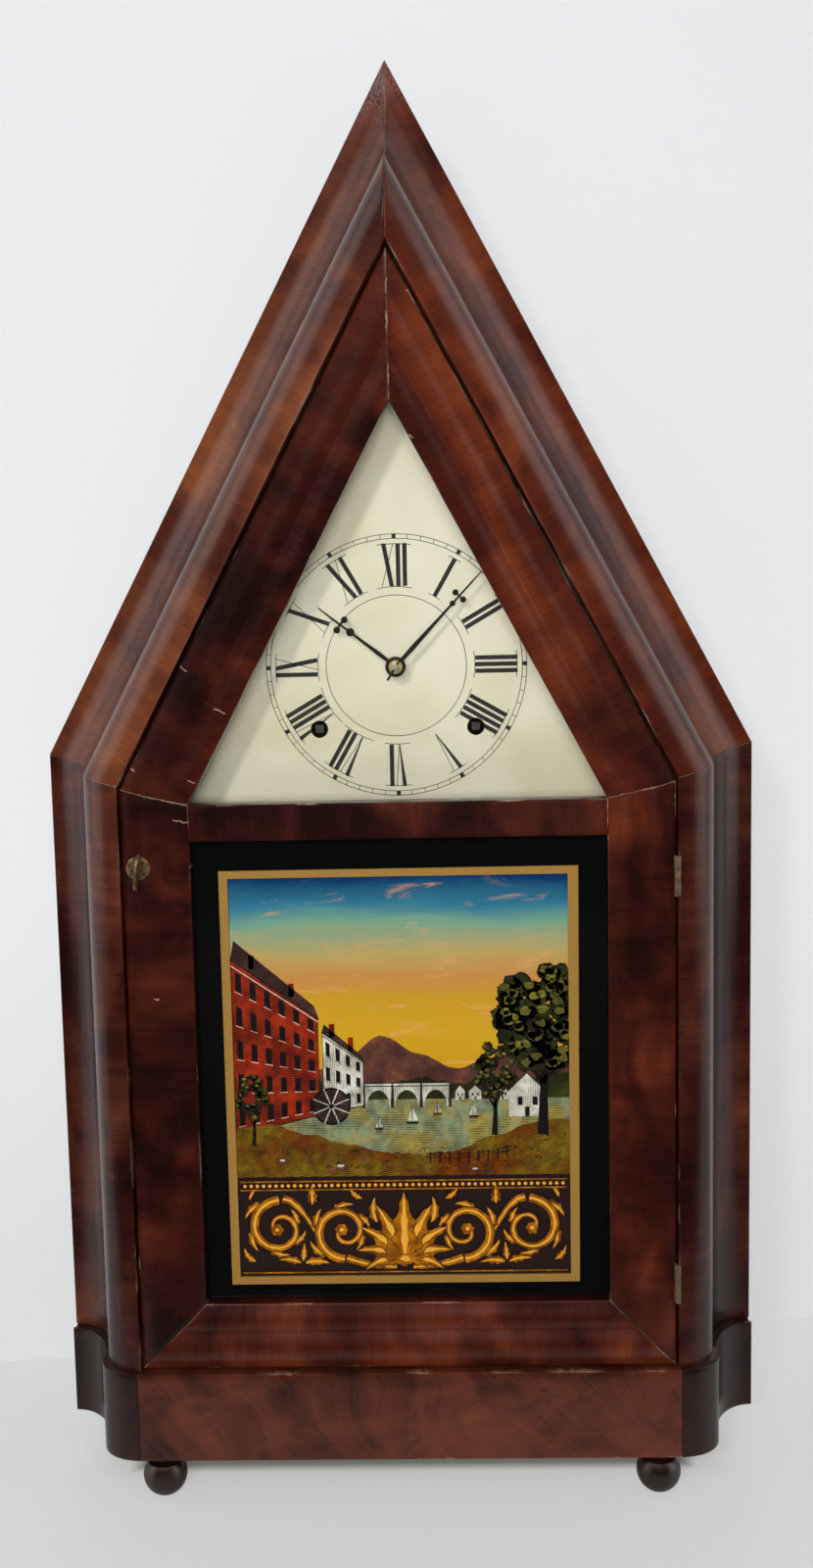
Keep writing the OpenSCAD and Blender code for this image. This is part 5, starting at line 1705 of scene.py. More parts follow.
@dataclass
class Door:
    """The door frame with its stiles, rafters and rails, its glass, hinges and catch."""

    shop: Workshop
    bar_ease: float = 0.3
    hinge_ease: float = 0.12
    catch_ease: float = 0.18
    thumb_half: float = 8.6
    thumb_stand: float = 8.0
    thumb_drop: float = 1.7
    thumb_lean: float = 6.6
    thumb_t: float = 1.5
    bore_room: float = 0.05

    def section(self) -> tuple[list[Point2], list[int]]:
        """The section of stiles, rafters and bottom rail, and its arrises.

        Returns:
            The corners, across and in depth, and the places of the arrises.
        """
        s = SIZES
        steps = 44
        face = [(s.stile_w * i / steps, door_face(s.stile_w * i / steps)) for i in range(steps + 1)]
        inner = s.stile_w - s.rebate_w
        return face + [
            (s.stile_w, s.glass_depth), (inner, s.glass_depth), (inner, s.door_t), (0.0, s.door_t)
        ], [0, steps]

    def frame(self) -> None:
        """Builds the bars of the frame."""
        s, f = SIZES, self.shop.finish
        section, arrises = self.section()
        for side, stile, rafter in (
            (Side.LEFT, f.stile_veneer, f.rafter_veneer),
            (Side.RIGHT, f.stile_veneer_right, f.rafter_veneer_right),
        ):
            sign = side.value
            name = side.name.lower()
            bar = VeneeredBar(
                name + "_stile_piece", section, arrises,
                lambda a: (sign * s.door_x(a), s.door_bottom + a),
                lambda a: (sign * s.door_x(a), s.door_shoulder(a)),
            ).build()
            if side is Side.RIGHT:
                cut_away(bar, CaseFront(self.shop).hinge_cutters())
            else:
                x, z = s.catch_place()
                radius = s.spindle_d / 2 + self.bore_room
                outline = [(0, -5), (radius, -5), (radius, 30), (0, 30)]
                cut_away(bar, [lathe("spindle_bore", outline, place(x, 0, z), AWAY, 32)])
            self.shop.finish_off(bar, stile, Body.DOOR, name + "_stile", bevel=self.bar_ease)
            bar = VeneeredBar(
                name + "_rafter_piece", section, arrises,
                lambda a: (sign * s.door_x(a), s.door_shoulder(a)),
                lambda a: (0.0, s.door_peak(a)),
            ).build()
            self.shop.finish_off(bar, rafter, Body.DOOR, name + "_rafter", bevel=self.bar_ease)
        bar = VeneeredBar(
            "bottom_rail_piece", section, arrises,
            lambda a: (-s.door_x(a), s.door_bottom + a),
            lambda a: (s.door_x(a), s.door_bottom + a),
        ).build()
        self.shop.finish_off(bar, f.rail_veneer, Body.DOOR, "bottom_rail", bevel=self.bar_ease)
        x = s.door_x(s.stile_w)
        w = s.mid_rail_w
        lap = s.rebate_w
        rail = [(w * i / 10, s.mid_rail_set) for i in range(11)]
        rail += [
            (w, s.glass_depth), (w - lap, s.glass_depth), (w - lap, s.door_t), (lap, s.door_t),
            (lap, s.glass_depth), (0.0, s.glass_depth)
        ]
        bar = VeneeredBar(
            "mid_rail_piece", rail, [10], lambda a: (-x, s.mid_bottom + a), lambda a: (x, s.mid_bottom + a)
        ).build()
        self.shop.finish_off(bar, f.mid_veneer, Body.DOOR, "mid_rail", bevel=self.bar_ease)

    def furniture(self) -> None:
        """Refines the hinges and strips, and builds the catch."""
        f, shop = self.shop.finish, self.shop
        for node in ("hinge_case_leaves", "hinge_door_leaves"):
            shop.refined(node, f.hinge_brass, self.hinge_ease)
        shop.refined("hinge_pins", f.steel)
        shop.refined("glazing_strips", f.strip_wood)
        shop.refined("dial_glass", f.clear_glass)
        self.catch()

    def catch(self) -> None:
        """Builds the catch: a domed plate, an oval thumb piece, the spindle and the tongue."""
        s = SIZES
        x, z = s.catch_place()
        plate = [
            (0.0, -1.0), (3.2, -1.0), (4.6, -0.92), (5.2, -0.72), (5.5, -0.45), (5.5, -s.pass_fit),
            (s.spindle_d / 2, -s.pass_fit), (s.spindle_d / 2, s.door_t + s.pass_fit + s.tongue_t),
            (0.0, s.door_t + s.pass_fit + s.tongue_t)
        ]
        disc = lathe("catch_disc", plate, place(x, 0, z), AWAY, 56)
        work = bmesh.new()
        work.from_mesh(disc.data)
        bpy.data.objects.remove(disc)
        blade: list[Point2] = []
        for i in range(33):
            turn = math.pi * i / 32
            stand = 0.9 + (self.thumb_stand - 0.9) * math.sin(turn) ** 0.8
            blade.append((-self.thumb_half * math.cos(turn) - self.thumb_drop, -stand))
        self.thin_plate(work, x, z, blade)
        tongue = [
            (x - s.tongue_w / 2, z - s.tongue_w / 2), (x + s.tongue_w / 2, z - s.tongue_w / 2),
            (x + s.tongue_w / 2, z + s.tongue_l - 1.5), (x + s.tongue_w / 2 - 1.2, z + s.tongue_l),
            (x - s.tongue_w / 2 + 1.2, z + s.tongue_l), (x - s.tongue_w / 2, z + s.tongue_l - 1.5),
        ]
        add_slab(work, tongue, s.door_t + s.pass_fit, s.tongue_t)
        bmesh.ops.recalc_face_normals(work, faces=work.faces)
        piece = from_bmesh("catch_turn_piece", work)
        dress(piece, self.shop.finish.catch_brass)
        ease(piece, self.catch_ease, 50)
        smooth(piece, 40)
        self.shop.hand_over(piece, Body.CATCH.value, "catch_turn")

    def thin_plate(self, work: bmesh.types.BMesh, x: float, z: float, shape: Sequence[Point2]) -> None:
        """Adds the upright thumb piece, which leans a little to the right.

        Args:
            work: The mesh to add to.
            x: Its middle, across.
            z: Its middle, up.
            shape: Heights along it and depths.
        """
        lean = math.radians(self.thumb_lean)
        rings = []
        for side in (-0.5, 0.5):
            ring = []
            for high, deep in shape:
                across = side * self.thumb_t * (1.0 if deep > -6 else 0.8)
                right = across * math.cos(lean) + high * math.sin(lean)
                up = high * math.cos(lean) - across * math.sin(lean)
                ring.append(work.verts.new(place(x + right, deep, z + up)))
            rings.append(ring)
        work.faces.new(rings[0])
        work.faces.new(rings[1])
        count = len(shape)
        for k in range(count):
            j = (k + 1) % count
            work.faces.new((rings[0][k], rings[0][j], rings[1][j], rings[1][k]))

    def build(self) -> None:
        """Builds the whole door."""
        self.frame()
        self.furniture()
        TabletPicture(self.shop).build()


# Flat shapes


def add_slab(
    work: bmesh.types.BMesh, shape: Sequence[Point2], depth: float, thick: float, number: int = 0
) -> None:
    """Adds a flat closed slab that faces the viewer.

    Args:
        work: The mesh to add to.
        shape: Its outline, across and up, in millimetres.
        depth: Depth of its front.
        thick: Its thickness.
        number: Which finish its faces take.
    """
    if area(shape) < 0:
        shape = list(reversed(shape))
    front = [work.verts.new(place(x, depth, z)) for x, z in shape]
    back = [work.verts.new(place(x, depth + thick, z)) for x, z in shape]
    faces = [work.faces.new(front), work.faces.new(list(reversed(back)))]
    count = len(shape)
    for k in range(count):
        j = (k + 1) % count
        faces.append(work.faces.new((front[k], back[k], back[j], front[j])))
    for face in faces:
        face.material_index = number


def add_band(
    work: bmesh.types.BMesh, left: Sequence[Point2], right: Sequence[Point2], depth: float, thick: float,
    number: int = 0, closed: bool = False
) -> None:
    """Adds a flat closed ribbon between two lines.

    Args:
        work: The mesh to add to.
        left: One edge, across and up, in millimetres.
        right: The other edge, with as many points.
        depth: Depth of its front.
        thick: Its thickness.
        number: Which finish its faces take.
        closed: Whether the ribbon runs back into itself.
    """
    rows = [
        [
            work.verts.new(place(x, d, z)) for x, z in line
        ] for line in (left, right) for d in (depth, depth + thick)
    ]
    lf, lb, rf, rb = rows
    count = len(left)
    faces = []
    for k in range(count if closed else count - 1):
        j = (k + 1) % count
        faces.append(work.faces.new((lf[k], rf[k], rf[j], lf[j])))
        faces.append(work.faces.new((lb[k], lb[j], rb[j], rb[k])))
        faces.append(work.faces.new((lf[k], lf[j], lb[j], lb[k])))
        faces.append(work.faces.new((rf[k], rb[k], rb[j], rf[j])))
    if not closed:
        faces.append(work.faces.new((lf[0], lb[0], rb[0], rf[0])))
        faces.append(work.faces.new((lf[-1], rf[-1], rb[-1], lb[-1])))
    for face in faces:
        face.material_index = number


def add_ring(
    work: bmesh.types.BMesh, middle: Point2, inner: float, outer: float, depth: float, thick: float
) -> None:
    """Adds a flat ring.

    Args:
        work: The mesh to add to.
        middle: Its middle, across and up, in millimetres.
        inner: Its inner radius.
        outer: Its outer radius.
        depth: Depth of its front.
        thick: Its thickness.
    """
    turns = [360 * i / RING_STEPS for i in range(RING_STEPS)]
    lines = [
        [(middle[0] + polar(r, t)[0], middle[1] + polar(r, t)[1]) for t in turns] for r in (outer, inner)
    ]
    add_band(work, lines[0], lines[1], depth, thick, closed=True)


def on_dial(x: float, y: float, turn: float) -> Point2:
    """A point of the dial, turned clockwise about its middle by an angle in radians."""
    sine, cosine = math.sin(turn), math.cos(turn)
    return x * cosine + y * sine, SIZES.dial_z + y * cosine - x * sine


def stamp(name: str, shape: Sequence[Point2], film: float) -> bpy.types.Object:
    """A thin flat shape at the origin, ready to be repeated.

    Args:
        name: Name of the piece.
        shape: Its outline, across and up, in millimetres.
        film: Its thickness in millimetres.

    Returns:
        The piece.
    """
    work = bmesh.new()
    add_slab(work, shape, 0.0, film)
    for corner in work.verts:
        corner.co.y -= FRONT_Y * MM
    return from_bmesh(name, work)


# Dial, hands and movement


@dataclass
class DialFace:
    """The cream dial with its printed minute ring and roman numbers."""

    shop: Workshop
    radius: float = 62.4
    line: float = 0.34
    thick_stroke: float = 2.1
    pitch: float = 3.15
    foot: float = 37.7
    head: float = 57.8
    film: float = 0.06
    serif: float = 2.2
    track: float = 0.966
    inner_ring: float = 0.54
    hole_x: float = 37.5
    hole_drop: float = 29.7
    hole_r: float = 4.2

    def cell(self, letter: str) -> float:
        """Width of a numeral's letter."""
        return {"I": self.thick_stroke, "V": 5.0, "X": 5.8}[letter]

    def strokes(self, number: str) -> list[list[Point2]]:
        """The outlines of one number, upright at the top of the dial.

        Args:
            number: A number in roman letters.

        Returns:
            Outlines, across and outward from the middle of the dial.
        """
        gap = self.pitch - self.thick_stroke
        width = sum(self.cell(c) for c in number) + gap * (len(number) - 1)
        x = -width / 2
        y0, y1, t, h = self.foot, self.head, self.thick_stroke, self.line
        shapes: list[list[Point2]] = []
        for letter in number:
            w = self.cell(letter)
            if letter == "I":
                shapes.append([(x, y0), (x + t, y0), (x + t, y1), (x, y1)])
            elif letter == "V":
                tip = x + w * 0.64
                shapes.append(
                    [
                        (x, y1), (tip - 0.15, y0), (tip + 0.25, y0), (x + t * 1.25, y0 + (y1 - y0) * 0.55),
                        (x + t, y1)
                    ]
                )
                shapes.append([(x + w - h, y1), (tip, y0), (tip + h, y0), (x + w, y1)])
            else:
                shapes.append([(x, y1), (x + w - t, y0), (x + w, y0), (x + t, y1)])
                shapes.append([(x + w - h, y1), (x, y0), (x + h, y0), (x + w, y1)])
            x += w + gap
        ends = width / 2 + self.serif
        for y in (y1,) if number == "V" else (y0, y1):
            shapes.append(self.hairline(-ends, ends, y))
        return shapes

    def hairline(self, left: float, right: float, radius: float) -> list[Point2]:
        """A thin line that follows the dial's ring between two ends.

        Args:
            left: Its left end, across.
            right: Its right end, across.
            radius: Radius of its outer edge.

        Returns:
            The outline, across and outward.
        """
        outer = [(x, math.sqrt(radius * radius - x * x)) for x in (left, left / 2, 0.0, right / 2, right)]
        return outer + [(x, y - self.line) for x, y in reversed(outer)]

    def numbers(self) -> None:
        """Prints the numbers and the rings."""
        s = SIZES
        work = bmesh.new()
        depth = s.dial_depth - self.film
        for hour, number in enumerate(
            ("XII", "I", "II", "III", "IIII", "V", "VI", "VII", "VIII", "IX", "X", "XI")
        ):
            turn = math.radians(30 * hour)
            for shape in self.strokes(number):
                add_slab(work, [on_dial(x, y, turn) for x, y in shape], depth, self.film)
        middle = (0.0, s.dial_z)
        for radius in (self.radius, self.radius * self.track, self.radius * self.inner_ring):
            add_ring(work, middle, radius - self.line, radius, depth, self.film)
        piece = from_bmesh("dial_numbers_piece", work)
        dress(piece, self.shop.finish.dial_ink)
        self.cut_holes(piece)
        self.shop.hand_over(piece, Body.CASE.value, slot="dial_paint")

    def cut_holes(self, piece: bpy.types.Object) -> None:
        """Keeps the print off the winding holes.

        Args:
            piece: The print.
        """
        s = SIZES
        outline = [(0, -2), (self.hole_r, -2), (self.hole_r, 2), (0, 2)]
        spots = [place(side * self.hole_x, s.dial_depth, s.dial_z - self.hole_drop) for side in (-1, 1)]
        cut_away(piece, [lathe("winding_hole", outline, spot, AWAY) for spot in spots])

    def marks(self) -> None:
        """Prints the minute ticks and the five-minute blocks with a repeated mark each."""
        s = SIZES
        depth = s.dial_depth - self.film
        inner = self.radius * self.track
        for name, width, count in (("minute_ticks_piece", 0.3, 60), ("five_minute_blocks_piece", 2.0, 12)):
            half = (self.radius - inner) / 2
            shape = [(-width / 2, -half), (width / 2, -half), (width / 2, half), (-width / 2, half)]
            mark = stamp(name, shape, self.film)
            Repeats(name.replace("_piece", "_ring")).round_ring(
                mark, place(0, depth, s.dial_z), (inner + half) * MM, count, self.shop.finish.dial_ink
            )
            self.shop.hand_over(mark, Body.CASE.value, slot="dial_paint")

    def build(self) -> None:
        """Builds the dial's plate and print."""
        self.shop.refined("dial", self.shop.finish.dial_paint)
        self.numbers()
        self.marks()


@dataclass
class Hand:
    """A slim blued hand with three small balls before its tip."""

    name: str
    length: float
    turn: float
    depth: float
    boss: float
    ball_at: float
    ball_r: float
    pair_at: float
    pair_out: float
    pair_r: float
    belly: float
    thick: float = 0.7

    def outline(self) -> list[tuple[float, float]]:
        """Half widths of the blade at distances from the middle.

        Returns:
            Distances and half widths in millimetres.
        """
        return [
            (0.0, self.belly * 0.9), (self.length * 0.2, self.belly), (self.ball_at - 2, 0.52),
            (self.pair_at, 0.5), (self.pair_at + 3, 0.48), (self.length - 1.5, 0.28), (self.length, 0.06),
        ]

    def build(self, shop: Workshop, body: Body, node: str, bore: float) -> None:
        """Builds the hand.

        Args:
            shop: The workshop.
            body: The body that it rides on.
            node: The node that it stands for.
            bore: Radius of the hole in its boss.
        """
        turn = math.radians(self.turn)
        work = bmesh.new()
        rows = [(y, w) for y, w in self.outline() if y >= self.boss - 0.4]
        rows.insert(0, (self.boss - 0.4, self.belly * 0.8))
        left, right = ([on_dial(side * w, y, turn) for y, w in rows] for side in (-1, 1))
        add_band(work, left, right, self.depth, self.thick)
        arm = [
            (-self.pair_out, self.pair_at - 0.4), (self.pair_out, self.pair_at - 0.4),
            (self.pair_out, self.pair_at + 0.4), (-self.pair_out, self.pair_at + 0.4)
        ]
        add_slab(work, [on_dial(*p, turn) for p in arm], self.depth + 0.05, self.thick - 0.1)
        piece = from_bmesh(self.name, work)
        balls = [
            (0.0, self.ball_at, self.ball_r), (-self.pair_out, self.pair_at, self.pair_r),
            (self.pair_out, self.pair_at, self.pair_r)
        ]
        parts = [piece]
        for x, y, r in balls:
            bx, bz = on_dial(x, y, turn)
            profile = [
                (0.0, -0.05), (r * 0.6, 0.0), (r * 0.92, 0.16), (r, 0.36), (r * 0.95, 0.6), (r * 0.7, 0.7),
                (0.0, 0.7)
            ]
            parts.append(lathe(self.name + "_ball", profile, place(bx, self.depth, bz), AWAY, 28))
        t = self.thick
        collar = [
            (bore, 0.0), (self.boss - 0.3, 0.0), (self.boss, 0.2), (self.boss, t),
            (self.boss - 0.6, t + 0.5), (bore, t + 0.5), (bore, 0.0)
        ]
        parts.append(lathe(self.name + "_boss", collar, place(0, self.depth, SIZES.dial_z), AWAY, 56))
        join(parts)
        shop.finish_off(piece, shop.finish.hand_steel, body, node, angle=35)


def join(parts: Sequence[bpy.types.Object]) -> None:
    """Joins meshes into the first of them.

    Args:
        parts: The meshes, of which the first one stays.
    """
    work = bmesh.new()
    for part in parts:
        work.from_mesh(part.data)
    bmesh.ops.remove_doubles(work, verts=work.verts, dist=1e-7)
    bmesh.ops.recalc_face_normals(work, faces=work.faces)
    work.to_mesh(parts[0].data)
    work.free()
    for part in parts[1:]:
        bpy.data.objects.remove(part)


@dataclass
class Movement:
    """The hands, the arbors and everything behind the dial."""

    shop: Workshop
    hour_stand: float = 9.0
    minute_stand: float = 13.0
    pin_stand: float = 15.4
    pin_lean: float = 32.0

    def hands(self) -> None:
        """Builds both hands, the washer and the pin."""
        s, f = SIZES, self.shop.finish
        hour = Hand(
            "hour_hand_piece", length=46.0, turn=308.0, depth=s.dial_depth - self.hour_stand, boss=4.6,
            ball_at=26.8, ball_r=2.0, pair_at=32.5, pair_out=3.0, pair_r=1.6, belly=1.0
        )
        hour.build(self.shop, Body.HOUR, "hour_hand", 3.4)
        minute = Hand(
            "minute_hand_piece", length=61.2, turn=43.2, depth=s.dial_depth - self.minute_stand, boss=4.8,
            ball_at=39.8, ball_r=1.4, pair_at=44.5, pair_out=2.45, pair_r=1.45, belly=1.15
        )
        minute.build(self.shop, Body.MINUTE, "minute_hand", 1.42)
        dome = [
            (0.0, -1.45), (1.1, -1.42), (1.9, -1.26), (2.5, -1.0), (2.95, -0.66), (3.2, -0.3), (3.3, 0.0),
            (0.0, 0.0)
        ]
        spot = place(0, s.dial_depth - self.minute_stand, s.dial_z)
        washer = lathe("hand_washer_piece", dome, spot, AWAY, 56)
        self.shop.finish_off(washer, f.washer_brass, Body.MINUTE, "hand_washer", angle=50)
        taper = [(0.0, -7.3), (0.44, -7.3), (0.56, -7.1), (0.36, 4.4), (0.0, 4.6)]
        lean = math.radians(self.pin_lean)
        way = Vector((math.sin(lean), 0, math.cos(lean)))
        pin = lathe("taper_pin_piece", taper, place(0, s.dial_depth - self.pin_stand, s.dial_z), way, 24)
        self.shop.finish_off(pin, f.hand_steel, Body.MINUTE, "taper_pin", angle=40)

    def inside(self) -> None:
        """Refines every piece behind the dial."""
        f = self.shop.finish
        for finish, nodes in (
            (
                f.wheel_brass,
                (
                    "time_great_wheel", "second_wheel", "third_wheel", "escape_wheel", "minute_wheel",
                    "hour_wheel", "strike_great_wheel", "count_wheel", "strike_second_wheel", "pin_wheel",
                    "warning_wheel", "fly",
                ),
            ),
            (f.plate_brass, ("front_plate", "back_plate", "plate_pillars")),
            (f.steel, ("strike_lever", "hammer", "verge", "wood_screws", "pillar_nuts", "pendulum_rod")),
            (f.arbor_steel, ("time_winding_arbor", "strike_winding_arbor")),
            (f.bob_brass, ("pendulum_bob", "rating_nut")),
            (f.spring_steel, ("mainsprings", "gong")),
            (f.gong_iron, ("gong_block",)),
        ):
            for node in nodes:
                self.shop.refined(node, finish)
        self.shop.refined("centre_wheel", f.wheel_brass, tip=f.pin_steel, tip_depth=SIZES.dial_depth)

    def build(self) -> None:
        """Builds the hands and the movement."""
        self.hands()
        self.inside()


# Painted tablet


class Paint(IntEnum):
    """The colours of the tablet, in the order of the picture's finishes."""

    GOLD = 0
    SKY = 1
    HILL = 2
    WATER = 3
    GROUND = 4
    PALE = 5
    RED = 6
    ROOF = 7
    LEAF = 8
    LEAF_LIGHT = 9
    INK = 10
    DARK = 11
    GILT = 12
    GILT_LIGHT = 13


PAINTS = {
    Paint.GOLD: Ink("tablet_gold_line", colour(150, 114, 52), colour(122, 88, 38), 0.4, 0.5),
    Paint.SKY: EveningSky(),
    Paint.HILL: Etching(
        "tablet_far_hills", colour(112, 70, 52), colour(82, 48, 44), weight=0.46, pitch=0.7, slant=20
    ),
    Paint.WATER: Etching(
        "tablet_water", colour(120, 136, 108), colour(150, 134, 66), weight=0.42, pitch=0.8
    ),
    Paint.GROUND: Etching(
        "tablet_near_bank", colour(118, 96, 22), colour(104, 46, 10), weight=0.5, pitch=0.9, slant=8,
        blotch=0.03
    ),
    Paint.PALE: Etching(
        "tablet_pale_walls", colour(206, 204, 190), colour(176, 174, 158), weight=0.4, pitch=0.8, slant=90
    ),
    Paint.RED: Etching(
        "tablet_red_walls", colour(150, 44, 20), colour(104, 28, 16), weight=0.42, pitch=0.8
    ),
    Paint.ROOF: Etching(
        "tablet_dark_roofs", colour(78, 54, 46), colour(48, 34, 32), weight=0.5, pitch=0.7, slant=60
    ),
    Paint.LEAF: Etching(
        "tablet_leaves", colour(58, 64, 26), colour(36, 38, 18), weight=0.66, pitch=0.6, slant=35
    ),
    Paint.LEAF_LIGHT: Etching(
        "tablet_light_leaves", colour(122, 116, 44), colour(84, 84, 34), weight=0.5, pitch=0.6, slant=35
    ),
    Paint.INK: Ink("tablet_print", colour(19, 16, 15), colour(34, 28, 24), 0.4, 0.5),
    Paint.DARK: Ink("tablet_dark_ground", colour(34, 22, 20), colour(46, 30, 22), 0.4, 0.5),
    Paint.GILT: Etching(
        "tablet_gilding", colour(180, 112, 20), colour(128, 72, 14), line=colour(52, 26, 10), weight=0.4,
        pitch=0.8, slant=30, blotch=0.005,
    ),
    Paint.GILT_LIGHT: Ink("tablet_bright_gilding", colour(222, 160, 50), colour(190, 124, 30), 0.4, 0.5),
}


@dataclass
class TabletPicture:
    """The painted lower glass: a black border, a gold line, an evening landscape and an ornament below."""

    shop: Workshop
    left: float = -80.5
    right: float = 78.6
    low: float = 106.2
    high: float = 300.8
    band: float = 155.4
    gold_corners: tuple[Point2, ...] = ((-84.5, 102.4), (82.8, 102.4), (83.5, 304.5), (-84.6, 304.4))
    film: float = 0.016
    step: float = 0.006
    level: int = 0

    def __post_init__(self) -> None:
        """Starts an empty picture before the glass, with its own random numbers."""
        self.work = bmesh.new()
        self.rand = random.Random(11)

    @property
    def depth(self) -> float:
        """Depth of the paint that is laid next."""
        return SIZES.glass_depth - self.film - self.step * self.level

    def over(self) -> None:
        """Goes on to lay paint over what is laid."""
        self.level += 1

    def lay(self, shape: Sequence[Point2], paint: Paint) -> None:
        """Lays a flat shape of paint, kept inside the picture.

        Args:
            shape: Its outline, across and up, in millimetres.
            paint: Its colour.
        """
        kept = [(min(max(x, self.left), self.right), min(max(z, self.low), self.high)) for x, z in shape]
        add_slab(self.work, kept, self.depth, self.film, paint)

    def box(self, x0: float, z0: float, x1: float, z1: float, paint: Paint) -> None:
        """Lays an upright rectangle."""
        self.lay([(x0, z0), (x1, z0), (x1, z1), (x0, z1)], paint)

    def blob(self, x: float, z: float, wide: float, high: float, paint: Paint, points: int = 11) -> None:
        """Lays a ragged round patch.

        Args:
            x: Its middle, across.
            z: Its middle, up.
            wide: Half its width.
            high: Half its height.
            paint: Its colour.
            points: Number of its corners.
        """
        shape = []
        for i in range(points):
            grow = 1 + self.rand.uniform(-0.24, 0.24)
            turn = 2 * math.pi * i / points
            shape.append((x + wide * grow * math.cos(turn), z + high * grow * math.sin(turn)))
        self.lay(shape, paint)

    def stroke(self, line: Sequence[Point2], half: Width, paint: Paint) -> None:
        """Lays a ribbon along a line.

        Args:
            line: Points on its middle.
            half: Half width, or the half width at each share of its length.
            paint: Its colour.
        """
        lefts, rights = [], []
        for k, (x, z) in enumerate(line):
            px, pz = line[max(0, k - 1)]
            qx, qz = line[min(len(line) - 1, k + 1)]
            size = math.hypot(qx - px, qz - pz) or 1.0
            wide = half(k / (len(line) - 1)) if callable(half) else half
            across = max(0.05, wide) / size
            lefts.append((x - (qz - pz) * across, z + (qx - px) * across))
            rights.append((x + (qz - pz) * across, z - (qx - px) * across))
        add_band(self.work, rights, lefts, self.depth, self.film, paint)

    def ridge(self, heights: Sequence[float], foot: float, paint: Paint, rough: float = 0.4) -> None:
        """Lays a hill or bank with a broken upper edge across the whole picture.

        Args:
            heights: Heights of its edge, evenly spaced.
            foot: Height of its foot.
            paint: Its colour.
            rough: How far the edge is broken.
        """
        count = 64
        shape = [(self.left, foot), (self.right, foot)]
        for i in range(count, -1, -1):
            share = i / count * (len(heights) - 1)
            k = min(int(share), len(heights) - 2)
            blend = (1 - math.cos(math.pi * (share - k))) / 2
            z = heights[k] * (1 - blend) + heights[k + 1] * blend + self.rand.uniform(-rough, rough)
            shape.append((self.left + (self.right - self.left) * i / count, z))
        self.lay(shape, paint)

    def tree(self, x: float, z: float, height: float, width: float, clumps: int) -> None:
        """Lays a leafy tree: trunk and boughs, dark clumps, light clumps and engraved curls.

        Args:
            x: Its trunk, across.
            z: Its foot, up.
            height: Its height.
            width: Width of its crown.
            clumps: Number of leafy clumps.
        """
        self.over()
        self.stroke(
            [(x, z - 1), (x + 0.6, z + height * 0.3), (x - 0.4, z + height * 0.6)],
            lambda t: height * 0.024 * (1.3 - t), Paint.INK
        )
        for side in (-1, 1):
            self.stroke(
                [
                    (x, z + height * 0.28), (x + side * width * 0.2, z + height * 0.46),
                    (x + side * width * 0.3, z + height * 0.6)
                ],
                lambda t: height * 0.012 * (1.2 - t), Paint.INK,
            )
        crown = []
        for _ in range(clumps):
            turn, out = self.rand.uniform(0, 2 * math.pi), math.sqrt(self.rand.random())
            crown.append(
                (x + width * 0.44 * out * math.cos(turn), z + height * (0.66 + 0.3 * out * math.sin(turn)))
            )
        size = width * 0.085
        for shift, grow, paint in (
            (0.0, 1.16, Paint.INK), (0.0, 1.0, Paint.LEAF), (-0.16, 0.62, Paint.LEAF_LIGHT)
        ):
            self.over()
            for cx, cz in crown if paint is not Paint.LEAF_LIGHT else crown[::2]:
                self.blob(cx + shift * size, cz - 1.6 * shift * size, size * grow, size * grow * 0.8, paint)
        self.over()
        for cx, cz in crown:
            for _ in range(2):
                bx, bz = cx + self.rand.uniform(-1, 1) * size, cz + self.rand.uniform(-1, 0.8) * size
                self.stroke([(bx - 0.8, bz - 0.3), (bx, bz + 0.4), (bx + 0.8, bz - 0.2)], 0.16, Paint.INK)

    def wall(
        self, near: Sequence[float], far: Sequence[float], paint: Paint, rows: int, columns: int
    ) -> None:
        """Lays the front of a building that runs away from the viewer.

        Args:
            near: Place, foot and top of its near edge.
            far: Place, foot and top of its far edge.
            paint: Its colour.
            rows: Rows of windows.
            columns: Windows in a row.
        """

        def at(share: float, up: float) -> Point2:
            """A point on the wall."""
            x, foot, top = (a + (b - a) * share for a, b in zip(near, far))
            return x, foot + (top - foot) * up

        self.over()
        self.lay([at(0, 0), at(1, 0), at(1, 1), at(0, 1)], paint)
        self.lay([at(-0.015, 1), at(1.015, 1), at(0.96, 1.1), at(0.04, 1.12)], Paint.ROOF)
        for share in (0.24, 0.7):
            x, z = at(share, 1.03)
            self.box(x - 1.3, z, x + 1.3, z + 6.5, Paint.RED)
        self.over()
        for row in range(rows):
            for column in range(columns):
                u, v = (column + 0.5) / columns, (row + 0.55) / (rows + 0.1)
                du, dv = 0.21 / columns, 0.27 / rows
                self.lay(
                    [at(u - du, v - dv), at(u + du, v - dv), at(u + du, v + dv), at(u - du, v + dv)],
                    Paint.INK
                )
        for up in (0.0, 1.0):
            self.stroke([at(-0.015, up), at(1.015, up)], 0.3, Paint.INK)
        for share in (0.0, 1.0):
            self.stroke([at(share, 0), at(share, 1)], 0.16, Paint.INK)
        self.over()
        trim = Paint.PALE if paint is Paint.RED else Paint.INK
        for row in range(rows):
            v = (row + 0.55) / (rows + 0.1) - 0.31 / rows
            for column in range(columns):
                u, du = (column + 0.5) / columns, 0.27 / columns
                self.stroke([at(u - du, v), at(u + du, v)], 0.15, trim)
        self.stroke([at(0, 0.965), at(1, 0.965)], 0.22, trim)

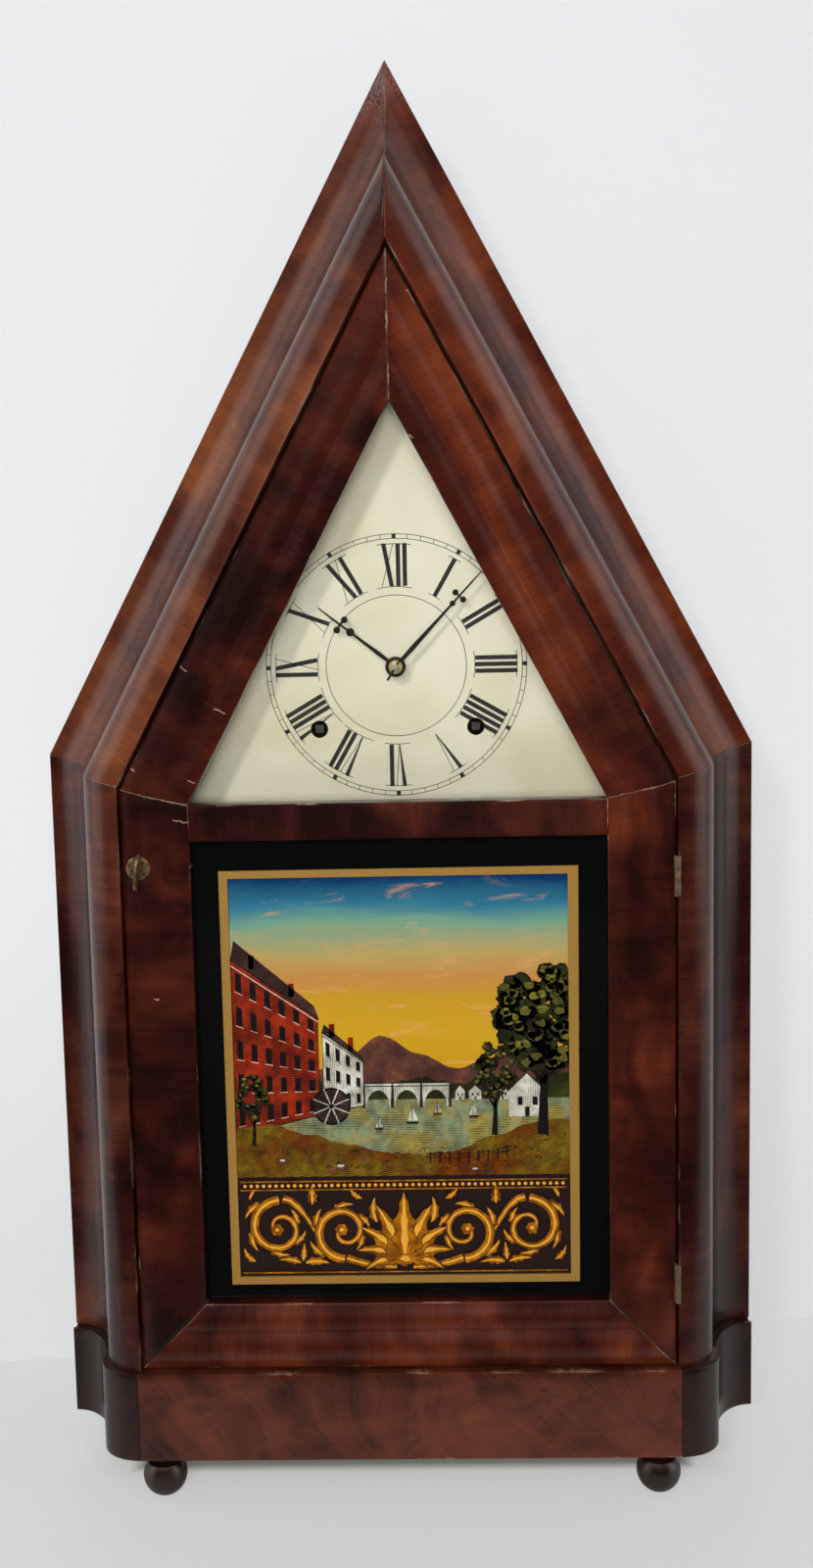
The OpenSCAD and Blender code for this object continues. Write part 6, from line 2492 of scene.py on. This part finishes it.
    def cottage(self, x: float, z: float, width: float, height: float, paint: Paint) -> None:
        """Lays a small house with its gable to the viewer.

        Args:
            x: Its left side, across.
            z: Its foot, up.
            width: Its width.
            height: Height of its walls.
            paint: Its colour.
        """
        self.over()
        self.lay(
            [
                (x, z), (x + width, z), (x + width, z + height), (x + width / 2, z + height * 1.6),
                (x, z + height)
            ], paint
        )
        self.over()
        roof = [
            (x - 0.8, z + height - 0.5), (x + width / 2, z + height * 1.64),
            (x + width + 0.8, z + height - 0.5)
        ]
        self.stroke(roof, 0.5, Paint.ROOF)
        for share in (0.24, 0.66):
            self.box(
                x + width * share, z + height * 0.42, x + width * (share + 0.14), z + height * 0.74,
                Paint.INK
            )
        self.box(x + width * 0.44, z, x + width * 0.57, z + height * 0.36, Paint.INK)

    def bridge(self, x0: float, x1: float, foot: float, height: float, arches: int) -> None:
        """Lays an arched stone bridge with its courses and parapet.

        Args:
            x0: Its left end, across.
            x1: Its right end, across.
            foot: Height of the water.
            height: Its height over the water.
            arches: Number of its arches.
        """
        self.over()
        pitch = (x1 - x0) / arches
        shape = [(x0, foot)]
        for k in range(arches):
            start, radius = x0 + k * pitch + 1.4, pitch / 2 - 1.4
            for i in range(13):
                turn = math.pi * i / 12
                shape.append(
                    (start + radius * (1 - math.cos(turn)), foot + (height - 3.4) * math.sin(turn))
                )
        self.lay(shape + [(x1, foot), (x1, foot + height), (x0, foot + height)], Paint.PALE)
        self.over()
        for up in (height, height - 1.5):
            self.stroke([(x0 - 1, foot + up), (x1 + 1, foot + up)], 0.25, Paint.INK)
        for k in range(arches + 1):
            self.stroke(
                [(x0 + k * pitch, foot - 0.5), (x0 + k * pitch, foot + height)], lambda t: 0.9 - 0.5 * t,
                Paint.ROOF
            )

    def boat(self, x: float, z: float, size: float) -> None:
        """Lays a small sailing boat and its mirror image in the water.

        Args:
            x: Its middle, across.
            z: Its water line, up.
            size: Half its length.
        """
        self.over()
        self.lay(
            [
                (x - size, z), (x + size, z), (x + size * 0.7, z - size * 0.34),
                (x - size * 0.7, z - size * 0.34)
            ], Paint.INK
        )
        self.lay([(x + 0.1, z + 0.4), (x + size * 0.8, z + 0.6), (x + 0.1, z + size * 2.2)], Paint.PALE)
        self.lay([(x - 0.4, z + 0.4), (x - 0.4, z + size * 1.9), (x - size * 0.75, z + 0.6)], Paint.PALE)
        self.over()
        self.stroke([(x - 0.1, z), (x - 0.1, z + size * 2.5)], 0.14, Paint.INK)
        for k in range(3):
            self.stroke(
                [(x - size * 0.7, z - size * 0.5 - k), (x + size * 0.6, z - size * 0.5 - k)],
                0.12, Paint.INK
            )

    def landscape(self) -> None:
        """Lays the evening landscape from the sky to the near bank."""
        self.box(self.left, self.band, self.right, self.high, Paint.SKY)
        self.over()
        self.ridge([214, 209, 206, 214, 224, 215, 208, 213, 220, 212], 188, Paint.HILL)
        self.over()
        self.ridge([200, 198, 203, 199, 201, 204, 200, 205, 203, 206], 186, Paint.LEAF, 1.1)
        self.over()
        self.box(self.left, 160, self.right, 193, Paint.WATER)
        for x, width, paint in (
            (31, 6, Paint.PALE), (38, 5, Paint.RED), (24.5, 4.6, Paint.PALE), (44, 6, Paint.PALE)
        ):
            self.cottage(x, 192.5, width, 4.4, paint)
        self.bridge(-19, 22, 189.5, 11.5, 3)
        self.wall((-38, 187, 226), (-19, 190, 212), Paint.PALE, 3, 4)
        self.wall((self.left, 176, 262), (-40, 186, 233), Paint.RED, 5, 6)
        self.wheel(-34.5, 190, 9.2)
        for x, z, size in ((4, 182, 3.4), (16, 186, 2.3), (33, 184.5, 2.7), (-12, 179, 2.2)):
            self.boat(x, z, size)
        self.cottage(50, 184, 17, 13, Paint.PALE)
        self.over()
        self.ridge([180, 181, 176, 171, 167, 166, 168, 175, 181, 183], self.band, Paint.GROUND, 0.6)
        self.tree(66, 176, 86, 46, 120)
        self.tree(43, 176, 46, 21, 56)
        self.tree(-72, 172, 34, 18, 44)
        self.near_bank()

    def wheel(self, x: float, z: float, radius: float) -> None:
        """Lays a water wheel with its spokes and floats.

        Args:
            x: Its middle, across.
            z: Its middle, up.
            radius: Its radius.
        """
        self.over()
        for size, paint in ((radius, Paint.INK), (radius - 1.1, Paint.ROOF), (1.6, Paint.INK)):
            self.lay(
                [
                    (
                        x + size * math.cos(a * math.pi / 14), z + size * math.sin(a * math.pi / 14)
                    ) for a in range(28)
                ], paint
            )
            self.over()
        for k in range(8):
            turn = math.pi * k / 8
            dx, dz = radius * math.cos(turn), radius * math.sin(turn)
            self.stroke([(x - dx, z - dz), (x + dx, z + dz)], 0.3, Paint.PALE if k % 2 else Paint.INK)

    def near_bank(self) -> None:
        """Lays the fence, the stones and the grass of the near bank."""
        self.over()
        for k in range(9):
            x, z = 12 + k * 4.6, 163.5 + 0.09 * (k - 2) ** 2
            self.stroke([(x, z - 2.4), (x + 0.2, z + 3.2)], 0.34, Paint.INK)
        for up in (0.4, 2.1):
            self.stroke(
                [(10 + k * 4.6, 163.5 + 0.09 * (k - 2.4) ** 2 + up) for k in range(10)], 0.2,
                Paint.INK
            )
        for x, z, size in (
            (-30, 160, 3.2), (-35, 158.4, 2.2), (-58, 163, 2.8), (34, 158, 2.6), (39, 157.4, 1.8),
            (-20, 164, 2)
        ):
            self.blob(x, z, size, size * 0.55, Paint.HILL, 9)
        self.over()
        for x, z, size in ((-30.6, 160.7, 1.6), (-58.6, 163.6, 1.4), (33.4, 158.6, 1.3)):
            self.blob(x, z, size, size * 0.4, Paint.PALE, 7)
        self.over()
        for _ in range(240):
            x, share = self.rand.uniform(self.left + 2, self.right - 2), self.rand.random()
            z = self.band + 1 + share * (12 + 0.0018 * x * x)
            size = self.rand.uniform(0.5, 1.5)
            self.stroke(
                [(x - size, z), (x - 0.2 * size, z + size), (x + size, z + 0.2 * size)], 0.15,
                self.rand.choice((Paint.INK, Paint.INK, Paint.LEAF_LIGHT))
            )

    def ring(self, x: float, z: float, size: float, turns: float, first: float, way: int) -> list[Point2]:
        """Points of a scroll that winds in to its middle.

        Args:
            x: Its middle, across.
            z: Its middle, up.
            size: Its first radius.
            turns: Number of turns.
            first: Angle at which it starts.
            way: 1 for anticlockwise, -1 for clockwise.

        Returns:
            The points.
        """
        points = []
        for i in range(49):
            share = i / 48
            radius = size * (1 - share) ** 0.85 + size * 0.12
            turn = math.radians(first) + way * 2 * math.pi * turns * share
            points.append((x + radius * math.cos(turn), z + radius * math.sin(turn)))
        return points

    def gilded(self, line: Sequence[Point2], half: Callable[[float], float]) -> None:
        """Lays a gilt ribbon with a dark edge and a bright line.

        Args:
            line: Points on its middle.
            half: Half width at each share of its length.
        """
        for wider, paint in ((0.45, Paint.INK), (0.0, Paint.GILT), (None, Paint.GILT_LIGHT)):
            self.over()
            self.stroke(
                line,
                (lambda t: half(t) * 0.3) if wider is None else (lambda t, more=wider: half(t) + more),
                paint
            )

    def leaf(self, x: float, z: float, heading: float, length: float, curl: float) -> None:
        """Lays a notched gilt leaf.

        Args:
            x: Its foot, across.
            z: Its foot, up.
            heading: Direction in which it starts.
            length: Its length.
            curl: How far it turns.
        """
        spine, turn, steps = [(x, z)], math.radians(heading), 14
        for _ in range(steps):
            turn += math.radians(curl) / steps
            x, z = x + math.cos(turn) * length / steps, z + math.sin(turn) * length / steps
            spine.append((x, z))
        wide = length * 0.2
        self.gilded(
            spine,
            lambda t: wide * math.sin(math.pi * t**0.7) * (1 - 0.38 * abs(math.sin(3.5 * math.pi * t)))
        )

    def scroll(self, line: Sequence[Point2], side: int, size: float) -> None:
        """Lays a gilt scroll with leaves along one side and a flower in its eye.

        Args:
            line: Points from its start to its eye.
            side: 1 for leaves on its left, -1 for its right.
            size: Length of its largest leaf.
        """
        count = len(line)
        for k in range(3, int(count * 0.6), 6):
            (x, z), (qx, qz) = line[k], line[k + 1]
            heading = math.degrees(math.atan2(qz - z, qx - x))
            self.leaf(x, z, heading + side * 46, size * (1.05 - 0.5 * k / count), -side * 75)
        self.gilded(line, lambda t: size * 0.17 * (1.05 - 0.75 * t))
        x, z = line[-1]
        for k in range(6):
            turn = 60 * k
            self.over()
            self.blob(
                x + 1.9 * math.cos(math.radians(turn)), z + 1.9 * math.sin(math.radians(turn)), 1.2, 1.2,
                Paint.GILT, 9
            )
        self.over()
        self.blob(x, z, 1.0, 1.0, Paint.GILT_LIGHT, 9)

    def ornament(self) -> None:
        """Lays the dark band with a gilt palmette between leafy scrolls."""
        middle, z = (self.left + self.right) / 2, (self.low + self.band) / 2 - 1.2
        self.over()
        self.box(self.left, self.low, self.right, self.band, Paint.DARK)
        for side in (-1, 1): 
            def turned(points: Sequence[Point2]) -> list[Point2]:
                """Points on this side of the middle."""
                return [(middle + side * x, z + up) for x, up in points]

            inner = self.ring(0, 0, 12.5, 1.35, -90, 1)
            outer = self.ring(0, 0, 12.5, 1.35, 90, -1)
            stem = [(4 + 24 * t, -19.5 + 4.5 * t * t) for t in (0, 0.2, 0.4, 0.6, 0.8, 1.0)]
            link = [
                (39 + 19 * t, -9 + 24 * math.sin(math.pi / 2 * t)) for t in (0, 0.2, 0.4, 0.6, 0.8, 1.0)
            ]
            self.gilded(turned(stem), lambda t: 1.0 + 1.0 * t)
            self.gilded(turned(link), lambda t: 0.6 + 1.4 * t)
            self.scroll(turned([(29 + x, -1.5 + up) for x, up in inner]), -side, 12.5)
            self.scroll(turned([(60 + x, 0.5 + up) for x, up in outer]), side, 12.5)
            for x, up, heading, length, curl in (
                (44, 12, 62, 8, 40), (44, 12, 118, 8, -40), (44, 12, 90, 10, 0), (13, 3, 60, 13, 50),
                (20, 15, 10, 8, 60), (72, -16, 20, 9, 60), (48, -17, 160, 12, 40), (50, -17, 30, 11, -40),
                (49, -16, 95, 9, 0), (74, 15, 100, 6, 40),
            ):
                if side < 0:
                    heading, curl = 180 - heading, -curl
                self.leaf(middle + side * x, z + up, heading, length, curl)
        for k in (-4, 4, -3, 3, -2, 2, -1, 1, 0):
            self.leaf(middle, z - 15, 90 - 19 * k, 33 - 3.2 * abs(k), -14 * k)
        self.over()
        self.blob(middle, z - 15.5, 4.4, 3.0, Paint.GILT, 17)
        self.over()
        self.blob(middle, z - 15.0, 2.4, 1.5, Paint.GILT_LIGHT, 13)
        for height in (self.band - 1.9, self.band - 6.0, self.low + 1.9):
            self.stroke([(self.left + 1.5, height), (self.right - 1.5, height)], 0.35, Paint.GILT)

    def beads(self) -> None:
        """Repeats a small gilt bead along the band's upper border."""
        turns = [a * math.pi / 6 for a in range(12)]
        shape = [(0.85 * math.cos(turn), 0.85 * math.sin(turn)) for turn in turns]
        bead = stamp("tablet_beads_piece", shape, self.film)
        Repeats("row_of_beads").in_row(
            bead, place(self.left + 3.6, self.depth, self.band - 3.95), Vector((2.98 * MM, 0, 0)), 52,
            self.paints[Paint.GILT_LIGHT]
        )
        self.shop.hand_over(bead, Body.DOOR.value, slot="tablet_glass")

    def build(self) -> None:
        """Builds the glass with its border, line and picture."""
        self.paints = [PAINTS[paint].build() for paint in Paint]
        self.shop.refined("tablet_glass", self.shop.finish.black_border)
        self.landscape()
        self.ornament()
        inner = [
            (self.left, self.low), (self.right, self.low), (self.right, self.high), (self.left, self.high)
        ]
        self.over()
        relief = SIZES.glass_depth - self.depth
        add_band(self.work, self.gold_corners, inner, self.depth, relief, Paint.GOLD, closed=True)
        bmesh.ops.recalc_face_normals(self.work, faces=self.work.faces)
        picture = from_bmesh("tablet_picture_piece", self.work)
        dress(picture, *self.paints)
        self.shop.hand_over(picture, Body.DOOR.value, slot="tablet_glass")
        self.beads()


# Boards


@dataclass
class CaseBoards:
    """The plain boards behind the mouldings and the wood inside."""

    shop: Workshop
    board_ease: float = 0.4

    def build(self) -> None:
        """Refines every board."""
        f = self.shop.finish
        for node in ("side_boards", "roof_boards"):
            self.shop.refined(node, f.case_board, self.board_ease)
        self.shop.refined("backboard", f.back_board, self.board_ease)
        for node in ("floor_board", "dial_cleats", "movement_rails"):
            self.shop.refined(node, f.inner_wood)


# Studio


@dataclass(frozen=True)
class Lamp:
    """A soft rectangular light that is seen either on matt surfaces or in reflections."""

    name: str
    spot: tuple[float, float, float]
    aim_height: float
    size: Point2
    power: float
    tint: Colour = (1.0, 1.0, 1.0)
    mirrored: bool = True

    def hang(self) -> None:
        """Hangs the light and aims it at a height over the middle of the clock."""
        data = bpy.data.lights.new(self.name, "AREA")
        data.shape = "RECTANGLE"
        data.size, data.size_y = self.size
        data.energy = self.power
        data.color = self.tint
        lamp = bpy.data.objects.new(self.name, data)
        turn = (Vector((0, 0, self.aim_height)) - Vector(self.spot)).to_track_quat("-Z", "Y")
        lamp.matrix_world = Matrix.Translation(self.spot) @ turn.to_matrix().to_4x4()
        lamp.visible_glossy = self.mirrored
        lamp.visible_diffuse = not self.mirrored
        bpy.context.scene.collection.objects.link(lamp)


LAMPS = (
    Lamp("key_light", (-0.36, -1.5, 0.85), 0.38, (0.17, 0.17), 9.0, (1.0, 0.99, 0.97), False),
    Lamp("front_fill", (0.02, -1.5, 0.5), 0.4, (0.4, 0.4), 11.8, mirrored=False),
    Lamp("soft_glint", (-0.3, -1.3, 1.5), 0.4, (0.4, 0.3), 2.0),
    Lamp("top_sheen", (0.0, -1.25, 1.9), 0.35, (1.8, 0.7), 7.0, (1.0, 0.97, 0.94)),
    Lamp("left_sheen", (-1.3, -0.35, 0.8), 0.4, (0.9, 1.6), 8.0, (1.0, 0.92, 0.86)),
    Lamp("right_sheen", (1.3, -0.35, 0.8), 0.4, (0.9, 1.6), 8.0, (1.0, 0.92, 0.86)),
)


@dataclass
class Studio:
    """The camera, the pale table and wall, and the lights."""

    yaw: float = -1.42
    pitch: float = 6.68
    roll: float = -1.18
    spot: tuple[float, float, float] = (0.0223, -0.7664, 0.4285)
    sensor: float = 36.0
    lens: float = 36.0

    def camera(self) -> None:
        """Sets the camera at the photograph's place."""
        yaw, pitch, roll = (math.radians(v) for v in (self.yaw, self.pitch, self.roll))
        ahead = Vector((math.sin(yaw) * math.cos(pitch), math.cos(yaw) * math.cos(pitch), -math.sin(pitch)))
        right = Vector((math.cos(yaw), -math.sin(yaw), 0))
        up = right.cross(ahead)
        turned_right = right * math.cos(roll) + up * math.sin(roll)
        turned_up = -right * math.sin(roll) + up * math.cos(roll)
        data = bpy.data.cameras.new("portrait_camera")
        data.sensor_fit = "VERTICAL"
        data.sensor_height = self.sensor
        data.lens = self.lens
        data.clip_start = 0.02
        data.dof.use_dof = False
        camera = bpy.data.objects.new("portrait_camera", data)
        rotation = Matrix((turned_right, turned_up, -ahead)).transposed()
        camera.matrix_world = Matrix.Translation(self.spot) @ rotation.to_4x4()
        bpy.context.scene.collection.objects.link(camera)
        bpy.context.scene.camera = camera

    def plane(self, name: str, corners: Sequence[Sequence[float]], material: bpy.types.Material) -> None:
        """Lays a flat stage surface.

        Args:
            name: Name of the surface.
            corners: Its corners in metres.
            material: Its material.
        """
        work = bmesh.new()
        work.faces.new([work.verts.new(c) for c in corners])
        surface = from_bmesh(name, work)
        dress(surface, material)

    def paint(self, name: str, tint: Colour, rough: float, one_sided: bool) -> bpy.types.Material:
        """Paint for the stage, one sided where asked, and dark in mirror rays towards the room, with
        painted shade low on the wall and a painted shadow on the table under the clock.

        Args:
            name: Name of the material.
            tint: Its colour.
            rough: Its roughness.
            one_sided: Whether it is the wall's, clear from behind, or the table's.

        Returns:
            The material.
        """
        g = Graph(name)
        at = g.coords()
        clouds = g.noise(at, (1.5, 1.5, 1.5), 2.0, 0.5)
        shade = g.mix(g.spread(clouds, 0.3, 0.7, 0.0, 0.12), tint, tuple(0.82 * c for c in tint))
        split = g.node("ShaderNodeSeparateXYZ", {0: at})
        if one_sided:
            # Painted shade: the wall is painted darker towards the table, fading out by 0.32 m up.
            shade = g.mix(
                g.spread(split.outputs["Z"], 0.0, 0.32, 0.22, 0.0), shade, tuple(0.6 * c for c in tint)
            )
        else:
            # Painted shadow: the table is painted dark under the clock's footprint and just round it.
            inside = g.less(g.math("ABSOLUTE", split.outputs["X"]), (SIZES.half_w + 8) * MM)
            deep = g.less(g.math("ABSOLUTE", g.less(split.outputs["Y"], 0.02)), 0.05)
            under = g.spread(g.math("MAXIMUM", inside, deep), -0.004, 0.006, 0.8, 0.0)
            shade = g.mix(under, shade, colour(96, 92, 76))
        shader = g.node("ShaderNodeBsdfPrincipled", {"Base Color": shade, "Roughness": rough})
        seen = g.node("ShaderNodeLightPath").outputs["Is Camera Ray"]
        glow = g.node("ShaderNodeEmission", {"Color": shade})
        beside = g.less(g.math("ABSOLUTE", split.outputs["X"]), SIZES.half_w * MM)
        before = g.less(g.math("ABSOLUTE", g.less(split.outputs["Y"], 0.05)), 0.06)
        clear_of_clock = g.spread(g.math("MAXIMUM", beside, before), -0.03, 0.04, 0.0, 0.6)
        even = 0.55 if one_sided else g.times(seen, clear_of_clock)
        last = g.node("ShaderNodeMixShader", {0: even, 1: shader.outputs[0], 2: glow.outputs[0]}).outputs[0]
        if not one_sided:
            mirrored = g.node("ShaderNodeLightPath").outputs["Is Glossy Ray"]
            share = g.times(g.spread(split.outputs["Y"], -0.26, -0.1, 1.0, 0.0), mirrored)
            dim = g.node("ShaderNodeBsdfDiffuse", {"Color": (0.02, 0.02, 0.02, 1.0)})
            last = g.node("ShaderNodeMixShader", {0: share, 1: last, 2: dim.outputs[0]}).outputs[0]
        if one_sided:
            back = g.node("ShaderNodeNewGeometry").outputs["Backfacing"]
            clear = g.node("ShaderNodeBsdfTransparent")
            last = g.node("ShaderNodeMixShader", {0: back, 1: last, 2: clear.outputs[0]}).outputs[0]
        g.tree.links.new(last, g.output.inputs["Surface"])
        return g.material

    def table_and_wall(self) -> None:
        """Sets the table under the clock and the wall behind it."""
        table = self.paint("pale_table", colour(228, 228, 227), 0.35, False)
        wall = self.paint("pale_wall", colour(236, 237, 240), 0.8, True)
        left, right = Vector((-0.23, 0.083, 0)), Vector((0.27, 0.132, 0))
        along = (right - left).normalized()
        a, b = left - along * 3, right + along * 3
        self.plane("stage_table", [(-3, -3, 0), (3, -3, 0), (3, 3, 0), (-3, 3, 0)], table)
        self.plane("stage_wall", [tuple(a), tuple(b), (b.x, b.y, 3.0), (a.x, a.y, 3.0)], wall)

    def room(self) -> None:
        """Sets the room's glow, dim on the viewer's side and set apart for mirror rays."""
        world = bpy.data.worlds.new("pale_room")
        bpy.context.scene.world = world
        world.use_nodes = True
        world.node_tree.nodes.clear()
        g = Nodes(world.node_tree)
        back = g.part(g.node("ShaderNodeTexCoord").outputs["Generated"], "Y")
        matt = g.spread(back, -0.85, 0.8, 0.04, 0.85)
        mirrored = g.spread(back, -0.85, 0.05, 0.08, 0.6)
        rays = g.node("ShaderNodeLightPath").outputs
        lit = g.node("ShaderNodeMix", {0: rays["Is Glossy Ray"], 2: matt, 3: mirrored}).outputs[0]
        seen = g.node("ShaderNodeMix", {0: rays["Is Camera Ray"], 2: lit, 3: 0.85}).outputs[0]
        glow = g.node("ShaderNodeBackground", {"Color": (0.97, 0.985, 1.0, 1.0), "Strength": seen})
        g.node("ShaderNodeOutputWorld", {"Surface": glow.outputs[0]})

    def build(self) -> None:
        """Sets the whole stage."""
        bpy.context.scene.view_settings.view_transform = "Standard"
        self.camera()
        self.table_and_wall()
        for lamp in LAMPS:
            lamp.hang()
        self.room()


def main() -> None:
    """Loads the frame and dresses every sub-assembly."""
    logging.basicConfig(level=logging.INFO, format="%(message)s")
    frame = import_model()
    Studio().build()
    shop = Workshop(frame, Finishes())
    CaseFront(shop).build()
    CaseBoards(shop).build()
    Door(shop).build()
    DialFace(shop).build()
    Movement(shop).build()


if __name__ == "__main__":
    main()
